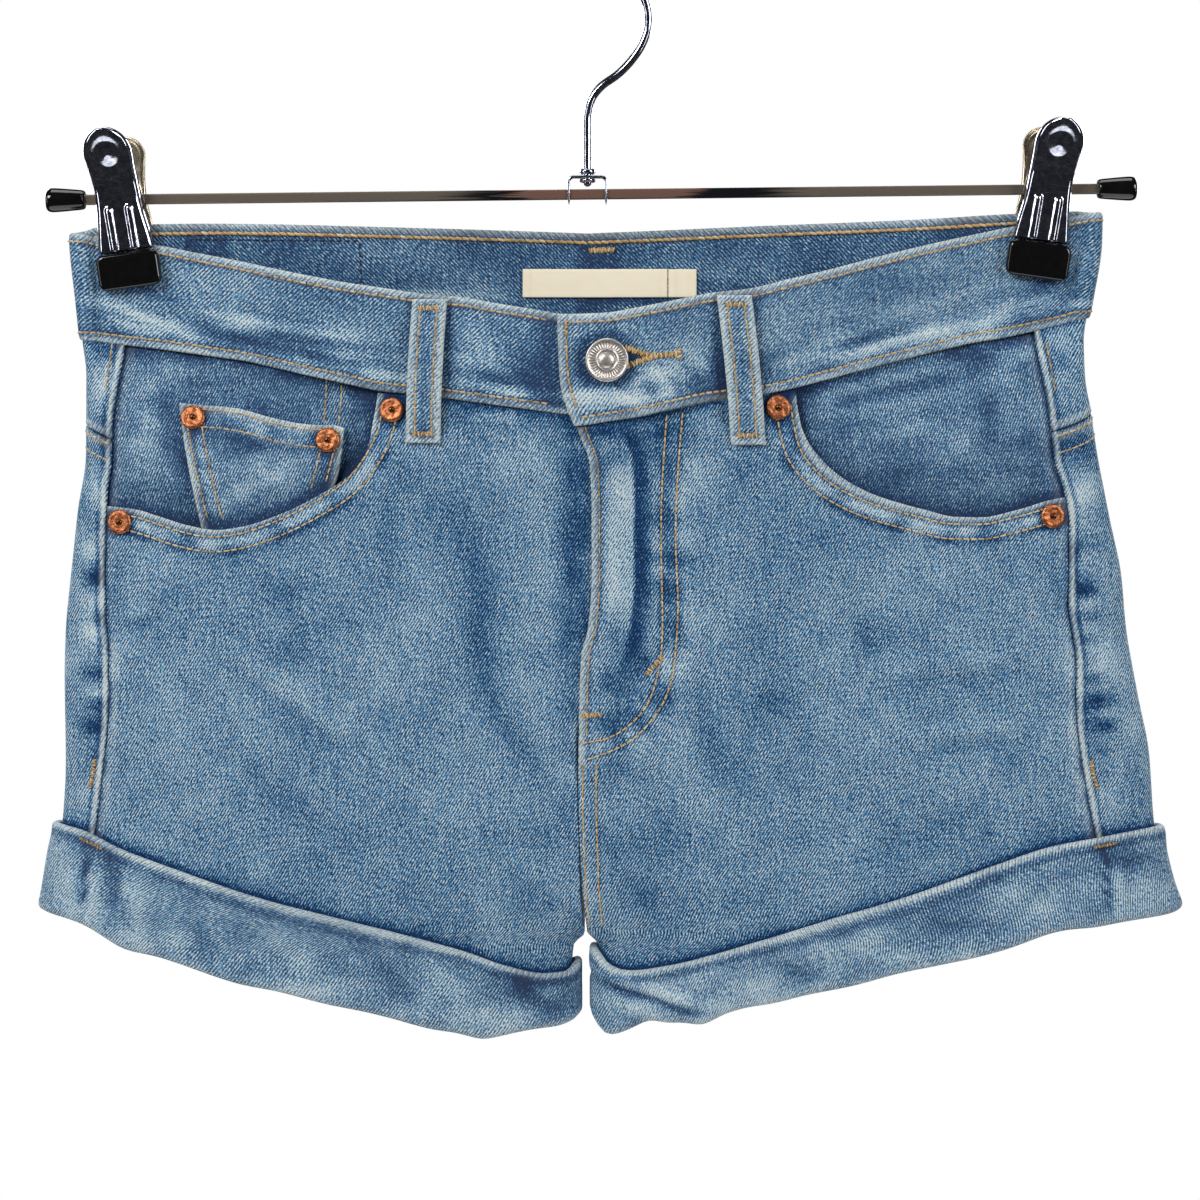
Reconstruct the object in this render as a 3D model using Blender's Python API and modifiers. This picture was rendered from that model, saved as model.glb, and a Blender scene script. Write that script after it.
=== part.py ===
"""Denim shorts with rolled cuffs, hanging flat from a clip hanger.

Sizes are in millimetres and are turned into metres where a mesh is made.
The origin is the inner top of the hook's crown, where it rests on a rail.
+X runs to the viewer's right, +Y to the back of the garment, +Z up.
"Drop" is the distance below the origin, so a point's height is minus its drop.
"Left" and "right" are as seen from the front.
"""

import math

import bmesh
import bpy
import numpy as np
from mathutils import Matrix, Vector

MM = 0.001
COLLECTION = "denim_shorts_on_clip_hanger"

LEFT, RIGHT = -1, 1
SIDES = {"left": LEFT, "right": RIGHT}

# Cloth
GAP = 0.3                 # between pieces that meet
CLOTH = 1.2               # one denim panel
BAND = 2.4                # the folded waistband
CUFF = 3.2                # the rolled layers of a cuff
CUFF_FLOOR = 1.4          # the roll's turn under the leg's edge
LOOP = 1.6
LOOP_WIDTH = 12.6
LABEL = 1.0
PATCH = 1.0
HALF_WAIST = 190.0        # the band's half width where its tables are read
LENS_POWER = 0.62         # how blunt the side folds are
LAYER = CLOTH + GAP       # step from one layer of cloth to the next
LINING = LAYER + 0.2      # depth of what hangs inside a panel
RIDGE = LAYER + 0.25      # how far the fly's placket stands over the front under it
FOLD_GAP = 0.031          # half a gap at a sharp fold, in degrees
BAND_LEVEL = (BAND - CLOTH) / 2
BAND_FACE = BAND_LEVEL + BAND / 2
OVERLAP_LIFT = BAND + GAP

# Fly
FLY_LAP = 8.0             # the left front runs this far under the right one
FLY_RIDGE = (17.5, 26.0)  # the raised placket ends between these distances
FLY_END = (262.0, 280.0)  # the lap runs out between these drops
RIDGE_END = (286.0, 302.0)
UNDERLAP = 24.0           # the band's left end reaches this far past the centre
OVERLAP_FLAT = (26.0, 45.0)

# How the columns of a panel are spread: distances from the centre on the front, then
# equal shares; on the back, shares to the side fold, degrees past it, then shares.
FRONT_STEPS = (0.0, 1.0, 3.5, 8.5, 17.5, 26.0)
FRONT_SPREAD = 14
TO_FOLD = (1, 0.62, 0.3, 0.1, 0)
PAST_FOLD = (2, 6, 12)
ACROSS_BACK = (0.09, 0.2, 0.32, 0.45, 0.59, 0.73, 0.86, 0.95, 0.985, 1)
SEAM_TURN = 0.3           # half a side seam's gap, in degrees

# Metal trims
RIVET_RADIUS = 4.5
BUTTON_RADIUS = 7.8

# Hanger
WIRE_RADIUS = 1.5
CROWN_RADIUS = 22.4       # to the wire's centre
HOOK_END_ANGLE = 150.0
COLLAR_DROP = 75.2
BRACKET_DROP = 77.6
BRACKET_WIDTH = 14.6
BRACKET_DEPTH = 5.4
BRACKET_HEIGHT = 10.8
BRACKET_WALL = 0.9
BAR_DROP = 84.5
BAR_SIZE = 3.7
BAR_TILT = math.radians(0.62)
CAP_LENGTH = 14.0
CAP_ENDS = {LEFT: 198.9, RIGHT: 201.7}
CAP_HOLD = 10.0
CLIP_PLACE = {LEFT: 171.4, RIGHT: 168.6}
CLIP_LEAN = 8.0
JAW_WALL = 1.0
PAD_SIZE = (23.0, 4.6, 13.3)
PAD_TOP = 19.7            # below the bar
PAD_CLOSED = 2.9          # the pad's gripping face, from the hanger's plane


def table(columns, *rows):
    """Rows of numbers under named columns; the first column is the one looked up."""
    return dict(zip(columns.split(), np.array(rows, float).T))


# The side folds' distance from the centre, at the cloth's middle.
OUTLINE = table(
    "drop   left   right",
    (90, 189.2, 187.7),
    (102, 188.9, 187.5),
    (124, 186.8, 184.3),
    (138, 185.4, 182.0),
    (150, 183.9, 182.4),
    (163, 184.0, 184.4),
    (180, 184.2, 187.2),
    (202, 187.4, 191.6),
    (224, 189.8, 196.1),
    (246, 192.0, 198.4),
    (269, 192.4, 202.7),
    (291, 192.4, 207.2),
    (313, 193.6, 208.9),
    (330, 196.0, 210.9),
    (352, 199.2, 216.8),
)

# Where the tube's inner fold would lie, as a share of the outline: -1 is a whole
# torso, 0 the centre, and below the crotch it is the inner edge of each leg.
REACH = table(
    "drop    left    right",
    (240, -1.0, -1.0),
    (300, -0.78, -0.76),
    (330, -0.42, -0.40),
    (345, -0.17, -0.16),
    (351, -0.07, -0.065),
    (356, -0.005, -0.004),
    (362, 0.028, 0.022),
    (385, 0.036, 0.028),
)

# Depth of the front and the back from the side folds, by distance below the waist.
DEPTH = table(
    "below  front  back",
    (0, 25, 19),
    (26, 25, 19),
    (80, 20, 21),
    (170, 18, 23),
    (230, 17, 23),
    (300, 16, 19),
)

# The waist's opening, by the angle round from a side fold: the clips hold the two
# sides together between 15 and 39 degrees, and a small loop is left outside them.
OPENING = table(
    "angle  front  back",
    (0, 0, 0),
    (5, 2.3, 2.3),
    (9.5, 3.2, 3.2),
    (12.5, 2.6, 2.6),
    (15.5, 0.8, 0.8),
    (38.5, 0.8, 0.8),
    (46, 3.5, 3.0),
    (60, 13, 10),
    (75, 20.5, 16),
    (90, 25, 19),
)
PINCH_FADE = (26.0, 80.0)

# The front of the waistband, by distance from the centre. Minus is past the centre.
FRONT_BAND = table(
    "x     left_top  left_low  right_top  right_low",
    (-26, 127.5, 164.0, 129.0, 169.5),
    (-10, 129.0, 165.2, 128.9, 169.2),
    (-4, 129.2, 165.3, 128.9, 168.9),
    (8, 129.0, 164.8, 128.3, 167.2),
    (18, 127.4, 163.6, 126.6, 165.8),
    (32, 125.2, 161.8, 123.9, 162.8),
    (46, 122.8, 160.0, 121.2, 160.1),
    (60, 121.5, 158.2, 119.6, 158.7),
    (75, 119.3, 157.0, 116.0, 156.2),
    (90, 117.0, 154.1, 112.4, 152.6),
    (108, 113.5, 150.5, 107.6, 148.2),
    (128, 109.2, 146.2, 102.7, 143.6),
    (146, 105.7, 143.7, 98.8, 139.6),
    (160, 103.0, 141.8, 96.0, 137.3),
    (178, 100.8, 139.6, 93.0, 133.2),
    (190, 98.6, 138.0, 91.0, 130.0),
)

BACK_BAND = table(
    "x     left_top  left_low  right_top  right_low",
    (0, 97.7, 134.7, 97.7, 134.7),
    (22, 97.0, 134.0, 96.9, 133.8),
    (60, 96.0, 133.0, 95.4, 132.4),
    (127, 95.0, 133.4, 93.2, 131.0),
    (165, 95.4, 135.6, 91.2, 130.2),
    (182, 96.6, 137.2, 90.6, 129.8),
    (190, 98.6, 138.0, 91.0, 130.0),
)

# The band's lapped end at the fly, by the share of its height.
BAND_END = table("down x", (0, -10.4), (0.3, -10.1), (0.6, -9.4), (0.85, -6.8), (1, -4.2))

# Seams.
CENTRE_SEAM = table(
    "drop  front  back",
    (160, -3.9, 0),
    (168, -3.7, 0),
    (182, 0.6, 0),
    (200, 1.4, 0),
    (224, 1.4, 0),
    (242, 0.1, 0),
    (252, -2.3, 0),
    (268, -3.0, 0),
    (300, -3.4, 0),
    (335, -2.5, -0.2),
    (358, -0.5, -0.5),
)
SIDE_SEAM = table(
    "drop  left  right",
    (130, 169.0, 163.0),
    (142, 170.0, 164.6),
    (155, 171.8, 166.8),
    (168, 173.2, 168.5),
    (182, 173.5, 170.2),
    (193, 175.0, 173.7),
    (204, 175.6, 175.6),
    (234, 176.0, 175.6),
    (256, 174.9, 178.6),
    (276, 175.2, 178.7),
    (294, 177.3, 181.0),
    (321, 180.8, 186.2),
    (350, 185.0, 190.5),
    (390, 187.0, 193.0),
)
YOKE_SEAM = table(
    "angle  left  right",
    (60, 178.0, 173.2),
    (67, 175.8, 171.0),
    (78, 171.5, 167.4),
    (90, 169.0, 164.5),
    (105, 169.5, 166.0),
    (120, 173.0, 171.0),
    (140, 182.0, 181.0),
    (160, 191.0, 191.0),
    (180, 200.0, 200.0),
)

# The pocket mouths' scooped edge, from the waistband to the side seam.
POCKET_MOUTH = {
    LEFT: table(
        "x  drop",
        (75.5, 158.4), (78.2, 171), (82, 178.5), (89, 187.2), (99.5, 194.1), (113, 201),
        (127, 205.8), (136, 207), (146, 205.4), (156, 202.3), (165, 199.7), (178, 198.4)),
    RIGHT: table(
        "x  drop",
        (75.3, 158.6), (78.6, 175.5), (84, 183.2), (92.4, 189.7), (103, 194.6), (121, 199.7),
        (132, 202.2), (143, 202.4), (152, 200.7), (160, 198.7), (168, 196.4), (178, 194.8)),
}

# The cuffs' upper and lower edges, by distance from the centre.
CUFF_EDGES = table(
    "x    left_top  left_low  right_top  right_low",
    (5, 366.0, 384.6, 362.4, 385.0),
    (9, 370.2, 389.8, 367.6, 391.4),
    (15, 370.3, 391.0, 369.2, 390.2),
    (30, 366.8, 391.8, 366.7, 387.6),
    (45, 361.0, 390.2, 362.6, 385.2),
    (60, 356.4, 387.4, 357.8, 381.3),
    (90, 348.8, 380.6, 349.0, 374.2),
    (120, 341.2, 373.0, 340.0, 367.6),
    (150, 331.2, 364.0, 329.0, 360.0),
    (170, 324.2, 357.6, 322.8, 353.6),
    (186, 317.4, 351.2, 320.2, 351.2),
    (204, 315.2, 348.4, 317.6, 350.0),
    (220, 315.0, 348.0, 316.4, 349.0),
)
CUFF_BACK_DROP = 4.0      # the cuffs sit this much lower at the back

# Small patch pockets.
COIN_TOP = table("x drop", (88, 169.8), (92, 168.7), (100, 168.5), (113, 166.4), (128, 162.5), (149, 160.4))
COIN_SIDES = table("down inner outer", (0, 88.2, 149.2), (0.3, 89.0, 146.6), (1, 93.5, 139.5))
BACK_POCKET_TOP = (212.0, 200.0)
BACK_POCKET_SIDES = table("down inner outer", (0, 32, 153), (1, 39, 146))
BACK_POCKET_LOW = table("across drop", (0, 316), (0.5, 333), (1, 307))

# The hook's swan neck, from the straight stem out to the crown.
NECK = table(
    "rise  x",
    (-56.0, 0.0), (-50.0, 1.3), (-45.0, 5.0), (-40.6, 11.1),
    (-35.5, 16.1), (-29.6, 20.0), (-23.6, 22.1), (-20.9, 22.4))

# A clip jaw, by height above the bar: width, distance from the hanger's plane,
# and how far its side flanges turn in.
JAW = table(
    "rise   width  depth  flange",
    (-19.4, 20.0, 5.6, 1.6),
    (-13.0, 18.4, 6.3, 2.3),
    (-8.0, 17.0, 7.0, 3.3),
    (-4.0, 16.0, 7.6, 5.0),
    (0.0, 15.5, 8.0, 5.6),
    (4.0, 15.4, 8.8, 5.0),
    (11.0, 15.8, 12.0, 3.4),
    (16.8, 16.6, 15.2, 2.4),
    (21.5, 13.8, 17.8, 2.0),
    (24.0, 9.6, 19.2, 1.8),
)


def smooth(rows, column, at):
    """Monotone cubic through a table's column, level past its ends."""
    key = next(iter(rows))
    x, y = rows[key], rows[column]
    step = np.diff(x)
    slope = np.diff(y) / step
    before, after = slope[:-1], slope[1:]
    left, right = 2 * step[1:] + step[:-1], step[1:] + 2 * step[:-1]
    bends = before * after > 0
    safe_before = np.where(bends, before, 1.0)
    safe_after = np.where(bends, after, 1.0)
    inner = np.where(bends, (left + right) / (left / safe_before + right / safe_after), 0.0)
    tangent = np.concatenate(([slope[0]], inner, [slope[-1]]))
    at = np.clip(at, x[0], x[-1])
    i = np.clip(np.searchsorted(x, at) - 1, 0, len(step) - 1)
    t = (at - x[i]) / step[i]
    curve = (1 + 2 * t) * (1 - t) ** 2 * y[i] + t * t * (3 - 2 * t) * y[i + 1]
    return curve + step[i] * t * (1 - t) * ((1 - t) * tangent[i] - t * tangent[i + 1])


def fade(at, ends):
    """0 before the first end, 1 past the second, and smooth between."""
    t = np.clip((at - ends[0]) / (ends[1] - ends[0]), 0.0, 1.0)
    return t * t * (3 - 2 * t)


def side_name(side):
    return "left" if side == LEFT else "right"


# ---------------------------------------------------------------- the garment's form
# Each half is a tube. Its angle is 0 at the front, 90 at the side fold, 180 at the
# back, and -90 or 270 at the inner fold of the leg.

def tube(side, drop):
    """Middle and half width of one half's tube, measured outwards from the centre."""
    outer = smooth(OUTLINE, side_name(side), drop)
    inner = outer * smooth(REACH, side_name(side), drop)
    return (outer + inner) / 2, (outer - inner) / 2


def band_edge(side, angle, edge):
    """Drop of the waistband's top or low edge at an angle round the waist."""
    x = HALF_WAIST * np.sin(np.radians(angle))
    column = f"{side_name(side)}_{edge}"
    front = np.cos(np.radians(angle)) >= 0
    return np.where(front, smooth(FRONT_BAND, column, x), smooth(BACK_BAND, column, np.abs(x)))


def skin(side, angle, drop):
    """Point on the cloth's middle surface."""
    angle, drop = np.broadcast_arrays(np.asarray(angle, float), np.asarray(drop, float))
    middle, half = tube(side, drop)
    radians = np.radians(angle)
    front = np.cos(radians) >= 0
    below = drop - band_edge(side, angle, "top")
    depth = np.where(front, smooth(DEPTH, "front", below), smooth(DEPTH, "back", below))
    from_fold = np.abs(90 - np.abs(angle))
    held = np.where(front, smooth(OPENING, "front", from_fold), smooth(OPENING, "back", from_fold))
    loose = depth * np.abs(np.cos(radians)) ** LENS_POWER
    grip = 1 - fade(below, PINCH_FADE)
    out = grip * held + (1 - grip) * loose
    x = side * (middle + half * np.sin(radians))
    return np.stack([x, np.where(front, -out, out), -drop], axis=-1)


def surface(side, angle, drop, level=0.0):
    """Point at a level above (or, below zero, inside) the cloth's middle surface."""
    turn, slide = 0.4, 0.5
    around = skin(side, angle + turn, drop) - skin(side, angle - turn, drop)
    down = skin(side, angle, drop + slide) - skin(side, angle, drop - slide)
    normal = side * np.cross(down, around)
    normal /= np.linalg.norm(normal, axis=-1, keepdims=True)
    return skin(side, angle, drop) + normal * np.asarray(level, float)[..., None]


def angle_at(side, x, drop, back=False):
    """Tube angle of a distance from the centre, on the front or on the back."""
    middle, half = tube(side, drop)
    angle = np.degrees(np.arcsin(np.clip((x - middle) / half, -1.0, 1.0)))
    return 180 - angle if back else angle


def spot(x, drop, level=0.0, back=False):
    """Point over a place given by its signed distance from the centre."""
    x, drop, level = np.broadcast_arrays(np.asarray(x, float), np.asarray(drop, float),
                                         np.asarray(level, float))
    halves = [surface(side, angle_at(side, side * x, drop, back), drop, level) for side in (LEFT, RIGHT)]
    return np.where((x < 0)[..., None], halves[0], halves[1])


def seam_inset(drop):
    """Half the seam's gap at the centre, wider where the crotch curls under."""
    return GAP / 2 + 0.75 * fade(drop, (318.0, 350.0))


def fly_lap(drop):
    """How far the left front reaches past the centre seam, under the right one."""
    return FLY_LAP * (1 - fade(drop, FLY_END))


def fly_ridge(x, drop):
    """Level of the right front above the plain cloth, beside the fly's folded edge."""
    past_edge = x - smooth(CENTRE_SEAM, "front", drop)
    return RIDGE * (1 - fade(past_edge, FLY_RIDGE)) * (1 - fade(drop, RIDGE_END))


def cuff_edge(side, angle, edge):
    """Drop of the cuff's top or low edge at a tube angle."""
    drop = np.full(np.shape(angle), 360.0)
    for _ in range(5):
        middle, half = tube(side, drop)
        x = middle + half * np.sin(np.radians(angle))
        drop = smooth(CUFF_EDGES, f"{side_name(side)}_{edge}", x)
        drop = drop + CUFF_BACK_DROP * fade(angle, (80, 115)) * (1 - fade(angle, (235, 265)))
    return drop


def leg_end(side, angle):
    """Drop of the leg's edge, just above the cuff's turned-in foot."""
    return cuff_edge(side, angle, "low") - CUFF_FLOOR - GAP


def seam_angle(side, drop):
    """Tube angle of the side seam."""
    return angle_at(side, smooth(SIDE_SEAM, side_name(side), drop), drop)


def front_angles(side, drop, share):
    """Angle of each column across the front, given each column's drop.

    The first columns lie a set way from the centre seam, the rest by their share
    of what is left up to the side seam."""
    steps = np.array(FRONT_STEPS)
    near, rest = drop[..., :len(steps)], drop[..., len(steps):]
    middle, half = tube(side, near)
    start = np.maximum(side * smooth(CENTRE_SEAM, "front", near) + seam_inset(near), middle - half)
    lap = fly_lap(near) * (steps == 0) if side == LEFT else 0.0
    first = np.maximum(angle_at(side, start + steps - lap, near), FOLD_GAP - 90)
    last = angle_at(side, side * smooth(CENTRE_SEAM, "front", rest) + steps[-1], rest)
    far = seam_angle(side, rest) - SEAM_TURN
    return np.concatenate([first, last + share * (far - last)], axis=-1)


def back_angles(side, drop):
    """Angle of each column from the side seam, round the fold, to the inner seam."""
    count = len(TO_FOLD)
    start = seam_angle(side, drop[..., :count]) + SEAM_TURN
    to_fold = 90 - (90 - start) * np.array(TO_FOLD)
    past_fold = 90 + np.array(PAST_FOLD) + 0 * drop[..., count:count + len(PAST_FOLD)]
    rest = drop[..., count + len(PAST_FOLD):]
    seam = side * smooth(CENTRE_SEAM, "back", rest) + seam_inset(rest)
    end = np.minimum(angle_at(side, seam, rest, back=True), 270 - FOLD_GAP)
    across = past_fold[..., -1:] + (end - past_fold[..., -1:]) * np.array(ACROSS_BACK)
    return np.concatenate([to_fold, past_fold, across], axis=-1)


def leg_columns(side):
    """Angles of the front's and the back's columns where they enter the cuff."""
    front = np.linspace(-90, 70, len(FRONT_STEPS) + FRONT_SPREAD)
    back = np.linspace(70, 270, len(TO_FOLD) + len(PAST_FOLD) + len(ACROSS_BACK))
    share = np.linspace(0, 1, FRONT_SPREAD + 1)[1:]
    for _ in range(20):
        front = (front + front_angles(side, cuff_edge(side, front, "top"), share)) / 2
        back = (back + back_angles(side, cuff_edge(side, back, "top"))) / 2
    return front, back


# ---------------------------------------------------------------- making objects

def clear_scene():
    for item in list(bpy.data.objects):
        bpy.data.objects.remove(item, do_unlink=True)


def make_material(name, colour, roughness, metallic=0.0):
    material = bpy.data.materials.new(name)
    material.use_nodes = True
    shader = material.node_tree.nodes["Principled BSDF"]
    shader.inputs["Base Color"].default_value = (*colour, 1.0)
    shader.inputs["Roughness"].default_value = roughness
    shader.inputs["Metallic"].default_value = metallic
    return material


def make_materials():
    return {
        "denim": make_material("denim", (0.16, 0.27, 0.42), 0.9),
        "denim_dark": make_material("denim_dark", (0.09, 0.17, 0.31), 0.9),
        "leather": make_material("leather", (0.42, 0.25, 0.13), 0.6),
        "label": make_material("label", (0.86, 0.79, 0.66), 0.8),
        "copper": make_material("copper", (0.72, 0.32, 0.17), 0.35, 1.0),
        "steel": make_material("steel", (0.62, 0.60, 0.58), 0.3, 1.0),
        "chrome": make_material("chrome", (0.80, 0.80, 0.82), 0.1, 1.0),
        "rubber": make_material("rubber", (0.012, 0.012, 0.013), 0.35),
    }


def add_object(name, data, material, parts):
    item = bpy.data.objects.new(name, data)
    data.materials.clear()
    data.materials.append(material)
    parts.objects.link(item)
    return item


def panel(name, points, thickness, material, parts):
    """A cloth piece: a grid bent to its points, thickened evenly to both sides."""
    rows, columns = points.shape[:2]
    shape = bmesh.new()
    bmesh.ops.create_grid(shape, x_segments=columns - 1, y_segments=rows - 1, size=1.0)
    shape.verts.ensure_lookup_table()
    for vertex, place in zip(shape.verts, points.reshape(-1, 3)):
        vertex.co = Vector(place) * MM
    mesh = bpy.data.meshes.new(name)
    shape.to_mesh(mesh)
    shape.free()
    mesh.shade_smooth()
    item = add_object(name, mesh, material, parts)
    wall = item.modifiers.new("wall", "SOLIDIFY")
    wall.thickness = thickness * MM
    wall.offset = 0.0
    return item


def ring_of_sections(name, sections, material, parts):
    """A closed ring: one closed outline after another, joined all the way round."""
    count, size = sections.shape[:2]
    shape = bmesh.new()
    grid = [[shape.verts.new(Vector(place) * MM) for place in outline] for outline in sections]
    for i in range(count):
        for j in range(size):
            corners = (grid[i][j], grid[(i + 1) % count][j],
                       grid[(i + 1) % count][(j + 1) % size], grid[i][(j + 1) % size])
            shape.faces.new(corners)
    bmesh.ops.recalc_face_normals(shape, faces=shape.faces)
    mesh = bpy.data.meshes.new(name)
    shape.to_mesh(mesh)
    shape.free()
    return add_object(name, mesh, material, parts)


def turned(name, profile, material, parts, steps=14):
    """A turned piece about its own Z axis, from (radius, height) points, top first."""
    mesh = bpy.data.meshes.new(name)
    places = [(radius * MM, 0.0, height * MM) for radius, height in profile]
    edges = [(i, i + 1) for i in range(len(places) - 1)]
    if profile[0][0] > 0:
        edges.append((len(places) - 1, 0))
    mesh.from_pydata(places, edges, [])
    item = add_object(name, mesh, material, parts)
    screw = item.modifiers.new("turn", "SCREW")
    screw.steps = steps
    screw.render_steps = steps
    screw.use_merge_vertices = True
    screw.merge_threshold = 1e-6
    return item


def seat(item, x, drop, level, back=False):
    """Stand a turned piece on the cloth, its axis along the cloth's normal."""
    low = Vector(spot(x, drop, level, back).tolist())
    high = Vector(spot(x, drop, level + 1.0, back).tolist())
    turn = (high - low).normalized().to_track_quat("Z", "Y").to_matrix().to_4x4()
    item.matrix_world = Matrix.Translation(low * MM) @ turn


def box_object(name, size, centre, bevel, material, parts):
    shape = bmesh.new()
    bmesh.ops.create_cube(shape, size=1.0)
    bmesh.ops.scale(shape, vec=Vector(size) * MM, verts=shape.verts)
    bmesh.ops.translate(shape, vec=Vector(centre) * MM, verts=shape.verts)
    mesh = bpy.data.meshes.new(name)
    shape.to_mesh(mesh)
    shape.free()
    item = add_object(name, mesh, material, parts)
    if bevel:
        edge = item.modifiers.new("edge", "BEVEL")
        edge.width = bevel * MM
        edge.segments = 2
    return item


# ---------------------------------------------------------------- the shorts

def leg_rows(side, top, angle, down):
    """Drops of a leg panel's rows: down to the cuff's top edge, then its end inside the cuff."""
    edge = cuff_edge(side, angle, "top")
    low = leg_end(side, angle)
    return np.concatenate([top + (edge - top) * down, [low]]), edge


def front_panels(materials, parts):
    down = np.array([0, 0.05, 0.13, 0.23, 0.35, 0.47, 0.56, 0.67, 0.78, 0.88, 0.95, 1.0])[:, None]
    steps = np.array(FRONT_STEPS)
    even = np.linspace(0, 1, FRONT_SPREAD + 1)[1:]
    for name, side in SIDES.items():
        mouth = POCKET_MOUTH[side]
        by_band = np.concatenate([side * smooth(CENTRE_SEAM, "front", 168.0) + steps, (37, 49, 62, mouth["x"][0])])
        by_band[0] -= FLY_LAP if side == LEFT else 0.0
        by_mouth = mouth["x"][1:FRONT_SPREAD - 4]
        x = np.concatenate([by_band, by_mouth, [smooth(SIDE_SEAM, name, 198.0)]])
        top = smooth(mouth, "drop", x)
        top[:len(by_band)] = smooth(FRONT_BAND, f"{name}_low", by_band) + GAP
        rest = angle_at(side, x, top)[len(steps):]
        first = angle_at(side, side * smooth(CENTRE_SEAM, "front", top) + steps[-1], top)[len(steps):]
        share_top = (rest - first) / (rest[-1] - first)
        share_top[-1] = 1.0

        drop, edge = leg_rows(side, top, leg_columns(side)[0], down)
        share = share_top + (even - share_top) * fade(np.append(down, [[1]], axis=0), (0.05, 0.6))
        angle = front_angles(side, np.minimum(drop, edge), share)
        middle, half = tube(side, drop)
        across = middle + half * np.sin(np.radians(angle))
        level = fly_ridge(across, drop) if side == RIGHT else 0.0 * across
        panel(f"front_{name}", surface(side, angle, drop, level), CLOTH, materials["denim"], parts)


def facing_level(side, x, drop):
    """One layer inside the front, and two where the coin pocket lies between."""
    under_coin = fade(x, (79, 86)) * (1 - fade(x, (151, 160))) * fade(drop, (148, 156))
    return -LINING * (1 + (under_coin if side == LEFT else 0 * under_coin))


def pocket_facings(materials, parts):
    down = np.linspace(0, 1, 8)[:, None]
    for name, side in SIDES.items():
        seam = smooth(SIDE_SEAM, name, 175.0)
        x = np.array([66, 72, 79, 86, 98, 112, 126, 140, 151, 160, seam + 1.5])
        top = smooth(FRONT_BAND, f"{name}_low", x) - 1.5
        mouth = smooth(POCKET_MOUTH[side], "drop", x)
        low = np.where(x < 80, 176.0 + 1.4 * (x - 66), mouth + 10)
        drop = top + (low - top) * down
        angle = angle_at(side, x, drop)
        level = facing_level(side, x, drop)
        panel(f"pocket_facing_{name}", surface(side, angle, drop, level), CLOTH, materials["denim"], parts)


def coin_pocket(materials, parts):
    down = np.linspace(0, 1, 7)[:, None]
    across = np.linspace(0, 1, 8)
    inner = smooth(COIN_SIDES, "inner", down)
    outer = smooth(COIN_SIDES, "outer", down)
    x = inner + (outer - inner) * across
    top = smooth(COIN_TOP, "drop", x[0])
    low = smooth(POCKET_MOUTH[LEFT], "drop", x[-1]) + 8
    drop = top + (low - top) * down
    points = surface(LEFT, angle_at(LEFT, x, drop), drop, -LINING + 0 * x)
    panel("coin_pocket", points, CLOTH, materials["denim"], parts)


def fly_pieces(materials, parts):
    """The shield behind the fly, and the closed zip's tape and coil as one strip."""
    for name, start, end, columns, top, low, level, thickness, colour in (
            ("fly_shield", -14.0, 30.0, 7, 166.6, 282.0, -LINING, CLOTH, "denim_dark"),
            ("zip", 9.5, 15.5, 3, 171.0, 256.0, 0.0, 1.0, "label")):
        across = np.linspace(start, end, columns)
        drop = np.linspace(top, low, 8)[:, None] + 0 * across
        x = smooth(CENTRE_SEAM, "front", drop) + across
        panel(name, spot(x, drop, level), thickness, materials[colour], parts)


def yoke_top(side):
    """Angles of the yoke's columns along the waistband's low edge."""
    angle = np.linspace(65, 180, len(TO_FOLD) + len(PAST_FOLD) + len(ACROSS_BACK))
    for _ in range(3):
        angle = back_angles(side, band_edge(side, angle, "low"))
    return angle


def yoke_low(side):
    """Angles of the yoke's columns along the seam with the back, and its drops."""
    angle = np.linspace(70, 180, len(TO_FOLD) + len(PAST_FOLD) + len(ACROSS_BACK))
    for _ in range(3):
        angle = back_angles(side, smooth(YOKE_SEAM, side_name(side), angle))
    return angle, smooth(YOKE_SEAM, side_name(side), angle)


def back_panels(materials, parts):
    down = np.array([0, 0.08, 0.2, 0.33, 0.46, 0.59, 0.72, 0.84, 0.94, 1.0])[:, None]
    for name, side in SIDES.items():
        top = yoke_low(side)[1] + GAP / 2
        drop, edge = leg_rows(side, top, leg_columns(side)[1], down)
        angle = back_angles(side, np.minimum(drop, edge))
        panel(f"back_{name}", surface(side, angle, drop), CLOTH, materials["denim"], parts)


def yokes(materials, parts):
    down = np.linspace(0, 1, 4)[:, None]
    for name, side in SIDES.items():
        top = band_edge(side, yoke_top(side), "low") + GAP
        low = yoke_low(side)[1] - GAP / 2
        drop = top + (low - top) * down
        panel(f"yoke_{name}", surface(side, back_angles(side, drop), drop), CLOTH, materials["denim"], parts)


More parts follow.
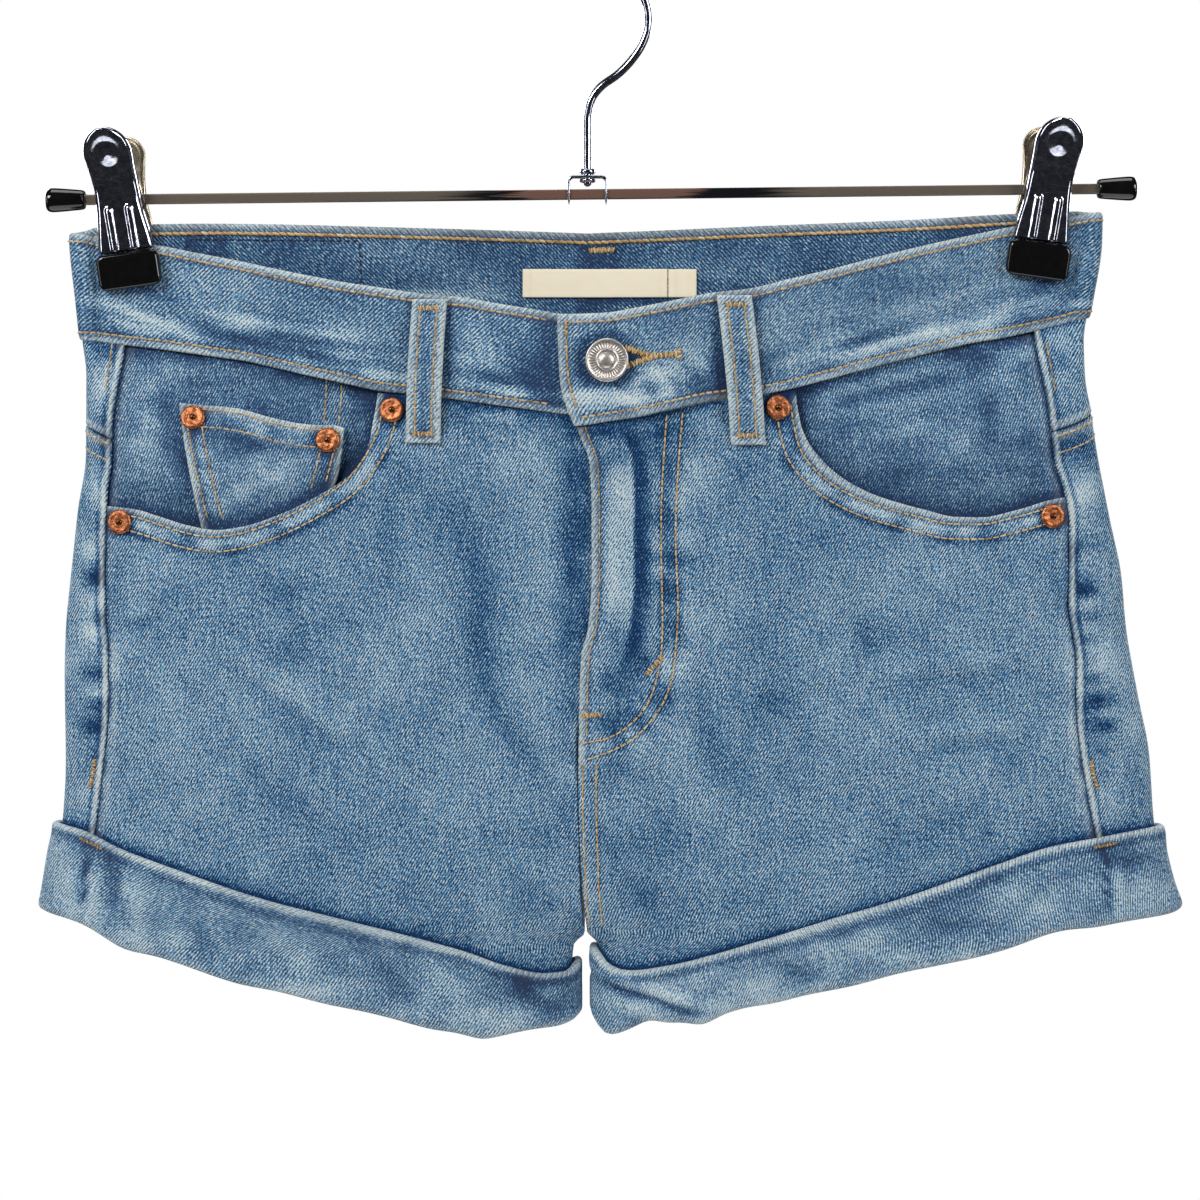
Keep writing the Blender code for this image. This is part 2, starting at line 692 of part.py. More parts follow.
def waistband(materials, parts):
    """One band from its lapped end, round the back, to the end under the lap."""
    down = np.linspace(0, 1, 5)[:, None]
    end = smooth(BAND_END, "x", down)
    lap = end + (OVERLAP_FLAT[0] - end) * np.linspace(0, 1, 5)
    plain = np.array([36, OVERLAP_FLAT[1], 60, 75.4, 90, 106, 122, 136, 148, 158])
    x = np.concatenate([lap, np.tile(plain, (len(down), 1))], axis=1)
    round_back = {side: np.sort(np.append(yoke_top(side), (112, 123, 132, 142))) for side in (LEFT, RIGHT)}
    right = np.concatenate([angle_at(RIGHT, x, 140.0), np.tile(round_back[RIGHT], (len(down), 1))], axis=1)
    lift = np.concatenate([OVERLAP_LIFT * (1 - fade(x, OVERLAP_FLAT)),
                           np.zeros((len(down), right.shape[1] - x.shape[1]))], axis=1)
    under = np.array([-UNDERLAP, -15.0, -5.0, 7.0, 20.0, 33.0])
    left = np.concatenate([angle_at(LEFT, np.concatenate([under, plain[1:]]), 140.0), round_back[LEFT]])
    left = np.tile(left[::-1], (len(down), 1))
    halves = []
    for side, angle, level in ((RIGHT, right, BAND_LEVEL + lift), (LEFT, left, BAND_LEVEL + 0 * left)):
        top, low = band_edge(side, angle, "top"), band_edge(side, angle, "low")
        halves.append(surface(side, angle, top + (low - top) * down, level))
    halves[0][:, -1] = (halves[0][:, -1] + halves[1][:, 0]) / 2
    points = np.concatenate([halves[0], halves[1][:, 1:]], axis=1)
    panel("waistband", points, BAND, materials["denim"], parts)


def belt_loops(materials, parts):
    down = np.linspace(0, 1, 10)[:, None]
    across = np.linspace(-0.5, 0.5, 3)
    bulge = 1.6 * np.sin(np.pi * np.clip(down * 1.15, 0, 1)) ** 0.8
    for name, top_x, low_x, back, under in (
            ("loop_front_left", -56.0, -59.0, False, 0.0),
            ("loop_front_right", 52.3, 58.0, False, 0.0),
            ("loop_side_left", -141.0, -141.0, True, PATCH + 1.5 * GAP),
            ("loop_side_right", 141.0, 141.0, True, 0.0),
            ("loop_back", 4.0, 4.0, True, 0.0)):
        centre = top_x + (low_x - top_x) * down
        x = centre + LOOP_WIDTH * across
        side = LEFT if top_x < 0 else RIGHT
        angle = np.degrees(np.arcsin(np.abs(centre) / HALF_WAIST))
        angle = 180 - angle if back else angle
        top = band_edge(side, angle[0], "top") + 1.6
        low = band_edge(side, angle[-1], "low") + 17.0
        drop = top + (low - top) * down + 0 * x
        on_band = BAND_FACE + 2 * GAP + LOOP / 2 + under
        on_panel = CLOTH / 2 + 2 * GAP + LOOP / 2
        level = on_band + (on_panel - on_band) * fade(down, (0.74, 0.92)) + bulge
        panel(name, spot(x, drop, level + 0 * x, back), LOOP, materials["denim"], parts)


def cuffs(materials, parts):
    """Each cuff is a ring: a thick outer wall whose foot turns in under the leg's edge."""
    inside, rest = -CLOTH / 2, CLOTH / 2 + 1.8 * GAP
    for name, side in SIDES.items():
        front, back = leg_columns(side)
        angle = np.concatenate([[-90.0], front[1:], back[1:-1]])
        top, low = cuff_edge(side, angle, "top"), cuff_edge(side, angle, "low")
        outline = ((rest, top), (rest + CUFF * 0.75, top), (rest + CUFF, top + 1.2),
                   (rest + CUFF + 0.7, low - 3.0), (rest + CUFF + 0.3, low - 0.8), (rest + CUFF * 0.6, low),
                   (inside, low), (inside, low - CUFF_FLOOR), (rest, low - CUFF_FLOOR))
        sections = np.stack([surface(side, angle, drop, level) for level, drop in outline], axis=1)
        ring_of_sections(f"cuff_{name}", sections, materials["denim"], parts)


def back_pockets(materials, parts):
    down = np.linspace(0, 1, 9)[:, None]
    across = np.linspace(0, 1, 9)
    for name, side in SIDES.items():
        inner = smooth(BACK_POCKET_SIDES, "inner", down)
        outer = smooth(BACK_POCKET_SIDES, "outer", down)
        x = inner + (outer - inner) * across
        top = BACK_POCKET_TOP[0] + (BACK_POCKET_TOP[1] - BACK_POCKET_TOP[0]) * across
        low = np.interp(across, BACK_POCKET_LOW["across"], BACK_POCKET_LOW["drop"])
        drop = top + (low - top) * down
        angle = angle_at(side, x, drop, back=True)
        panel(f"back_pocket_{name}", surface(side, angle, drop, LAYER + 0 * x), CLOTH, materials["denim"], parts)


def labels_and_patch(materials, parts):
    """Flat pieces on the band: labels inside the back, a leather patch outside it."""
    inside = BAND_LEVEL - BAND / 2 - GAP - LABEL / 2
    outside = BAND_FACE + 1.5 * GAP + PATCH / 2
    for name, ends, drops, level, thickness, colour in (
            ("label", (-24.5, 30.0), (111.2, 121.9), inside, LABEL, "label"),
            ("size_tab", (30.3, 40.9), (111.3, 121.9), inside, LABEL, "label"),
            ("back_patch", (-147.0, -85.5), (99.0, 131.5), outside, PATCH, "leather")):
        columns = max(3, int(abs(ends[1] - ends[0]) / 6) + 1)
        x = np.linspace(*ends, columns) + np.zeros((3, 1))
        drop = np.linspace(*drops, 3)[:, None] + 0 * x
        panel(name, spot(x, drop, level, back=True), thickness, materials[colour], parts)


def rivets_and_button(materials, parts):
    profile = [(0, 1.5), (0.9, 1.4), (1.3, 0.9), (2.0, 0.7), (3.6, 1.1), (RIVET_RADIUS, 0.5),
               (RIVET_RADIUS, 0), (0, 0)]
    on_coin = -LINING + CLOTH / 2 + GAP
    on_front = CLOTH / 2 + GAP
    for number, (x, drop, level) in enumerate((
            (-143.7, 166.0, on_coin), (-94.0, 174.2, on_coin), (-70.3, 163.4, on_front),
            (-170.2, 204.3, on_front), (68.7, 162.6, on_front), (169.2, 202.1, on_front)), start=1):
        rivet = turned(f"rivet_{number}", profile, materials["copper"], parts, steps=12)
        seat(rivet, x, drop, level)
    profile = [(0, 4.0), (1.8, 3.9), (2.7, 3.2), (3.3, 2.9), (4.2, 3.4), (6.6, 3.3), (BUTTON_RADIUS, 2.5),
               (BUTTON_RADIUS - 0.3, 1.8), (2.4, 1.5), (2.2, 0), (0, 0)]
    button = turned("button", profile, materials["steel"], parts, steps=20)
    seat(button, 6.4, 145.4, BAND_FACE + OVERLAP_LIFT + GAP)


# ---------------------------------------------------------------- the hanger

def hook(materials, parts):
    rise = np.linspace(NECK["rise"][0], NECK["rise"][-1], 12)
    points = [(0.0, -BRACKET_DROP - 2.6), (0.0, -66.0)]
    points += list(zip(smooth(NECK, "x", rise), rise))
    centre = WIRE_RADIUS - CROWN_RADIUS
    for angle in np.radians(np.linspace(0, HOOK_END_ANGLE, 18)[1:]):
        points.append((CROWN_RADIUS * math.cos(angle), centre + CROWN_RADIUS * math.sin(angle)))
    curve = bpy.data.curves.new("hook", "CURVE")
    curve.dimensions = "3D"
    curve.bevel_depth = WIRE_RADIUS * MM
    curve.bevel_resolution = 2
    curve.use_fill_caps = True
    spline = curve.splines.new("POLY")
    spline.points.add(len(points) - 1)
    for point, (x, z) in zip(spline.points, points):
        point.co = (x * MM, 0.0, z * MM, 1.0)
    add_object("hook", curve, materials["chrome"], parts)


def hook_fittings(materials, parts):
    """A collar above the bracket, a nut below its top, and the bracket round the bar."""
    bore = WIRE_RADIUS + GAP
    collar = turned("hook_collar", [(bore, 2.1), (2.3, 2.1), (2.6, 1.7), (2.6, 0), (bore, 0)],
                    materials["chrome"], parts)
    collar.location.z = (-BRACKET_DROP + GAP) * MM
    nut = turned("hook_nut", [(bore, 0), (3.2, 0), (3.0, -1.4), (bore, -1.4)], materials["chrome"], parts)
    nut.location.z = (-BRACKET_DROP - BRACKET_WALL - GAP) * MM

    size = (BRACKET_WIDTH, BRACKET_DEPTH, BRACKET_HEIGHT)
    middle = -BRACKET_DROP - BRACKET_HEIGHT / 2
    bracket = box_object("bracket", size, (0, 0, middle), 0.5, materials["chrome"], parts)
    guides = bpy.data.collections.new("cutters")
    bpy.context.scene.collection.children.link(guides)
    inner = (BRACKET_WIDTH - 2 * BRACKET_WALL, 2 * BRACKET_DEPTH, BRACKET_HEIGHT)
    window = BAR_SIZE + 2 * GAP + 0.2
    cutters = [
        box_object("cut_inside", inner, (0, 0, middle - BRACKET_WALL), 0, materials["chrome"], guides),
        box_object("cut_bar", (2 * BRACKET_WIDTH, window, window), (0, 0, -BAR_DROP), 0,
                   materials["chrome"], guides),
        turned("cut_stem", [(0, 4), (bore, 4), (bore, -4), (0, -4)], materials["chrome"], guides),
    ]
    cutters[2].location.z = -BRACKET_DROP * MM
    for cutter in cutters:
        cutter.hide_render = True
        cutter.display_type = "WIRE"
        cut = bracket.modifiers.new(cutter.name, "BOOLEAN")
        cut.operation = "DIFFERENCE"
        cut.object = cutter


def bar_frame(x):
    """Placement at a distance along the tilted bar."""
    place = Vector((x * math.cos(BAR_TILT), 0.0, -BAR_DROP + x * math.sin(BAR_TILT))) * MM
    return Matrix.Translation(place)


def bar_and_caps(materials, parts):
    tilt = Matrix.Rotation(-BAR_TILT, 4, "Y")
    ends = {side: CAP_ENDS[side] - CAP_LENGTH + CAP_HOLD for side in (LEFT, RIGHT)}
    length = ends[LEFT] + ends[RIGHT]
    bar = box_object("bar", (length, BAR_SIZE, BAR_SIZE), (0, 0, 0), 0.35, materials["chrome"], parts)
    bar.matrix_world = bar_frame((ends[RIGHT] - ends[LEFT]) / 2) @ tilt
    hole = BAR_SIZE / 2 * math.sqrt(2) + GAP
    deep = CAP_LENGTH - CAP_HOLD - GAP
    profile = [(0, CAP_LENGTH), (3.6, CAP_LENGTH), (4.4, CAP_LENGTH - 0.8), (4.3, CAP_LENGTH - 4), (3.5, 0.4),
               (3.3, 0), (hole, 0), (hole, CAP_LENGTH - deep), (0, CAP_LENGTH - deep)]
    for name, side in SIDES.items():
        cap = turned(f"cap_{name}", profile, materials["rubber"], parts, steps=16)
        point_out = Matrix.Rotation(side * math.pi / 2, 4, "Y")
        cap.matrix_world = bar_frame(side * (CAP_ENDS[side] - CAP_LENGTH)) @ tilt @ point_out


def jaw_points(face):
    """A stamped jaw: a channel section along the handle, waist and grip."""
    rise = JAW["rise"][:, None]
    half = JAW["width"][:, None] / 2
    depth = JAW["depth"][:, None]
    flange = JAW["flange"][:, None]
    across = np.array([-1, -1, -0.5, 0, 0.5, 1, 1])
    turned_in = np.array([1, 0, 0, 0, 0, 0, 1])
    y = face * (depth - flange * turned_in)
    return np.stack([half * across, y, rise + 0 * across], axis=-1)


def clips(materials, parts):
    coil = [(2.95, 5.2)]
    for turn in range(4):
        coil += [(4.2, 5.2 - 2.6 * turn), (5.4, 3.9 - 2.6 * turn)]
    coil += [(4.2, -5.2), (2.95, -5.2)]
    lean = math.radians(CLIP_LEAN)
    for name, side in SIDES.items():
        frame = bar_frame(side * CLIP_PLACE[side]) @ Matrix.Rotation(side * lean, 4, "Y")
        spring = turned(f"clip_{name}_spring", coil, materials["chrome"], parts, steps=12)
        spring.matrix_world = (bar_frame(side * CLIP_PLACE[side]) @ Matrix.Rotation(-BAR_TILT, 4, "Y")
                               @ Matrix.Rotation(math.pi / 2, 4, "Y"))
        for end, face in (("front", -1), ("back", 1)):
            jaw = panel(f"clip_{name}_{end}", jaw_points(face), JAW_WALL, materials["chrome"], parts)
            jaw.matrix_world = frame
            middle = (0, face * (PAD_CLOSED + PAD_SIZE[1] / 2), -PAD_TOP - PAD_SIZE[2] / 2)
            pad = box_object(f"clip_{name}_pad_{end}", PAD_SIZE, middle, 1.4, materials["rubber"], parts)
            pad.matrix_world = frame


def main():
    clear_scene()
    materials = make_materials()
    parts = bpy.data.collections.new(COLLECTION)
    bpy.context.scene.collection.children.link(parts)
    for build in (front_panels, pocket_facings, coin_pocket, fly_pieces, back_panels, yokes, waistband,
                  belt_loops, cuffs, back_pockets, labels_and_patch, rivets_and_button,
                  hook, hook_fittings, bar_and_caps, clips):
        build(materials, parts)


main()
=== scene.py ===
import math

import bmesh
import bpy
import numpy as np
from mathutils import Matrix, Vector


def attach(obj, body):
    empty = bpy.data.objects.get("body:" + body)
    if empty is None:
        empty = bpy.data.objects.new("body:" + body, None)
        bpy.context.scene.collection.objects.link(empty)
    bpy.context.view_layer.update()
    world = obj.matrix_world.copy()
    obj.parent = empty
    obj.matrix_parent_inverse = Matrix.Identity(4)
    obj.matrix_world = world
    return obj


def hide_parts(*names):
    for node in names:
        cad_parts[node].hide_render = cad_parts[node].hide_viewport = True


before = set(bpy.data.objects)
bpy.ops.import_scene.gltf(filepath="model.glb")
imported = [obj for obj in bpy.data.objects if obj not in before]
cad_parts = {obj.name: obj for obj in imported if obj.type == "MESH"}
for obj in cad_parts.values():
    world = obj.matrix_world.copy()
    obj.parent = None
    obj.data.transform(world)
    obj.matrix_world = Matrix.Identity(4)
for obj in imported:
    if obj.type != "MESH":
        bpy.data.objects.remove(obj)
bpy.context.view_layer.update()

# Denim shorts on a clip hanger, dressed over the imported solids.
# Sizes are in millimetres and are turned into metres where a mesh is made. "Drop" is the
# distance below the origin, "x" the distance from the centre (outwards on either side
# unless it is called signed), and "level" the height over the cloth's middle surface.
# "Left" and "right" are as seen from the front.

MM = 0.001
# Spacing of the cloth's grids
PITCH = 1.65
LEFT, RIGHT = -1, 1
SIDES = {"left": LEFT, "right": RIGHT}

# Walls, gaps and levels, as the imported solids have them
GAP = 0.3
CLOTH = 1.2
BAND = 2.4
CUFF = 3.2
CUFF_FLOOR = 1.4
LOOP = 1.6
LOOP_WIDTH = 12.6
LABEL = 1.0
PATCH = 1.0
HALF_WAIST = 190.0
LENS_POWER = 0.62
LAYER = CLOTH + GAP
LINING = LAYER + 0.2
RIDGE = LAYER + 0.25
FOLD_GAP = 0.031
BAND_LEVEL = (BAND - CLOTH) / 2
BAND_FACE = BAND_LEVEL + BAND / 2
OVERLAP_LIFT = BAND + GAP
# The fly: its lap, and where its ridge ends to the side and below
FLY_LAP = 8.0
FLY_RIDGE = (17.5, 26.0)
FLY_END = (262.0, 280.0)
RIDGE_END = (286.0, 302.0)
UNDERLAP = 24.0
OVERLAP_FLAT = (26.0, 45.0)
PINCH_FADE = (26.0, 80.0)
# Small tucks that close the solids' gaps: degrees at the side seams, millimetres under the band
SEAM_TURN = 0.06
YOKE_TUCK = 0.4
CUFF_BACK_DROP = 4.0
# Drops at which the band's angles are read, and at which its columns are spaced
BAND_DROP = 140.0
BAND_RUN_DROP = 118.0
# Shares of a leg's length past the cuff's edge, for the rows inside the cuff
LEG_TAIL = [1.02, 1.10, 1.4, 2.0]
# The strip beside the centre seam that has columns of its own
STRIP = 26.0
# About the length of a pocket mouth, and of the fly's rows of stitches
ROW_LENGTH = 130.0
# A distance that no seam's relief reaches
FAR = 99.0

# Metal trims and the hanger
RIVET_RADIUS = 4.5
BUTTON_RADIUS = 7.8
BUTTON_PLACE = (6.4, 145.4)
WIRE_RADIUS = 1.5
CROWN_RADIUS = 22.4
HOOK_END_ANGLE = 150.0
BRACKET_DROP = 77.6
BRACKET_WIDTH = 14.6
BRACKET_DEPTH = 5.4
BRACKET_HEIGHT = 10.8
BRACKET_WALL = 0.9
BAR_DROP = 84.5
BAR_SIZE = 3.7
BAR_TILT = math.radians(0.62)
CAP_LENGTH = 14.0
CAP_ENDS = {LEFT: 198.9, RIGHT: 201.7}
CAP_HOLD = 10.0
CLIP_PLACE = {LEFT: 171.4, RIGHT: 168.6}
CLIP_LEAN = 8.0
JAW_WALL = 1.0
PAD_SIZE = (23.0, 4.6, 13.3)
PAD_TOP = 19.7
PAD_CLOSED = 2.9


def table(columns, *rows):
    """Rows of numbers under named columns; the first column is the one looked up."""
    return dict(zip(columns.split(), np.array(rows, float).T))


# The tube's outer edge, out from the centre
OUTLINE = table(
    "drop left right",
    (90, 189.2, 187.7), (102, 188.9, 187.5), (124, 186.8, 184.3), (138, 185.4, 182), (150, 183.9, 182.4),
    (163, 184, 184.4), (180, 184.2, 187.2), (202, 187.4, 191.6), (224, 189.8, 196.1), (246, 192, 198.4),
    (269, 192.4, 202.7), (291, 192.4, 207.2), (313, 193.6, 208.9), (330, 196, 210.9), (352, 199.2, 216.8))
# The tube's inner edge as a share of the outer one: past the centre above the crotch
REACH = table(
    "drop left right",
    (240, -1, -1), (300, -0.78, -0.76), (330, -0.42, -0.40), (345, -0.17, -0.16), (351, -0.07, -0.065),
    (356, -0.005, -0.004), (362, 0.028, 0.022), (385, 0.036, 0.028))
# Depth of the loose cloth below the band, and of the held cloth beside its folds
DEPTH = table(
    "below front back",
    (0, 25, 19), (26, 25, 19), (80, 20, 21), (170, 18, 23), (230, 17, 23), (300, 16, 19))
OPENING = table(
    "angle front back",
    (0, 0, 0), (5, 2.3, 2.3), (9.5, 3.2, 3.2), (12.5, 2.6, 2.6), (15.5, 0.8, 0.8), (38.5, 0.8, 0.8),
    (46, 3.5, 3), (60, 13, 10), (75, 20.5, 16), (90, 25, 19))
# Drops of the waistband's edges
FRONT_BAND = table(
    "x left_top left_low right_top right_low",
    (-26, 127.5, 164, 129, 169.5), (-10, 129, 165.2, 128.9, 169.2), (-4, 129.2, 165.3, 128.9, 168.9),
    (8, 129, 164.8, 128.3, 167.2), (18, 127.4, 163.6, 126.6, 165.8), (32, 125.2, 161.8, 123.9, 162.8),
    (46, 122.8, 160, 121.2, 160.1), (60, 121.5, 158.2, 119.6, 158.7), (75, 119.3, 157, 116, 156.2),
    (90, 117, 154.1, 112.4, 152.6), (108, 113.5, 150.5, 107.6, 148.2), (128, 109.2, 146.2, 102.7, 143.6),
    (146, 105.7, 143.7, 98.8, 139.6), (160, 103, 141.8, 96, 137.3), (178, 100.8, 139.6, 93, 133.2),
    (190, 98.6, 138, 91, 130))
BACK_BAND = table(
    "x left_top left_low right_top right_low",
    (0, 97.7, 134.7, 97.7, 134.7), (22, 97, 134, 96.9, 133.8), (60, 96, 133, 95.4, 132.4),
    (127, 95, 133.4, 93.2, 131), (165, 95.4, 135.6, 91.2, 130.2), (182, 96.6, 137.2, 90.6, 129.8),
    (190, 98.6, 138, 91, 130))
BAND_END = table("down x", (0, -10.4), (0.3, -10.1), (0.6, -9.4), (0.85, -6.8), (1, -4.2))
# Seams
CENTRE_SEAM = table(
    "drop front back",
    (160, -3.9, 0), (168, -3.7, 0), (182, 0.6, 0), (200, 1.4, 0), (224, 1.4, 0), (242, 0.1, 0),
    (252, -2.3, 0), (268, -3, 0), (300, -3.4, 0), (335, -2.5, -0.2), (358, -0.5, -0.5))
SIDE_SEAM = table(
    "drop left right",
    (130, 169, 163), (142, 170, 164.6), (155, 171.8, 166.8), (168, 173.2, 168.5), (182, 173.5, 170.2),
    (193, 175, 173.7), (204, 175.6, 175.6), (234, 176, 175.6), (256, 174.9, 178.6), (276, 175.2, 178.7),
    (294, 177.3, 181), (321, 180.8, 186.2), (350, 185, 190.5), (390, 187, 193))
YOKE_SEAM = table(
    "angle left right",
    (60, 178, 173.2), (67, 175.8, 171), (78, 171.5, 167.4), (90, 169, 164.5), (105, 169.5, 166),
    (120, 173, 171), (140, 182, 181), (160, 191, 191), (180, 200, 200))
POCKET_MOUTH = {
    LEFT: table(
        "x drop",
        (75.5, 158.4), (78.2, 171), (82, 178.5), (89, 187.2), (99.5, 194.1), (113, 201), (127, 205.8),
        (136, 207), (146, 205.4), (156, 202.3), (165, 199.7), (178, 198.4)),
    RIGHT: table(
        "x drop",
        (75.3, 158.6), (78.6, 175.5), (84, 183.2), (92.4, 189.7), (103, 194.6), (121, 199.7), (132, 202.2),
        (143, 202.4), (152, 200.7), (160, 198.7), (168, 196.4), (178, 194.8)),
}
# Drops of the cuffs' edges
CUFF_EDGES = table(
    "x left_top left_low right_top right_low",
    (5, 366, 384.6, 362.4, 385), (9, 370.2, 389.8, 367.6, 391.4), (15, 370.3, 391, 369.2, 390.2),
    (30, 366.8, 391.8, 366.7, 387.6), (45, 361, 390.2, 362.6, 385.2), (60, 356.4, 387.4, 357.8, 381.3),
    (90, 348.8, 380.6, 349, 374.2), (120, 341.2, 373, 340, 367.6), (150, 331.2, 364, 329, 360),
    (170, 324.2, 357.6, 322.8, 353.6), (186, 317.4, 351.2, 320.2, 351.2), (204, 315.2, 348.4, 317.6, 350),
    (220, 315, 348, 316.4, 349))
COIN_TOP = table(
    "x drop",
    (88, 169.8), (92, 168.7), (100, 168.5), (113, 166.4), (128, 162.5), (149, 160.4))
COIN_SIDES = table("down inner outer", (0, 88.2, 149.2), (0.3, 89.0, 146.6), (1, 93.5, 139.5))
BACK_POCKET_TOP = (212.0, 200.0)
BACK_POCKET_SIDES = table("down inner outer", (0, 32, 153), (1, 39, 146))
BACK_POCKET_LOW = table("across drop", (0, 316), (0.5, 333), (1, 307))
NECK = table(
    "rise x",
    (-56, 0), (-50, 1.3), (-45, 5), (-40.6, 11.1), (-35.5, 16.1), (-29.6, 20), (-23.6, 22.1), (-20.9, 22.4))
JAW = table(
    "rise width depth flange",
    (-19.4, 20, 5.6, 1.6), (-13, 18.4, 6.3, 2.3), (-8, 17, 7, 3.3), (-4, 16, 7.6, 5), (0, 15.5, 8, 5.6),
    (4, 15.4, 8.8, 5), (11, 15.8, 12, 3.4), (16.8, 16.6, 15.2, 2.4), (21.5, 13.8, 17.8, 2),
    (24, 9.6, 19.2, 1.8))


# ---------------------------------------------------------------- the garment's form

def smooth(rows, column, at):
    """Monotone cubic through a table's column, level past its ends."""
    key = next(iter(rows))
    x, y = rows[key], rows[column]
    step = np.diff(x)
    slope = np.diff(y) / step
    before, after = slope[:-1], slope[1:]
    left, right = 2 * step[1:] + step[:-1], step[1:] + 2 * step[:-1]
    bends = before * after > 0
    safe_before = np.where(bends, before, 1.0)
    safe_after = np.where(bends, after, 1.0)
    inner = np.where(bends, (left + right) / (left / safe_before + right / safe_after), 0.0)
    tangent = np.concatenate(([slope[0]], inner, [slope[-1]]))
    at = np.clip(at, x[0], x[-1])
    i = np.clip(np.searchsorted(x, at) - 1, 0, len(step) - 1)
    t = (at - x[i]) / step[i]
    curve = (1 + 2 * t) * (1 - t) ** 2 * y[i] + t * t * (3 - 2 * t) * y[i + 1]
    return curve + step[i] * t * (1 - t) * ((1 - t) * tangent[i] - t * tangent[i + 1])


def fade(at, ends):
    """0 before the first end, 1 past the second, and smooth between."""
    t = np.clip((at - ends[0]) / (ends[1] - ends[0]), 0.0, 1.0)
    return t * t * (3 - 2 * t)


def within(at, start, end):
    """1 between two soft edges, 0 outside them."""
    return fade(at, start) * (1 - fade(at, end))


def side_name(side):
    return "left" if side == LEFT else "right"


def band_low(side, x):
    return smooth(FRONT_BAND, f"{side_name(side)}_low", x)


def cuff_top(side, x):
    return smooth(CUFF_EDGES, f"{side_name(side)}_top", x)


def mouth_drop(side, x):
    return smooth(POCKET_MOUTH[side], "drop", x)


def coin_top(x):
    return smooth(COIN_TOP, "drop", x)


def front_seam(drop):
    return smooth(CENTRE_SEAM, "front", drop)


def back_seam(drop):
    return smooth(CENTRE_SEAM, "back", drop)


def side_seam(side, drop):
    return smooth(SIDE_SEAM, side_name(side), drop)


def yoke_seam(side, angle):
    return smooth(YOKE_SEAM, side_name(side), angle)


def tube(side, drop):
    """Middle and half width of one half's tube, measured outwards from the centre."""
    outer = smooth(OUTLINE, side_name(side), drop)
    inner = outer * smooth(REACH, side_name(side), drop)
    return (outer + inner) / 2, (outer - inner) / 2


def waist_x(angle):
    """Distance from the centre at an angle round the waist."""
    return HALF_WAIST * np.sin(np.radians(angle))


def waist_angle(x, back=True):
    angle = np.degrees(np.arcsin(np.abs(x) / HALF_WAIST))
    return 180 - angle if back else angle


def band_edge(side, angle, edge):
    """Drop of the waistband's top or low edge at an angle round the waist."""
    x = waist_x(angle)
    column = f"{side_name(side)}_{edge}"
    front = np.cos(np.radians(angle)) >= 0
    return np.where(front, smooth(FRONT_BAND, column, x), smooth(BACK_BAND, column, np.abs(x)))


def skin(side, angle, drop):
    """Point on the cloth's middle surface."""
    angle, drop = np.broadcast_arrays(np.asarray(angle, float), np.asarray(drop, float))
    middle, half = tube(side, drop)
    radians = np.radians(angle)
    front = np.cos(radians) >= 0
    below = drop - band_edge(side, angle, "top")
    depth = np.where(front, smooth(DEPTH, "front", below), smooth(DEPTH, "back", below))
    from_fold = np.abs(90 - np.abs(angle))
    held = np.where(front, smooth(OPENING, "front", from_fold), smooth(OPENING, "back", from_fold))
    loose = depth * np.abs(np.cos(radians)) ** LENS_POWER
    grip = 1 - fade(below, PINCH_FADE)
    out = grip * held + (1 - grip) * loose
    x = side * (middle + half * np.sin(radians))
    return np.stack([x, np.where(front, -out, out), -drop], axis=-1)


def surface(side, angle, drop, level=0.0):
    """Point at a level above (or, below zero, inside) the cloth's middle surface."""
    turn, slide = 0.4, 0.5
    around = skin(side, angle + turn, drop) - skin(side, angle - turn, drop)
    down = skin(side, angle, drop + slide) - skin(side, angle, drop - slide)
    normal = side * np.cross(down, around)
    normal /= np.linalg.norm(normal, axis=-1, keepdims=True)
    return skin(side, angle, drop) + normal * np.asarray(level, float)[..., None]


def on_tube(side, angle, drop):
    """A place-at-level function for points given by tube angle and drop."""
    return lambda level: surface(side, angle, drop, level)


def angle_at(side, x, drop, back=False):
    """Tube angle of a distance from the centre, on the front or on the back."""
    middle, half = tube(side, drop)
    angle = np.degrees(np.arcsin(np.clip((x - middle) / half, -1.0, 1.0)))
    return 180 - angle if back else angle


def x_at(side, angle, drop):
    """Distance from the centre of a tube angle."""
    middle, half = tube(side, drop)
    return middle + half * np.sin(np.radians(angle))


def spot(x, drop, level=0.0, back=False):
    """Point over a place given by its signed distance from the centre."""
    x, drop, level = np.broadcast_arrays(np.asarray(x, float), np.asarray(drop, float),
                                         np.asarray(level, float))
    halves = [surface(side, angle_at(side, side * x, drop, back), drop, level) for side in (LEFT, RIGHT)]
    return np.where((x < 0)[..., None], halves[0], halves[1])


def over_spot(x, drop, back=False):
    """A place-at-level function for points given by signed distance and drop."""
    return lambda level: spot(x, drop, level, back)


def seam_inset(drop):
    """How far each half stays from the centre seam's line."""
    return GAP / 2 + 0.35 * fade(drop, (322.0, 350.0))


def fly_lap(drop):
    """How far the left front reaches past the centre seam, under the right one."""
    return FLY_LAP * (1 - fade(drop, FLY_END))


def fly_ridge(x, drop):
    """Level of the right front above the plain cloth, beside the fly's folded edge."""
    past_edge = x - front_seam(drop)
    return RIDGE * (1 - fade(past_edge, FLY_RIDGE)) * (1 - fade(drop, RIDGE_END))


def cuff_edge(side, angle, edge):
    """Drop of the cuff's top or low edge at a tube angle."""
    drop, back = np.full(np.shape(angle), 360.0), within(angle, (80, 115), (235, 265))
    for _ in range(5):
        drop = smooth(CUFF_EDGES, f"{side_name(side)}_{edge}", x_at(side, angle, drop))
        drop = drop + CUFF_BACK_DROP * back
    return drop


def leg_end(side, angle):
    """Drop of the leg's inner end, above the cuff's floor."""
    return cuff_edge(side, angle, "low") - CUFF_FLOOR - GAP


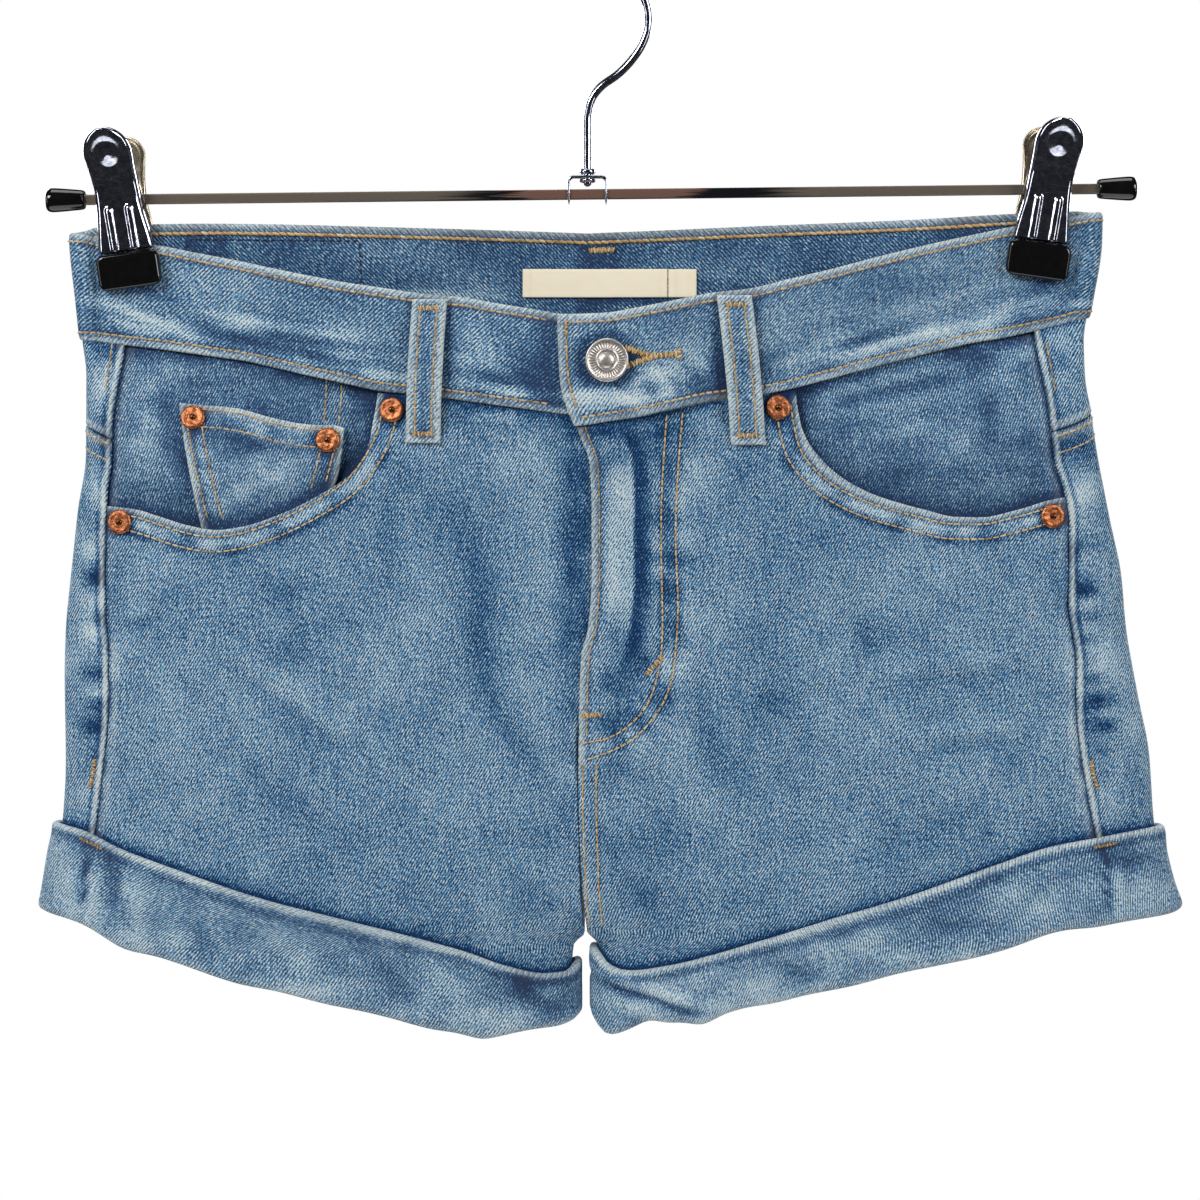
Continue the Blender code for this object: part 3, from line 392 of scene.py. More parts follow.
def seam_angle(side, drop):
    """Tube angle of the side seam."""
    return angle_at(side, side_seam(side, drop), drop)


# ---------------------------------------------------------------- noise and relief

def clouds(x, y, cell, seed):
    """Smooth noise from -1 to 1, with about one bump to a cell."""
    wide, tall = cell if isinstance(cell, tuple) else (cell, cell)
    x, y = np.broadcast_arrays(np.asarray(x, float) / wide, np.asarray(y, float) / tall)
    i, j = np.floor(x).astype(np.int64), np.floor(y).astype(np.int64)

    def corner(i, j):
        n = (i * 374761393 + j * 668265263 + seed * 974634777) & 0xFFFFFFFF
        n = ((n ^ (n >> 13)) * 1274126177) & 0xFFFFFFFF
        return ((n ^ (n >> 16)) & 0xFFFF) / 32767.5 - 1

    fx, fy = x - i, y - j
    fx, fy = fx * fx * (3 - 2 * fx), fy * fy * (3 - 2 * fy)
    near = corner(i, j) * (1 - fx) + corner(i + 1, j) * fx
    far = corner(i, j + 1) * (1 - fx) + corner(i + 1, j + 1) * fx
    return near * (1 - fy) + far * fy


def bell(away, width):
    """1 at no distance, dying away over a width."""
    return np.exp(-(away / width) ** 2)


def rounded_path(points, times=2):
    """A line of points with its corners cut, its ends kept."""
    points = np.array(points, float)
    for _ in range(times):
        near, far = points[:-1] * 0.75 + points[1:] * 0.25, points[:-1] * 0.25 + points[1:] * 0.75
        inner = np.stack([near, far], axis=1).reshape(-1, points.shape[1])
        points = np.concatenate([points[:1], inner, points[-1:]])
    return points


def near_path(points, x, y):
    """Distance to a line of points, and the share of its length passed at the nearest place."""
    size = np.linalg.norm(np.diff(points, axis=0), axis=1)
    away, share, passed = np.full(np.shape(x), 1e9), np.zeros(np.shape(x)), 0.0
    for start, end, length in zip(points[:-1], points[1:], size):
        run = (end - start) / length
        ahead = np.clip((x - start[0]) * run[0] + (y - start[1]) * run[1], 0, length)
        gap = np.hypot(x - start[0] - ahead * run[0], y - start[1] - ahead * run[1])
        share = np.where(gap < away, (passed + ahead) / size.sum(), share)
        away = np.minimum(gap, away)
        passed += length
    return away, share


def creases(lines, x, drop):
    """Height and tone of soft ridges and troughs: (height, width, tone, signed points). Each crease's tone
    has the sign of its height, paler on ridges and darker in troughs: partly dye worn off or left in the
    cloth, partly painted shade.
    """
    height, tone = np.zeros(np.shape(x)), np.zeros(np.shape(x))
    for lift, width, shade, points in lines:
        away, share = near_path(rounded_path(points), x, drop)
        ends = np.sin(np.pi * np.clip(share, 0.03, 0.97)) ** 0.6
        height += lift * ends * (bell(away, width) - 0.35 * bell(away, 2.4 * width))
        tone += shade * ends * bell(away, width)
    return height, tone


def blotches(rows, x, drop):
    """Tone of soft patches: (signed x, drop, half width, half height, tone)."""
    tone = np.zeros(np.shape(x))
    for at_x, at_drop, wide, tall, shade in rows:
        ragged = 1 + 0.5 * clouds(x, drop, 5.0, 71)
        tone += shade * np.exp(-((x - at_x) / wide) ** 2 - ((drop - at_drop) / tall) ** 2) * ragged
    return tone


def pucker(along, across, cell, reach, seed):
    """Small bumps drawn up by a seam: -1 to 1 at the seam, dying away from it."""
    return clouds(along, across, cell, seed) * np.exp(-np.abs(across) / reach)


# Soft ridges and troughs on the fronts: (height, width, tone, signed points)
FRONT_CREASES = [
    (-1.5, 5, -0.26, [(-60.4, 188.7), (-47.8, 203.2), (-37.5, 222), (-39.5, 246.5), (-35.9, 268.2),
                      (-18.9, 295.3), (-6, 313)]),
    (0.9, 6, 0.10, [(-30, 200), (-22, 225), (-26, 255), (-14, 283)]),
    (1, 4.5, 0.16, [(-134.5, 246.4), (-115, 263), (-96.6, 277.1), (-82, 281.5)]),
    (-1, 3.5, -0.20, [(-131, 254), (-109, 271.5), (-95, 284), (-80, 288.5)]),
    (0.6, 2.2, 0.10, [(-168.9, 239.4), (-158, 236)]), (-0.5, 2, -0.12, [(-169.5, 243.5), (-156, 239.5)]),
    (-0.8, 2.6, -0.16, [(-49.6, 163.4), (-38.8, 174.2), (-33, 180)]),
    (0.5, 2.6, 0.12, [(-46, 160), (-35.5, 170)]), (-0.9, 4, -0.14, [(-66, 178), (-72, 205), (-69, 232)]),
    (0.5, 7, 0.06, [(-160, 275), (-140, 300), (-118, 322)]),
    (-0.7, 6, -0.10, [(-128, 290), (-104, 312), (-84, 330)]),
    (0.6, 5, 0.08, [(-60, 300), (-40, 322), (-16, 336)]),
    (-0.8, 4, -0.12, [(-44, 318), (-26, 334), (-10, 345)]),
    (-1.3, 4.5, -0.20, [(26.3, 250), (17, 262), (9.5, 284), (7, 300)]),
    (-1, 4, -0.20, [(37.2, 258.6), (42, 275), (49.2, 293.9)]),
    (0.7, 5, 0.10, [(30, 280), (36, 300), (50, 318)]),
    (-0.8, 3.2, -0.10, [(121, 288.8), (138, 286), (158.8, 285.2)]),
    (0.8, 3.6, 0.09, [(119, 282.8), (138, 280), (162.8, 279)]),
    (-0.7, 4, -0.10, [(103.8, 266), (130, 262.5), (165.7, 260)]),
    (0.6, 4, 0.08, [(103.8, 258), (130, 255.5), (163.7, 252)]),
    (-0.9, 6, -0.09, [(60, 236), (68, 262), (84, 292)]), (0.7, 8, 0.07, [(78, 215), (94, 250), (112, 300)]),
    (-0.7, 5, -0.10, [(92, 330), (120, 318), (150, 306)]),
    (0.5, 4.5, 0.08, [(14, 330), (40, 336), (70, 332)]), (-0.8, 3, -0.18, [(3, 312), (14, 334), (30, 352)]),
]
# Darker and paler patches: (signed x, drop, half width, half height, tone). The dark one just under the band
# at x -9 and the narrow dark one beside the fly's edge at x -5 are painted shadow.
FRONT_BLOTCHES = [
    (-109.2, 228.5, 9, 5, -0.20), (-105.6, 246.5, 5, 9, -0.16), (-150, 262, 14, 10, 0.08),
    (-60, 240, 12, 26, 0.10), (-160, 220, 10, 8, 0.07), (-80, 250, 14, 12, 0.08), (-22, 180, 12, 14, 0.12),
    (-14, 215, 8, 30, 0.14), (-5, 205, 3, 44, -0.16), (-9, 172, 8, 5, -0.22), (-8, 262, 4, 20, -0.20),
    (-128, 345, 30, 12, -0.06), (66.1, 268.2, 9, 6, -0.13), (102.2, 246.5, 9, 6, -0.12),
    (40, 185, 9, 12, 0.10), (48, 225, 10, 30, 0.06), (120, 225, 24, 10, 0.06), (60, 178, 7, 8, -0.10),
    (160, 240, 12, 16, 0.08), (154, 300, 20, 10, 0.05), (76, 320, 24, 12, 0.06), (24, 320, 10, 16, -0.08),
    (140, 320, 18, 7, -0.08),
]
# On the fly's placket: (distance past its folded edge, drop, half width, half height, tone). The wide dark
# one at drop 171, along the band's low edge, is painted shadow under the band.
FLY_BLOTCHES = [
    (8, 183, 8, 5, -0.20), (28, 183.3, 3, 7, -0.22), (25.5, 203.2, 3, 9, -0.22),
    (28.5, 232, 3.2, 10, -0.22), (22, 253, 7, 7, -0.30), (10, 262, 6, 5, -0.20), (24, 245, 3, 6, 0.14),
    (24, 215, 2.5, 9, 0.18), (14, 276, 8, 4, -0.16), (31.5, 265, 5, 5, -0.20), (2, 171, 16, 2.8, -0.30),
    (30, 195, 2.2, 6, 0.14), (5, 250, 4, 14, 0.12),
]
# The fly's two rows of stitches
J_OUTER = [(34.3, 164), (32.5, 186), (31.8, 207), (32.1, 218), (33, 234), (32.1, 251), (30, 265), (23.8, 276),
           (14, 285), (-0.4, 290)]
J_INNER = [(28.5, 165), (26.7, 192), (26.7, 218), (27.2, 234), (27.2, 251), (23.8, 267), (18.4, 275),
           (9.5, 282), (-2.3, 284)]
# On the backs, the same in kind as on the fronts
BACK_CREASES = [
    (-1.3, 5.5, -0.16, [(-12, 262), (-34, 300), (-62, 336)]),
    (0.9, 6, 0.10, [(-8, 290), (-26, 322), (-44, 345)]),
    (-1.2, 5, -0.16, [(14, 268), (32, 298), (68, 330)]),
    (0.8, 5.5, 0.10, [(10, 296), (28, 326), (52, 342)]),
    (-0.8, 4, -0.12, [(-168, 300), (-140, 318), (-100, 338)]),
    (0.7, 4.5, 0.08, [(-176, 280), (-160, 296), (-150, 310)]),
    (-0.9, 4, -0.12, [(186, 270), (172, 286), (160, 305)]),
    (0.7, 5, 0.08, [(190, 300), (168, 316), (120, 332)]),
    (-0.8, 5, -0.12, [(-176, 196), (-168, 225), (-172, 255)]),
    (-0.8, 5, -0.12, [(176, 200), (168, 228), (174, 250)]),
    (-0.6, 3, -0.10, [(-26, 206), (-20, 235), (-24, 262)]),
    (0.6, 4, 0.08, [(20, 210), (24, 240), (18, 270)]),
]
BACK_BLOTCHES = [
    (-90, 250, 40, 40, 0.16), (92, 250, 40, 40, 0.16), (-90, 350, 50, 12, -0.08), (90, 348, 50, 12, -0.08),
    (-18, 240, 9, 30, -0.10), (17, 236, 9, 30, -0.10),
]
# On the strips of the backs that show on the front, beside the side seams
STRIP_BLOTCHES = [
    (169.5, 146, 6, 5, -0.24), (174, 160, 7, 6, -0.10), (177.5, 177, 7, 6.5, -0.24),
    (182, 195, 6, 7.5, 0.20), (182, 212.5, 6.5, 3.2, -0.16), (180, 221.5, 4, 2.6, 0.14),
    (181.6, 229.6, 5, 2.6, -0.30), (182.8, 234.3, 3.6, 1.9, 0.17), (182.6, 239, 4.6, 2.4, -0.26),
    (186.5, 251, 4.5, 8, 0.22), (184, 247.4, 3.8, 2.2, -0.26), (185.4, 254.4, 3.2, 2, -0.16),
    (185, 261.6, 4, 2.3, -0.24), (187.6, 270, 5.2, 2.5, -0.30), (189, 279.2, 5.4, 2.6, -0.30),
    (189.5, 274.8, 4, 1.8, 0.14), (188, 288, 4, 2.2, -0.16), (-174.5, 142.5, 6, 4, -0.24),
    (-177, 154, 3.5, 5, 0.14), (-174.6, 176, 4, 10, -0.18), (-178, 193, 3, 5.5, 0.25),
    (-178.5, 203.5, 4, 4, -0.14), (-180, 214.3, 4.5, 2.8, 0.22), (-178.2, 225, 4, 2.8, -0.30),
    (-180.5, 233, 5, 3.2, 0.20), (-181.5, 245.5, 5, 4, 0.20), (-178.6, 240, 3.6, 2, -0.24),
    (-181.5, 259.6, 6, 2.6, -0.26), (-180, 267.2, 4.5, 2, 0.20), (-180.5, 279, 5.5, 3.2, -0.28),
    (-179, 271.5, 3.4, 1.8, -0.18), (-179.6, 290, 4, 2.4, -0.16),
]
# (signed x, drop, what the rivet stands on)
RIVETS = [
    (-143.7, 166.0, "coin"), (-94.0, 174.2, "coin"), (-70.3, 163.4, "front"),
    (-170.2, 204.3, "front"), (68.7, 162.6, "front"), (169.2, 202.1, "front"),
]


def from_rivets(x, drop):
    return [np.hypot(x - at_x, drop - at_drop) for at_x, at_drop, _ in RIVETS]


def away_from_rivets(x, drop):
    """1 away from the rivets, 0 under them."""
    return np.minimum.reduce([fade(away, (6.0, 12.0)) for away in from_rivets(x, drop)])


def rivet_contact_shadow(x, drop):
    """The dark ring round each rivet, painted contact shadow where it meets the cloth."""
    return sum(-0.42 * bell(away - 4.6, 1.7) for away in from_rivets(x, drop))


def mouth_distance(side, x, drop):
    """Distance from the pocket mouth's edge, and how far along it."""
    at = np.concatenate([np.linspace(75.5, 80, 7)[:-1], np.linspace(80, 178, 28)])
    path = np.stack([at, mouth_drop(side, at)], axis=1)
    away, share = near_path(path, x, drop)
    return away, share * ROW_LENGTH


def cuff_shade(above):
    """The shade on a leg just above its cuff."""
    above = np.maximum(above, 0)
    return 0.60 * bell(above, 1.3) + 0.22 * bell(above, 4.0)


def front_relief(side, x, drop):
    """Height, tone and wear of a front panel at a distance out from the centre."""
    signed = side * x
    height, tone = creases(FRONT_CREASES, signed, drop)
    # The dark rings round the rivets are painted contact shadow.
    tone = 0.85 * tone + 0.95 * blotches(FRONT_BLOTCHES, signed, drop) + rivet_contact_shadow(signed, drop)
    height += 0.55 * clouds(signed, drop, 42.0, 3) + 0.16 * clouds(signed, drop, 17.0, 4)
    tone += 0.05 * clouds(signed, drop, 30.0, 5) + 0.06 * clouds(signed, drop, 11.0, 6)

    band = drop - band_low(side, x)
    under_band = np.where(x < 78, band, FAR)
    height += 0.45 * pucker(signed, under_band, (7.0, 9.0), 6.0, 8)
    band_tone = 0.38 * pucker(signed, under_band, (7.0, 4.0), 7.0, 9)
    # The dark band just under the waistband's low edge is painted shadow.
    tone += band_tone - 0.44 * bell(under_band, 2.2) - 0.12 * bell(under_band, 7.0)

    mouth, along = mouth_distance(side, x, drop)
    near_mouth = 1 - fade(mouth, (8.6, 10.6))
    height += 0.55 * near_mouth - 0.28 * bell(mouth - 2.6, 0.8) - 0.28 * bell(mouth - 8.0, 0.8)
    height += 0.30 * clouds(along + 0.4 * mouth, mouth, (6.0, 12.0), 10) * near_mouth
    mottled = 0.42 * clouds(along + 0.5 * mouth, mouth, (6.0, 5.0), 11) - 0.02
    tone += near_mouth * mottled * fade(mouth, (1, 3.5))
    # The dark lines at the two rows of stitches, and just past the second row where the raised welt ends, are
    # painted shade.
    tone -= 0.16 * bell(mouth - 9.4, 0.9) + 0.34 * bell(mouth - 2.6, 0.9) + 0.32 * bell(mouth - 8.0, 0.8)
    worn = 0.9 * bell(mouth, 1.5)

    seam = side_seam(side, drop) - x
    height += 0.40 * pucker(drop, seam, (6.5, 8.0), 4.5, 12)
    tone += 0.34 * pucker(drop, seam, (7.0, 5.0), 5.0, 13) - 0.34 * bell(seam - 0.2, 1.1)
    worn = np.maximum(worn, 0.55 * bell(seam - 2.0, 1.3) * (0.5 + 0.5 * clouds(drop, 0 * drop, 9.0, 14)))

    cuff = cuff_top(side, x) - drop
    tone -= cuff_shade(cuff)
    height *= fade(cuff, (2.0, 16.0))

    past = x - front_seam(drop)
    if side == RIGHT:
        below_fly = fade(drop, (286.0, 300.0))
        on_fly = 1 - below_fly
        height *= 1 - 0.75 * on_fly * (1 - fade(past, (2.0, 12.0)))
        # The pale strip on the raised placket is partly worn cloth, partly painted light.
        pale = within(past, (2.0, 9.0), (15.0, 16.2)) * fade(drop, (176, 186)) * (1 - fade(drop, (232, 246)))
        mottled = pale * (0.36 + 0.16 * clouds(past, drop, (6.0, 15.0), 18))
        tone += (mottled + 1.5 * blotches(FLY_BLOTCHES, past, drop)) * on_fly
        # The dark gully past the placket is painted shade on the side where the raised placket falls away.
        gully = within(past, (15.6, 16.4), (18.0, 23.5)) * fade(drop, (168, 174))
        gully = gully * (1 - fade(drop, (244, 258)))
        tone -= 0.56 * gully * (1 + 0.3 * clouds(past, drop, (5.0, 9.0), 19)) * on_fly
        worn = np.maximum(worn, bell(past, 2.0) * on_fly)
        # A painted shade line in the groove of the row of stitches 3 mm from the fold.
        tone -= 0.22 * bell(past - 3.2, 1.0) * on_fly
        height += on_fly * (-0.22 * bell(past - 3.2, 0.8) - 0.7 * bell(past - 18.5, 3.2))
        height += 0.25 * on_fly * clouds(past, drop, (9.0, 12.0), 15) * fade(past, (1, 4))
        # Along each J row, a painted shade line in its groove.
        for path in (J_OUTER, J_INNER):
            row, along_row = near_path(rounded_path(path), signed, drop)
            tone += 0.34 * pucker(ROW_LENGTH * along_row, row, (4.5, 8.0), 5.0, 20) - 0.32 * bell(row, 0.9)
        double = below_fly * fade(past, (0.5, 2.0)) * (1 - fade(past, (6.5, 8.0)))
        tone += below_fly * 0.20 * bell(past - 1.6, 1.4) + double * 0.12 * clouds(past, drop, (9, 7.0), 16)
        height += 0.35 * double
    else:
        # Along the centre seam, under the lapped right front, the darker edge is partly less faded cloth,
        # partly painted shadow; the wider band 5 mm out is painted shadow of the lapped fly.
        tone -= 0.24 * bell(past, 1.6) + 0.34 * bell(past, 1.3) * fade(drop, (270, 300))
        shade = within(drop, (172, 186), (238, 262))
        tone -= 0.22 * bell(past - 5.0, 5.0) * shade
        height *= fade(past, (0.0, 16.0))
        tone += 0.26 * pucker(drop, past, (7.0, 6.0), 7.0, 17)
    height *= away_from_rivets(signed, drop)
    return height, tone, worn


def front_level(side, x, drop):
    """Level of a front panel's middle surface."""
    ridge = fly_ridge(x, drop) if side == RIGHT else 0.0
    return ridge + front_relief(side, x, drop)[0]


def strip_relief(side, angle, drop):
    """Height, tone and wear of a back panel, given round the fold to the back."""
    x = x_at(side, angle, drop)
    signed = side * x
    front = 1 - fade(angle, (84.0, 96.0))
    height, tone = creases(BACK_CREASES, signed, drop)
    height, tone = height * (1 - front), tone * (1 - front)
    tone += blotches(BACK_BLOTCHES, signed, drop) * (1 - front)
    tone += 1.6 * blotches(STRIP_BLOTCHES, signed, drop) * (1 - fade(angle, (100.0, 125.0)))
    round_it = np.where(angle < 90, x, 2 * smooth(OUTLINE, side_name(side), drop) - x)
    waves = 0.5 * clouds(round_it, drop, 38.0, 21) + 0.18 * clouds(round_it, drop, 15.0, 22)
    height += waves * (1 - 0.6 * front)
    tone += 0.06 * clouds(round_it, drop, 24.0, 23) + 0.07 * clouds(round_it, drop, 10.0, 24) + 0.08 * front
    seam = np.where(angle < 100, x - side_seam(side, drop), FAR)
    height += 0.45 * pucker(drop, seam, (7.0, 9.0), 6.0, 25)
    tone += 0.50 * pucker(drop, seam, (8.0, 7.0), 8.0, 26) - 0.40 * bell(seam, 0.9)
    ridge = bell(seam - 1.3, 0.8) * (angle < 89)
    height += 0.34 * ridge
    worn = 1.25 * ridge * (0.8 + 0.3 * clouds(drop, 0 * drop, 8.0, 27))
    tone -= 0.40 * bell(seam - 3.1, 0.8) * (angle < 89)
    yoke = drop - yoke_seam(side, angle)
    centre = np.where(angle > 120, x - back_seam(drop), FAR)
    for away, seed in ((np.abs(yoke), 28), (np.abs(centre), 30)):
        height += 0.40 * pucker(signed + drop, away, (7.0, 9.0), 6.0, seed)
        tone += 0.22 * pucker(signed + drop, away, (7.0, 6.0), 6.0, seed + 1) - 0.26 * bell(away, 1.3)
        worn = np.maximum(worn, 0.8 * bell(away - 2.0, 1.2))
    cuff = cuff_edge(side, angle, "top") - drop
    tone -= cuff_shade(cuff)
    height *= fade(cuff, (2.0, 16.0)) * fade(yoke + 200 * (yoke < 0), (0.0, 3.0)) * fade(seam, (0.0, 3.0))
    pocket = (angle > 90) * (x > 27) * (x < 158) * (drop > 196) * (drop < 340)
    return height * np.where(pocket, 0.5, 1.0), tone, worn


# On the front of the band, as on the panels: (height, width, tone, signed points)
BAND_CREASES = [
    (0.5, 1.9, 0.34, [(-141, 128.5), (-118, 132.5), (-96, 136.5), (-79, 138)]),
    (-0.4, 1.6, -0.26, [(-134, 134.6), (-112, 137.2), (-87, 141)]),
    (0.4, 1.4, 0.26, [(-114, BAND_DROP), (-96, 143.4), (-80, 144.4)]),
    (-0.3, 4, -0.12, [(-127, 117), (-100, 121.5), (-72, 127)]),
    (0.5, 1.7, 0.34, [(-182, 122.6), (-172, 128), (-157, 132.7)]),
    (0.4, 1.4, 0.26, [(-181, 128), (-174, 132), (-166, 135)]),
    (-0.4, 1.3, -0.26, [(-181, 125.6), (-172, 130.4), (-164, 132.9)]),
    (-0.4, 2.2, -0.16, [(-170, 118), (-156, 124), (-146, 127)]),
    (0.4, 1.5, 0.26, [(-50, 152.6), (-36, 156.2), (-18, 158.6)]),
    (-0.4, 1.8, -0.26, [(-44, 148), (-32, 153), (-24, 155)]),
    (0.3, 3, 0.12, [(-48, 134), (-38, BAND_DROP), (-32, 148)]),
    (0.5, 1.5, 0.34, [(3.6, 152.6), (10, 157), (18.7, 161)]),
    (0.5, 1.3, 0.30, [(24, 149.6), (29, 154), (32.5, 160)]),
    (-0.5, 1.6, -0.26, [(20, 151), (23, 156), (26, 160)]),
    (0.4, 1.7, 0.20, [(37, 141), (43, 146), (47, 153.5)]),
    (-0.4, 2, -0.22, [(34, 146), (40, 151), (44, 157)]),
    (0.4, 1.7, 0.26, [(77, 147), (104, 141.8), (132, 135.2), (162, 128)]),
    (-0.4, 1.6, -0.22, [(82, 143.2), (110, 137.8), (142, 130.4)]),
    (0.3, 2.5, 0.16, [(94, 131.4), (122, 126), (152, 119.2)]),
    (-0.3, 2, -0.14, [(70, 136), (88, 133), (108, 129)]),
    (-0.4, 1.8, -0.30, [(166, 119.6), (175, 116), (184, 112.6)]),
    (-0.4, 1.4, -0.22, [(160, 124.4), (170, 121), (178, 119.4)]),
    (0.5, 2.2, 0.28, [(150, 127), (166, 124), (181, 122.6)]),
]
# Patches on the front of the band; the small, very dark one at x 16.5 is painted shade in the buttonhole's
# opening beside the button.
BAND_BLOTCHES = [
    (-18, 142, 8, 17, -0.26), (-42, 140, 7, 12, 0.10), (-150, 117, 14, 6, 0.12),
    (16.5, 144.4, 2.6, 1.3, -0.9), (50, 137, 6, 9, -0.10), (176, 104, 5, 5, 0.12), (-186, 108, 5, 7, 0.12),
    (120, 118, 20, 5, -0.10),
]


def band_relief(side, angle, down, span):
    """Height, tone and wear of the waistband; down and span are in millimetres."""
    x = side * waist_x(angle)
    along = np.where(angle < 90, x, side * 2 * HALF_WAIST - x) + np.where(angle > 90, 31.0, 0.0)
    up = span - down
    drop = band_edge(side, angle, "top") + down
    height, tone = creases(BAND_CREASES, x, drop)
    height, tone = height * (angle < 90), 1.1 * (tone + blotches(BAND_BLOTCHES, x, drop)) * (angle < 90)
    height += -0.26 * bell(down - 3.0, 0.7) - 0.26 * bell(up - 3.0, 0.7)
    height += 0.34 * pucker(along + 0.5 * up, up, (8.0, 7.0), 7.0, 41)
    height += 0.20 * pucker(along, down, (9.0, 6.0), 5.0, 42) + 0.22 * clouds(along, down, (34.0, 14.0), 43)
    ridge = clouds(along, down, (26.0, 4.2), 44) * bell(up - 9.0, 7.0)
    height += 0.34 * ridge
    # The ridges are paler by the same noise that raises them: partly worn cloth, partly painted light.
    tone += 0.40 * ridge + 0.26 * clouds(along, down, (13.0, 4.0), 45) * bell(up - 9.0, 8.0)
    # The dark lines 3 mm from each edge, at the rows of stitches, are painted shade in their grooves.
    tone += 0.36 * pucker(along + 0.5 * up, up, (7.0, 5.0), 6.0, 46) - 0.36 * bell(up - 3.0, 0.9)
    tone += 0.13 * clouds(along, down, (18.0, 9.0), 47) - 0.36 * bell(down - 3.0, 0.9)
    patchy = 0.7 + 0.3 * clouds(along, 0 * along, 11.0, 48)
    worn = np.maximum(bell(down, 2.1), 0.85 * bell(up, 1.8) * patchy)
    from_fold = np.abs(90 - np.abs(angle))
    pinched = within(from_fold, (11.0, 17.0), (37.0, 44.0))
    return height * (1 - pinched) * fade(from_fold, (2.0, 6.0)), tone, worn


def band_lift(side, x):
    """How far the lapped end stands over the end under it."""
    return OVERLAP_LIFT * (1 - fade(x, OVERLAP_FLAT)) if side == RIGHT else 0.0 * x


# ---------------------------------------------------------------- materials

def tint(red, green, blue):
    """A colour read off in 0..255 screen values."""
    def line(value):
        value /= 255
        return value / 12.92 if value <= 0.04045 else ((value + 0.055) / 1.055) ** 2.4
    return (line(red), line(green), line(blue), 1.0)


class Shader:
    """A small writer of material nodes."""

    def __init__(self, name):
        self.material = bpy.data.materials.new(name)
        self.material.use_nodes = True
        self.tree = self.material.node_tree
        self.base = self.tree.nodes["Principled BSDF"]

    def node(self, kind, **settings):
        item = self.tree.nodes.new("ShaderNode" + kind)
        for key, value in settings.items():
            setattr(item, key, value)
        return item

    def feed(self, socket, value):
        if hasattr(value, "is_output"):
            self.tree.links.new(value, socket)
        else:
            socket.default_value = value

    def math(self, how, first, second=0.0, third=0.0):
        item = self.node("Math", operation=how)
        for socket, value in zip(item.inputs, (first, second, third)):
            self.feed(socket, value)
        return item.outputs[0]

    def times(self, first, second):
        return self.math("MULTIPLY", first, second)

    def sum(self, *terms):
        total = terms[0]
        for term in terms[1:]:
            total = self.math("ADD", total, term)
        return total

    def attribute(self, name):
        return self.node("Attribute", attribute_name=name).outputs["Fac"]

    def place(self, kind="uv"):
        """Coordinates in millimetres, on the cloth or in the object."""
        if kind == "uv":
            source = self.node("UVMap", uv_map="cloth").outputs[0]
        else:
            source = self.node("TexCoord").outputs["Object"]
        item = self.node("VectorMath", operation="SCALE")
        self.feed(item.inputs[0], source)
        item.inputs["Scale"].default_value = 1 / MM
        return item.outputs[0]

    def stretched(self, place, first, second, turn=0.0, third=1.0):
        """Coordinates turned in degrees, then divided by a size along each axis."""
        item = self.node("Mapping", vector_type="TEXTURE")
        self.feed(item.inputs["Vector"], place)
        item.inputs["Rotation"].default_value = (0, 0, math.radians(turn))
        item.inputs["Scale"].default_value = (first, second, third)
        return item.outputs[0]

    def evenly(self, place, size):
        return self.stretched(place, size, size, 0.0, size)

    def noise(self, place, detail=1.0, rough=0.5, gain=1.0):
        """Noise about zero, times a gain."""
        item = self.node("TexNoise")
        self.feed(item.inputs["Vector"], place)
        item.inputs["Scale"].default_value = 1.0
        item.inputs["Detail"].default_value = detail
        item.inputs["Roughness"].default_value = rough
        centred = self.math("SUBTRACT", item.outputs["Fac"], 0.5)
        return self.times(centred, gain)

    def waves(self, place, pitch, turn, wander, gain=1.0):
        """Lines at a pitch, turned in degrees, about zero."""
        item = self.node("VectorMath", operation="DOT_PRODUCT")
        self.feed(item.inputs[0], place)
        angle = math.radians(turn)
        across = math.cos(angle) * math.tau / pitch, math.sin(angle) * math.tau / pitch, 0
        item.inputs[1].default_value = across
        phase = self.math("ADD", item.outputs["Value"], wander)
        return self.times(self.math("SINE", phase), gain)

    def blend(self, share, first, second):
        item = self.node("Mix", data_type="RGBA", clamp_factor=True)
        self.feed(item.inputs["Factor"], share)
        colours = [socket for socket in item.inputs if socket.type == "RGBA"]
        for socket, value in zip(colours, (first, second)):
            self.feed(socket, value)
        return [socket for socket in item.outputs if socket.type == "RGBA"][0]

    def ramp(self, value, *stops):
        item = self.node("ValToRGB")
        self.feed(item.inputs[0], value)
        stripe = item.color_ramp
        while len(stripe.elements) < len(stops):
            stripe.elements.new(0.5)
        for element, (place, colour) in zip(stripe.elements, stops):
            element.position, element.color = place, colour
        return item.outputs["Color"]

    def bump(self, height, distance, strength=1.0):
        item = self.node("Bump")
        item.inputs["Strength"].default_value = strength
        item.inputs["Distance"].default_value = distance * MM
        self.feed(item.inputs["Height"], height)
        self.tree.links.new(item.outputs[0], self.base.inputs["Normal"])

    def finish(self, colour, roughness, **sockets):
        self.feed(self.base.inputs["Base Color"], colour)
        self.feed(self.base.inputs["Roughness"], roughness)
        for name, value in sockets.items():
            self.base.inputs[name.replace("_", " ")].default_value = value
        return self.material


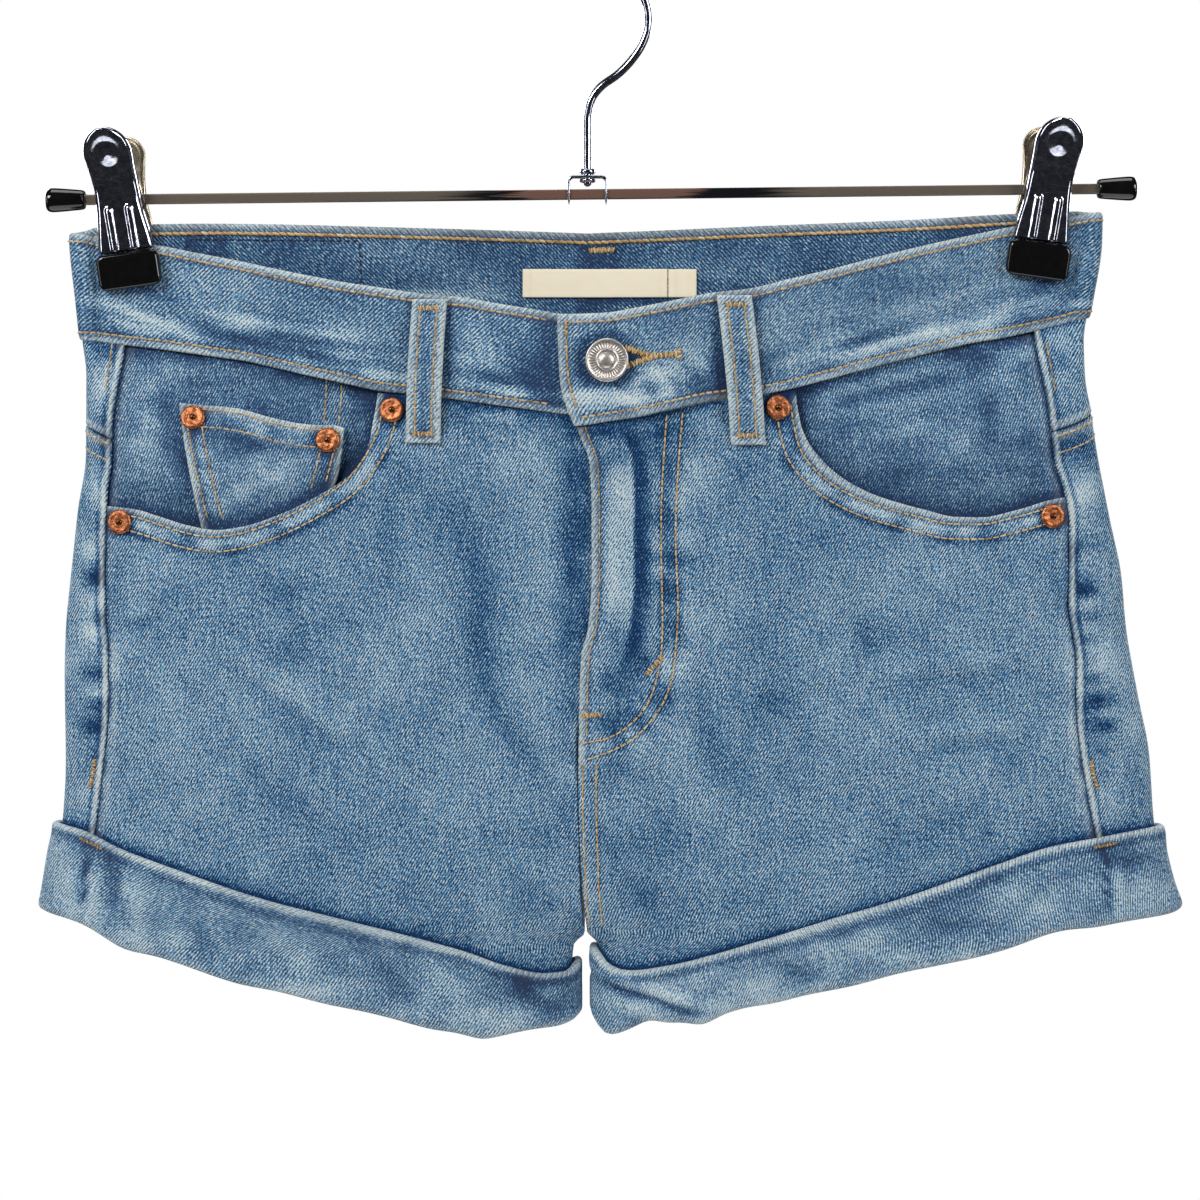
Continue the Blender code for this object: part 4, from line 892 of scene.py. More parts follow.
def denim(name, shift=0.0, slant=59.0, lines=0.36, pitch=0.95, faded=0.0, coarse=1.0):
    """Worn stretch denim: broken twill lines, slubs, clouds, and cream where it is worn."""
    s = Shader(name)
    place = s.place()
    wander = s.noise(s.stretched(place, 4.0, 6.0), 2.0, 0.5, 1.8)
    twill = s.waves(place, pitch, slant - 90.0, wander)
    dashes = s.noise(s.stretched(place, 0.42 * coarse, 1.25 * coarse, slant - 90.0), 0.0)
    grain = s.noise(s.stretched(place, 0.42 * coarse, 0.46 * coarse), 0.0)
    heather = s.noise(s.stretched(place, 1.0, 1.3), 1.0)
    slub = s.noise(s.stretched(place, 0.55, 12.0), 1.0)
    weft = s.noise(s.stretched(place, 8.0, 0.6), 1.0)
    cloud = s.noise(s.stretched(place, 8.0, 10.0, 12.0), 3.0, 0.55)
    streak = s.waves(place, 1.9, slant - 90.0, s.noise(s.stretched(place, 2.5, 3.5), 2.0, 0.5, 4.0))
    worn = s.attribute("worn")
    value = s.sum(s.times(twill, lines), s.times(dashes, 1.2), s.times(grain, 1.0), s.times(heather, 0.20),
                  s.times(slub, 0.6), s.times(weft, 0.4), s.times(cloud, 0.22), s.attribute("tone"),
                  0.45 + shift)
    value = s.math("ADD", value, s.times(worn, s.math("MULTIPLY_ADD", streak, 0.14, 0.26)))
    # A positive inside value pales the wrong side of the cloth; a negative one, as on the waistband, darkens
    # it as painted shade.
    value = s.math("ADD", value, s.times(s.attribute("inside"), 0.20))
    colour = s.ramp(value, (0.0, tint(8, 42, 82)), (0.25, tint(36, 82, 124)), (0.5, tint(82, 129, 165)),
                    (0.75, tint(137, 172, 195)), (1.0, tint(206, 216, 214)))
    pale = s.times(worn, s.math("MULTIPLY_ADD", streak, 0.16, 0.42))
    colour = s.blend(pale, colour, tint(196, 198, 188))
    colour = s.blend(faded, colour, tint(168, 162, 144))
    height = s.sum(s.times(twill, 0.30), dashes, s.times(grain, 0.5))
    s.bump(height, 0.12, 0.6)
    return s.finish(colour, 0.86, Sheen_Weight=0.05, Sheen_Roughness=0.5, Specular_IOR_Level=0.14)


def thread(name, roughness, sheen, specular, *stops):
    """Twisted sewing thread, mottled along its length."""
    s = Shader(name)
    place = s.place("object")
    value = s.sum(s.attribute("tone"), s.noise(s.evenly(place, 0.5), 2.0, 0.6, 0.8), 0.5)
    return s.finish(s.ramp(value, *stops), roughness, Sheen_Weight=sheen, Specular_IOR_Level=specular)


def label_material():
    s = Shader("label_satin")
    place = s.place()
    weave = s.waves(place, 0.34, 90.0, s.noise(s.stretched(place, 3.0, 2.0), 1.0, 0.5, 1.0))
    cloud = s.noise(s.stretched(place, 6.0, 4.0), 3.0, 0.6)
    value = s.sum(s.times(weave, 0.06), s.times(cloud, 0.4), s.attribute("tone"), 0.62)
    colour = s.ramp(value, (0.0, tint(206, 190, 160)), (0.5, tint(248, 235, 206)), (1.0, tint(254, 248, 230)))
    s.bump(weave, 0.06, 0.4)
    return s.finish(colour, 0.6, Sheen_Weight=0.1)


def leather_material():
    s = Shader("leather_patch")
    place = s.place()
    cell = s.node("TexVoronoi", feature="DISTANCE_TO_EDGE")
    s.feed(cell.inputs["Vector"], s.stretched(place, 1.5, 1.5))
    cell.inputs["Scale"].default_value = 1.0
    pores = s.math("MINIMUM", cell.outputs["Distance"], 0.2)
    cloud = s.noise(s.stretched(place, 9.0, 6.0), 4.0, 0.6)
    value = s.sum(s.times(pores, 0.8), cloud, s.attribute("tone"), 0.40)
    colour = s.ramp(value, (0.0, tint(92, 56, 32)), (0.5, tint(158, 108, 68)), (1.0, tint(196, 152, 108)))
    s.bump(s.sum(pores, s.times(cloud, 0.5)), 0.35, 0.8)
    return s.finish(colour, 0.55)


def metal(name, dark, light, roughness, size, bump, gain=1.0):
    """A plated or worn metal, mottled at a size, with fine dents."""
    s = Shader(name)
    place = s.place("object")
    cloud = s.noise(s.evenly(place, size), 4.0, 0.6, gain)
    colour = s.ramp(s.math("ADD", cloud, 0.5), (0.15, dark), (0.85, light))
    s.bump(cloud, bump, 0.8)
    return s.finish(colour, roughness, Metallic=1.0)


def chrome_material():
    """Bright plating with fine scratches, its colour mottled from dark blue to pale as a painted reflection
    of the room.
    """
    s = Shader("chrome_plate")
    place = s.place("object")
    cloud = s.noise(s.evenly(place, 2.2), 4.0, 0.7, 2.0)
    across = s.noise(s.stretched(place, 7.0, 1.0, 25.0, 0.22), 1.0)
    along = s.noise(s.stretched(place, 5.0, 1.0, 0.0, 0.26), 1.0)
    scratch = s.math("MAXIMUM", s.math("MAXIMUM", across, along), 0.16)
    value = s.sum(cloud, s.math("MULTIPLY_ADD", scratch, 5.0, -0.35), 0.0)
    colour = s.ramp(value, (0.0, tint(116, 122, 146)), (0.5, tint(176, 180, 194)), (1.0, tint(232, 234, 240)))
    s.bump(s.sum(cloud, scratch), 0.02, 0.6)
    return s.finish(colour, 0.09, Metallic=1.0)


def bar_material():
    """Bright plating with a painted reflection of the darker room along it: grey at the ends, brown in the
    middle, nearly black beside.
    """
    s = Shader("bar_chrome")
    place = s.place("object")
    split = s.node("SeparateXYZ")
    s.feed(split.inputs[0], place)
    along = s.math("MULTIPLY_ADD", split.outputs["X"], 1 / 400.0, 0.5)
    grain = s.noise(s.stretched(place, 30.0, 1.2, 0.0, 0.5), 2.0, 0.6, 0.10)
    grey, brown, black = tint(128, 118, 106), tint(146, 112, 98), tint(30, 32, 38)
    colour = s.ramp(s.math("ADD", along, grain), (0.0, grey), (0.36, grey), (0.40, black), (0.425, black),
                    (0.435, brown), (0.585, brown), (0.60, black), (0.66, black), (0.70, grey), (1.0, grey))
    return s.finish(colour, 0.22, Metallic=0.5)


def rubber_material():
    s = Shader("black_rubber")
    place = s.place("object")
    cloud = s.noise(s.evenly(place, 2.5), 3.0, 0.6)
    colour = s.ramp(s.math("ADD", cloud, 0.5), (0.2, tint(6, 6, 7)), (0.9, tint(18, 18, 19)))
    s.bump(cloud, 0.03, 0.4)
    return s.finish(colour, 0.08)


# ---------------------------------------------------------------- making meshes

def piece(name, points, faces, material, slot, nodes=(), uv=None, smooth_shading=True, **attributes):
    """A mesh object from points in millimetres, riding on the body and standing for its CAD nodes."""
    mesh = bpy.data.meshes.new(name)
    mesh.from_pydata((np.asarray(points) * MM).tolist(), [], [list(face) for face in faces])
    if uv is not None:
        corner = np.empty(len(mesh.loops), dtype=np.int32)
        mesh.loops.foreach_get("vertex_index", corner)
        layer = mesh.uv_layers.new(name="cloth")
        layer.data.foreach_set("uv", (np.asarray(uv)[corner] * MM).astype(np.float32).ravel())
    for key, values in attributes.items():
        store = mesh.attributes.new(key, "FLOAT", "POINT")
        store.data.foreach_set("value", np.asarray(values, dtype=np.float32).ravel())
    if smooth_shading:
        mesh.shade_smooth()
    mesh.materials.append(material)
    item = bpy.data.objects.new(name, mesh)
    bpy.context.scene.collection.objects.link(item)
    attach(item, "root")
    if nodes:
        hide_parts(*nodes)
    return item


def lengths(points, axis):
    """Distance run along each row (axis 1) or down each column (axis 0)."""
    step = np.linalg.norm(np.diff(points, axis=axis), axis=-1)
    start = np.zeros_like(np.take(step, [0], axis=axis))
    return np.concatenate([start, np.cumsum(step, axis=axis)], axis=axis)


def quads(index):
    """Faces of a grid of vertex numbers."""
    return np.stack([index[:-1, :-1], index[:-1, 1:], index[1:, 1:], index[1:, :-1]], axis=-1).reshape(-1, 4)


def ring_faces(rings, sides):
    """Faces of rings joined one after another, capped at both ends."""
    index = np.arange(rings * sides).reshape(rings, sides)
    wrapped = np.concatenate([index, index[:, :1]], axis=1)
    return [list(face) for face in quads(wrapped)], [list(index[0][::-1]), list(index[-1])]


def moved(points, matrix):
    """Points turned and shifted by a matrix."""
    matrix = np.array(matrix)
    return points @ matrix[:3, :3].T + matrix[:3, 3]


def shell(name, place, level, wall, uv, material, slot, nodes, tone=0.0, worn=0.0, cut=None, inside=1.0,
          edge_radius=None):
    """A cloth piece: an outer and an inner sheet that meet in a rounded edge all round."""
    centre = place(level)
    rows, columns = centre.shape[:2]
    down, across = lengths(centre, 0), lengths(centre, 1)
    edge = np.minimum.reduce([down, down[-1:] - down, across, across[:, -1:] - across])
    radius = edge_radius or 0.8 * wall
    half = wall / 2 * np.sqrt(np.clip(1 - (1 - np.clip(edge / radius, 0, 1)) ** 2, 0, 1))
    outer, inner = place(level + half), place(level - half)
    index = np.arange(rows * columns).reshape(rows, columns)
    under = index.copy()
    under[1:-1, 1:-1] = rows * columns + np.arange((rows - 2) * (columns - 2)).reshape(rows - 2, columns - 2)
    points = np.concatenate([outer.reshape(-1, 3), inner[1:-1, 1:-1].reshape(-1, 3)])
    mid = (rows // 2, columns // 2)
    normal = np.cross(outer[mid[0], mid[1] + 1] - outer[mid], outer[mid[0] + 1, mid[1]] - outer[mid])
    turned_out = np.dot(normal, outer[mid] - inner[mid]) > 0
    front, back = quads(index), quads(under)[:, ::-1]
    if not turned_out:
        front, back = front[:, ::-1], back[:, ::-1]

    def both(values):
        values = np.broadcast_to(np.asarray(values, float), (rows, columns))
        return np.concatenate([values.ravel(), values[1:-1, 1:-1].ravel()])

    flag = np.concatenate([np.zeros(rows * columns), np.full((rows - 2) * (columns - 2), inside)])
    place_on_cloth = np.stack([both(uv[0]), both(uv[1])], axis=1)
    item = piece(name, points, np.concatenate([front, back]), material, slot, nodes, uv=place_on_cloth,
                 tone=both(tone), worn=both(worn), inside=flag)
    if cut is not None:
        declare(cut)
    return item


def panel(node, side, angle, drop, level, material, tone, worn):
    """A piece of one thickness of cloth, laid on the tube at its tube angles and drops."""
    place = on_tube(side, angle, drop)
    name = "cloth_" + node.replace("pocket_facing", "facing")
    shell(name, place, level, CLOTH, cloth_uv(side, angle, drop), material, "denim", [node], tone, worn,
          cut_size(place(0 * drop)))


def cut_size(points):
    """Width, length and area of a piece's middle surface, as it lay before it was sewn."""
    width, length = lengths(points, 1)[:, -1].max(), lengths(points, 0)[-1].max()
    one = np.cross(points[1:, :-1] - points[:-1, :-1], points[:-1, 1:] - points[:-1, :-1])
    two = np.cross(points[1:, :-1] - points[1:, 1:], points[:-1, 1:] - points[1:, 1:])
    area = (np.linalg.norm(one, axis=-1) + np.linalg.norm(two, axis=-1)).sum() / 2
    return width * MM, length * MM, area * MM * MM


def declare(cut):
    """Unpack a piece's width, length and area in metres and clamp the area; nothing is stored or passed on.
    """
    width, length, area = cut
    area = min(max(area, 0.31 * width * length), width * length)


def steps_of(length, pitch, first=(0.0, 0.18, 0.5, 1.0, 1.7), last=True):
    """Distances from 0 to a length at about a pitch, closer together at the ends."""
    near = np.array(first)
    far = length - near[::-1] if last else np.array([length])
    start, end = near[-1], far[0]
    count = max(2, int(round((end - start) / pitch)) + 1)
    return np.concatenate([near[:-1], np.linspace(start, end, count), far[1:]])


def shares(length, pitch=PITCH, **ends):
    return steps_of(length, pitch, **ends) / length


def nearest(values, value):
    """Index of the value nearest to one."""
    return int(np.argmin(np.abs(values - value)))


def sample(at, run, values):
    """Rows of values read at distances along a run."""
    return np.stack([np.interp(at, run, column) for column in values.T], axis=1)


def even_angles(side, start, end, drop, pitch):
    """Tube angles about a pitch apart along the cloth, from one angle to another."""
    fine = np.linspace(start, end, 4000)
    run = lengths(skin(side, fine, drop)[None], 1)[0]
    count = max(3, int(round(run[-1] / pitch)) + 1)
    return np.interp(np.linspace(0, run[-1], count), run, fine)


def offset_grid(points):
    """A place-at-level function for a grid of points, along its own normals."""
    down = np.gradient(points, axis=0)
    across = np.gradient(points, axis=1)
    normal = np.cross(across, down)
    normal /= np.maximum(np.linalg.norm(normal, axis=-1, keepdims=True), 1e-9)
    return lambda level: points + normal * np.asarray(level, float)[..., None]


def closed_tube(name, sections, material, slot, nodes, caps=True, **extra):
    """Closed outlines joined one after another, capped at both ends."""
    sides, ends = ring_faces(*sections.shape[:2])
    faces = sides + ends if caps else sides
    mend_normals(piece(name, sections.reshape(-1, 3), faces, material, slot, nodes, **extra))


def mend_normals(item, join=True):
    """Turn a mesh's faces outwards, with points at one place joined."""
    shape = bmesh.new()
    shape.from_mesh(item.data)
    if join:
        bmesh.ops.remove_doubles(shape, verts=shape.verts, dist=1e-7)
    bmesh.ops.recalc_face_normals(shape, faces=shape.faces)
    shape.to_mesh(item.data)
    shape.free()


def sweep(points, radius, sides):
    """Sections of a round wire along a line of points, with round ends."""
    points = np.asarray(points, float)
    run = np.gradient(points, axis=0)
    run /= np.linalg.norm(run, axis=1, keepdims=True)
    guide = np.array([0.0, 1.0, 0.0]) if abs(run[0][1]) < 0.9 else np.array([1.0, 0.0, 0.0])
    frames = []
    for way in run:
        guide = guide - way * np.dot(guide, way)
        guide /= np.linalg.norm(guide)
        frames.append((guide, np.cross(way, guide)))
    turn = np.linspace(0, math.tau, sides, endpoint=False)
    sizes = np.broadcast_to(np.asarray(radius, float), len(points))

    def ring(i, tilt=0.0, way=1.0):
        one, two = frames[i]
        size, slide = sizes[i] * math.cos(tilt), way * sizes[i] * math.sin(tilt)
        return points[i] + run[i] * slide + size * (np.cos(turn)[:, None] * one + np.sin(turn)[:, None] * two)

    tilts = [math.radians(tilt) for tilt in (28, 55, 80)]
    rings = [ring(0, tilt, -1.0) for tilt in tilts[::-1]]
    rings += [ring(i) for i in range(len(points))]
    rings += [ring(-1, tilt) for tilt in tilts]
    return np.array(rings)


def turned(name, profile, material, slot, nodes, matrix, steps=48, wobble=None):
    """A turned piece about its own Z axis, from (radius, height) points, top first."""
    turn = np.linspace(0, math.tau, steps, endpoint=False)
    radius, height = np.array(profile, float).T
    radius = np.maximum(radius, 0.01)
    rings = np.stack([radius[:, None] * np.cos(turn), radius[:, None] * np.sin(turn),
                      height[:, None] + 0 * turn], axis=-1)
    if wobble is not None:
        rings[..., 2] += wobble(rings)
    closed_tube(name, moved(rings, matrix), material, slot, nodes, caps=profile[0][0] == 0)


def cushion(name, size, centre, corner, edge, material, slot, nodes, matrix):
    """A block with round corners seen from the front, and softly rounded edges."""
    quarter = np.radians(np.linspace(0, 90, 9))
    turns = np.concatenate([quarter + start * math.pi for start in (0, 0.5, 1, 1.5)])
    signs = np.repeat([(1, 1), (-1, 1), (-1, -1), (1, -1)], 9, axis=0)
    wide = signs * (np.array([size[0], size[2]]) / 2 - corner)
    depth = size[1] / 2
    bend = np.radians(np.linspace(0, 90, 7))
    levels = [(-depth + edge - edge * math.cos(t), edge - edge * math.sin(t)) for t in bend]
    levels += [(-level, inset) for level, inset in levels[::-1]]
    sections = np.array([[(x + (corner - inset) * math.cos(t), y, z + (corner - inset) * math.sin(t))
                          for (x, z), t in zip(wide, turns)] for y, inset in levels]) + centre
    closed_tube(name, moved(sections, matrix), material, slot, nodes)


# ---------------------------------------------------------------- thread

def threads(name, starts, ends, ups, size, material, tones, sink=0.18, arch=0.24):
    """Short lengths of thread, each dipping into the cloth at both ends."""
    starts, ends, ups = (np.asarray(value, float) for value in (starts, ends, ups))
    count = len(starts)
    size = np.broadcast_to(np.asarray(size, float), (count,))
    rng = np.random.default_rng(len(name) * 977 + count)
    run = ends - starts
    way = run / np.maximum(np.linalg.norm(run, axis=1, keepdims=True), 1e-9)
    beside = np.cross(way, ups)
    beside /= np.maximum(np.linalg.norm(beside, axis=1, keepdims=True), 1e-9)
    up = np.cross(beside, way)
    along = np.array([0.0, 0.10, 0.32, 0.68, 0.90, 1.0])
    thick = np.array([0.45, 0.90, 1.0, 1.0, 0.90, 0.45])
    rise = np.array([-sink, 0.02, arch, arch, 0.02, -sink])
    turn = np.linspace(0, math.tau, 6, endpoint=False)
    lean = rng.normal(0, 0.05, count)[:, None, None, None]
    centre = starts[:, None] + run[:, None] * along[None, :, None] + up[:, None] * rise[None, :, None]
    ring = (np.cos(turn)[None, None, :, None] * beside[:, None, None]
            + 0.85 * np.sin(turn)[None, None, :, None] * up[:, None, None])
    points = centre[:, :, None] + ring * (thick[None, :, None, None] * size[:, None, None, None])
    points = points + lean * beside[:, None, None] * (along[None, :, None, None] - 0.5)
    rings, sides = len(along), len(turn)
    wall, caps = ring_faces(rings, sides)
    faces = [[vertex + i * rings * sides for vertex in face] for i in range(count) for face in wall + caps]
    tone = np.asarray(tones) + rng.normal(0, 0.15, count)
    piece(name, points.reshape(-1, 3), faces, material, "label", tone=np.repeat(tone, rings * sides))


class Sewing:
    """Collects stitches for one piece of thread work."""

    def __init__(self, name):
        self.name = name
        self.rows = []

    def line(self, points, ups, pitch=2.9, share=0.88, size=0.27, tone=0.0, skew=0.0):
        """A row of stitches along points that already lie on the cloth."""
        run = lengths(points[None], 1)[0]
        count = int(run[-1] / pitch)
        if count < 1:
            return
        pitch = run[-1] / count
        begin = np.arange(count) * pitch + pitch * (1 - share) / 2
        finish = begin + pitch * share
        up = sample((begin + finish) / 2, run, ups)
        one, two = sample(begin, run, points), sample(finish, run, points)
        if skew:
            way = (two - one) / np.linalg.norm(two - one, axis=1, keepdims=True)
            beside = np.cross(way, up)
            one, two = one - beside * skew, two + beside * skew
        self.rows.append((one, two, up, np.full(count, size), np.full(count, tone)))

    def satin(self, points, ups, width=1.8, pitch=0.55, size=0.28, tone=0.02):
        """Close threads across a short line: a bartack or a buttonhole's edge."""
        run = lengths(points[None], 1)[0]
        count = max(2, int(run[-1] / pitch))
        at = np.linspace(0, run[-1], count)
        centre, up = sample(at, run, points), sample(at, run, ups)
        way = np.gradient(centre, axis=0)
        way /= np.maximum(np.linalg.norm(way, axis=1, keepdims=True), 1e-9)
        beside = np.cross(way, up) * width / 2
        order = np.arange(count)
        beside = beside * (1 + 0.14 * np.sin(2.4 * order + 0.7))[:, None]
        slip = way * (pitch * 0.6 * np.cos(1.9 * order))[:, None]
        up_step = up * (0.10 + 0.07 * np.cos(2.1 * order))[:, None]
        self.rows.append((centre - beside - slip + up_step, centre + beside + slip + up_step, up,
                          np.full(count, size), tone + 0.30 * np.sin(2.7 * order)))

    def make(self, material):
        parts = [np.concatenate(values) for values in zip(*self.rows)]
        threads(self.name, *parts[:4], material, parts[4])


def sew(name, material, *makers):
    """One piece of thread work, filled by the functions that lay its stitches."""
    sewing = Sewing(name)
    for maker in makers:
        maker(sewing)
    sewing.make(material)


def dense(path, pitch=1.0):
    """A line of points filled in at a pitch."""
    path = np.array(path, float)
    run = lengths(path[None], 1)[0]
    return sample(np.linspace(0, run[-1], max(2, int(run[-1] / pitch) + 1)), run, path)


def with_up(place, level):
    """Points at a level, and the way up from them."""
    points = place(level)
    return points, place(level + 1.0) - points


def on_front(side, path, extra=0.0):
    """A line of (x out, drop) laid on a front panel's face, and the way up from it."""
    x, drop = dense(path).T
    level = front_level(side, x, drop) + CLOTH / 2 + extra
    return with_up(on_tube(side, angle_at(side, x, drop), drop), level)


def on_band(side, angle, down, inner=False):
    """A line on the band, from angles and distances below its top edge."""
    top, low = band_edge(side, angle, "top"), band_edge(side, angle, "low")
    x = x_at(side, angle, BAND_DROP)
    lift = np.where(angle < 90, band_lift(side, x), 0.0)
    middle = BAND_LEVEL + lift + band_relief(side, angle, down, low - top)[0]
    way = -1.0 if inner else 1.0
    place = on_tube(side, angle, top + down)
    points = place(middle + way * BAND / 2)
    return points, place(middle + way * (BAND / 2 + 1.0)) - points


def on_strip(side, angle, drop, extra=0.0):
    """A line laid on a back panel's face, and the way up from it."""
    return with_up(on_tube(side, angle, drop), strip_relief(side, angle, drop)[0] + CLOTH / 2 + extra)


# ---------------------------------------------------------------- the cloth pieces

DENIM = denim("denim_face")
DENIM_CUFF = denim("denim_cuff", 0.01, 61.0, 0.32, 0.95, 0.05)
DENIM_TRIM = denim("denim_trim", -0.02, 46.0, 0.30, 1.08, 0.04, 1.15)
DENIM_POCKET = denim("denim_pocket", -0.10, 66.0, 0.34, 0.95, 0.04)
DENIM_DARK = denim("denim_unworn", -0.12)
THREAD = thread("thread", 0.55, 0.2, 0.4, (0.0, tint(112, 88, 58)), (0.45, tint(188, 152, 96)),
                (0.72, tint(208, 176, 122)), (1.0, tint(216, 202, 170)))
NAVY = thread("navy_thread", 0.6, 0.1, 0.3, (0.0, tint(22, 24, 48)), (1.0, tint(64, 66, 104)))
SATIN = label_material()
HIDE = leather_material()
COPPER = metal("copper_trim", tint(132, 70, 42), tint(212, 138, 94), 0.42, 0.9, 0.16, 1.6)
BRASS = metal("rivet_nub", tint(66, 36, 20), tint(132, 80, 46), 0.26, 0.8, 0.10, 1.4)
NICKEL = metal("worn_nickel", tint(176, 166, 158), tint(228, 222, 216), 0.42, 0.7, 0.09, 1.2)
# The back jaws' plating, painted warmer and lighter as a reflection of the room.
STEEL_WARM_REFLECTION = metal("steel_painted_reflection", tint(150, 138, 118), tint(214, 200, 178), 0.26, 5.0, 0.05, 1.0)
CHROME = chrome_material()
BAR_CHROME = bar_material()
RUBBER = rubber_material()


def leg_rows(side, ends, top, length):
    """Shares down a leg, its drops, and the drops no lower than the cuff's edge."""
    edge, low = cuff_edge(side, ends, "top"), leg_end(side, ends)
    down = np.append(shares(length, last=False), LEG_TAIL)[:, None]
    drop = top + (edge - top) * np.minimum(down, 1.0) + (low - edge) * np.clip(down - 1.0, 0, 1)
    return down, drop, np.minimum(drop, edge)


def front_grid(side):
    """Angles and drops of a front panel's grid, from the band and the mouth to the leg's end."""
    mouth_start = POCKET_MOUTH[side]["x"][0]
    near = steps_of(STRIP, PITCH, last=False)
    curve = np.concatenate([np.linspace(mouth_start, 80, 14)[:-1], np.linspace(80, 176, 200)])
    drops = mouth_drop(side, curve)
    end = nearest(curve, side_seam(side, 198.0))
    curve, drops = curve[:end + 1], drops[:end + 1]
    run = lengths(np.stack([curve, drops], axis=1)[None], 1)[0]
    along = steps_of(run[-1], PITCH, first=(0.0,))
    along = np.concatenate([along[:-1], run[-1] - np.array([1.0, 0.5, 0.18, 0.0])])
    by_mouth = np.interp(along[1:], run, curve)
    between = np.linspace(STRIP, mouth_start, 31)[1:]
    seam = side * front_seam(168.0)
    x_near = seam + near - (FLY_LAP * (1 - near / STRIP) ** 2 if side == LEFT else 0.0)
    x_top = np.concatenate([x_near, between, by_mouth])
    top = mouth_drop(side, x_top)
    by_band = len(near) + len(between)
    top[:by_band] = band_low(side, x_top[:by_band]) + GAP
    rest_top = top[len(near):]
    rest = angle_at(side, x_top[len(near):], rest_top)
    first = angle_at(side, seam + STRIP, rest_top)
    far = seam_angle(side, rest_top) - SEAM_TURN
    share_top = np.clip((rest - first) / (far - first), 0, 1)
    share_top[-1] = 1.0
    even = np.linspace(0, 1, len(share_top) + 1)[1:]
    even[-4:] = 1 - (1 - even[-5]) * np.array([0.55, 0.25, 0.09, 0.0])
    ends = np.linspace(-80, 70, len(x_top))
    for _ in range(24):
        ends = (ends + front_row(side, cuff_edge(side, ends, "top"), even, near)) / 2
    down, drop, held = leg_rows(side, ends, top, 200.0)
    share = share_top + (even - share_top) * fade(np.minimum(down, 1.0), (0.05, 0.6))
    return np.array([front_row(side, *row, near) for row in zip(held, share)]), drop


def front_row(side, drop, share, near):
    """Angles of one row of a front, from the centre seam to the side seam, with a drop for each column."""
    count = len(near)
    first_drop, rest_drop = drop[:count], drop[count:]
    middle, half = tube(side, first_drop)
    seam = side * front_seam(first_drop)
    lap = fly_lap(first_drop) if side == LEFT else 0.0
    start = np.maximum(seam + seam_inset(first_drop), middle - half)
    reach = np.maximum(seam + STRIP, start + 2.0)
    x = start + (reach - start) * near / STRIP - lap * (1 - near / STRIP) ** 2
    first = np.maximum(angle_at(side, x, first_drop), FOLD_GAP - 90)
    seam_rest = side * front_seam(rest_drop)
    last = angle_at(side, seam_rest + STRIP, rest_drop)
    far = seam_angle(side, rest_drop) - SEAM_TURN
    return np.concatenate([first, last + share * (far - last)])


GIRTH = {}


def girth(side, angle, drop):
    """The run round the body along the cloth, from the centre line, at a drop."""
    levels, fine = np.arange(90.0, 411.0, 8.0), np.arange(-95.0, 276.0)
    if side not in GIRTH:
        around = np.array([lengths(skin(side, fine, level + 0 * fine)[None], 1)[0] for level in levels])
        middle = np.array([[float(x_at(side, np.array(0.0), np.array(level)))] for level in levels])
        GIRTH[side] = around - around[:, 95:96] + middle
    table = GIRTH[side]
    angle, drop = np.broadcast_arrays(angle, drop)
    row = np.clip((drop - levels[0]) / 8.0, 0, len(levels) - 1.001)
    column = np.clip(angle + 95.0, 0, len(fine) - 1.001)
    i, j = row.astype(int), column.astype(int)
    down, along = row - i, column - j
    first = table[i, j] * (1 - along) + table[i, j + 1] * along
    second = table[i + 1, j] * (1 - along) + table[i + 1, j + 1] * along
    return first * (1 - down) + second * down


def cloth_uv(side, angle, drop):
    """Cloth coordinates: the run round the body, signed by side, and the height."""
    return side * girth(side, angle, drop), -drop


def fronts():
    """The two fronts, from the band and the pocket mouths to the legs' ends."""
    for name, side in SIDES.items():
        angle, drop = front_grid(side)
        x = x_at(side, angle, drop)
        height, tone, worn = front_relief(side, x, drop)
        level = height + (fly_ridge(x, drop) if side == RIGHT else 0.0)
        if side == LEFT:
            past = x - side * front_seam(drop)
            level = level * fade(past, (-2.0, 8.0))
        panel(f"front_{name}", side, angle, drop, level, DENIM, tone, worn)


def facing_level(side, x, drop):
    """One layer inside the front, and two where the coin pocket lies between."""
    under_coin = within(x, (79, 86), (151, 160)) * fade(drop, (148, 156))
    return -LINING * (1 + (under_coin if side == LEFT else 0 * under_coin))


# Inside the front pockets, as on the panels
FACING_CREASES = [
    (-0.9, 2.6, -0.26, [(83.1, 163.4), (100, 158), (121, 154), (142, 150)]),
    (0.8, 2.6, 0.16, [(86, 159), (104, 153), (124, 149), (140, 146)]),
    (-0.9, 2.6, -0.22, [(143.8, 180.6), (146, 168), (149.2, 156)]),
    (-0.7, 2.2, -0.18, [(149.4, 184), (160, 186.4), (170.2, 188.3)]),
    (0.6, 3, 0.12, [(100, 176), (118, 170), (134, 168)]),
    (-0.8, 3, -0.16, [(-156, 150), (-152, 166), (-150, 186)]),
    (0.6, 3, 0.10, [(-162, 152), (-160, 175), (-158, 192)]),
    (-0.6, 2.5, -0.16, [(-86, 152), (-84, 164), (-88, 178)]),
]
FACING_BLOTCHES = [
    (-163, 172, 7, 14, 0.22), (-146.5, 180, 3.5, 15, -0.30), (-168, 144, 6, 3, -0.16),
    (-114, 147, 16, 4, -0.20), (-81, 157, 5, 5, -0.26), (-130, 150, 10, 3, 0.14), (-158, 152, 5, 6, 0.12),
    (110, 160, 18, 5, 0.14), (130, 176, 16, 6, 0.10), (154, 160, 8, 10, 0.14), (90, 172, 6, 5, -0.16),
    (160, 176, 10, 4, -0.12), (100, 150, 10, 4, -0.12), (140, 145, 12, 3, -0.14), (120, 186, 20, 4, -0.14),
]


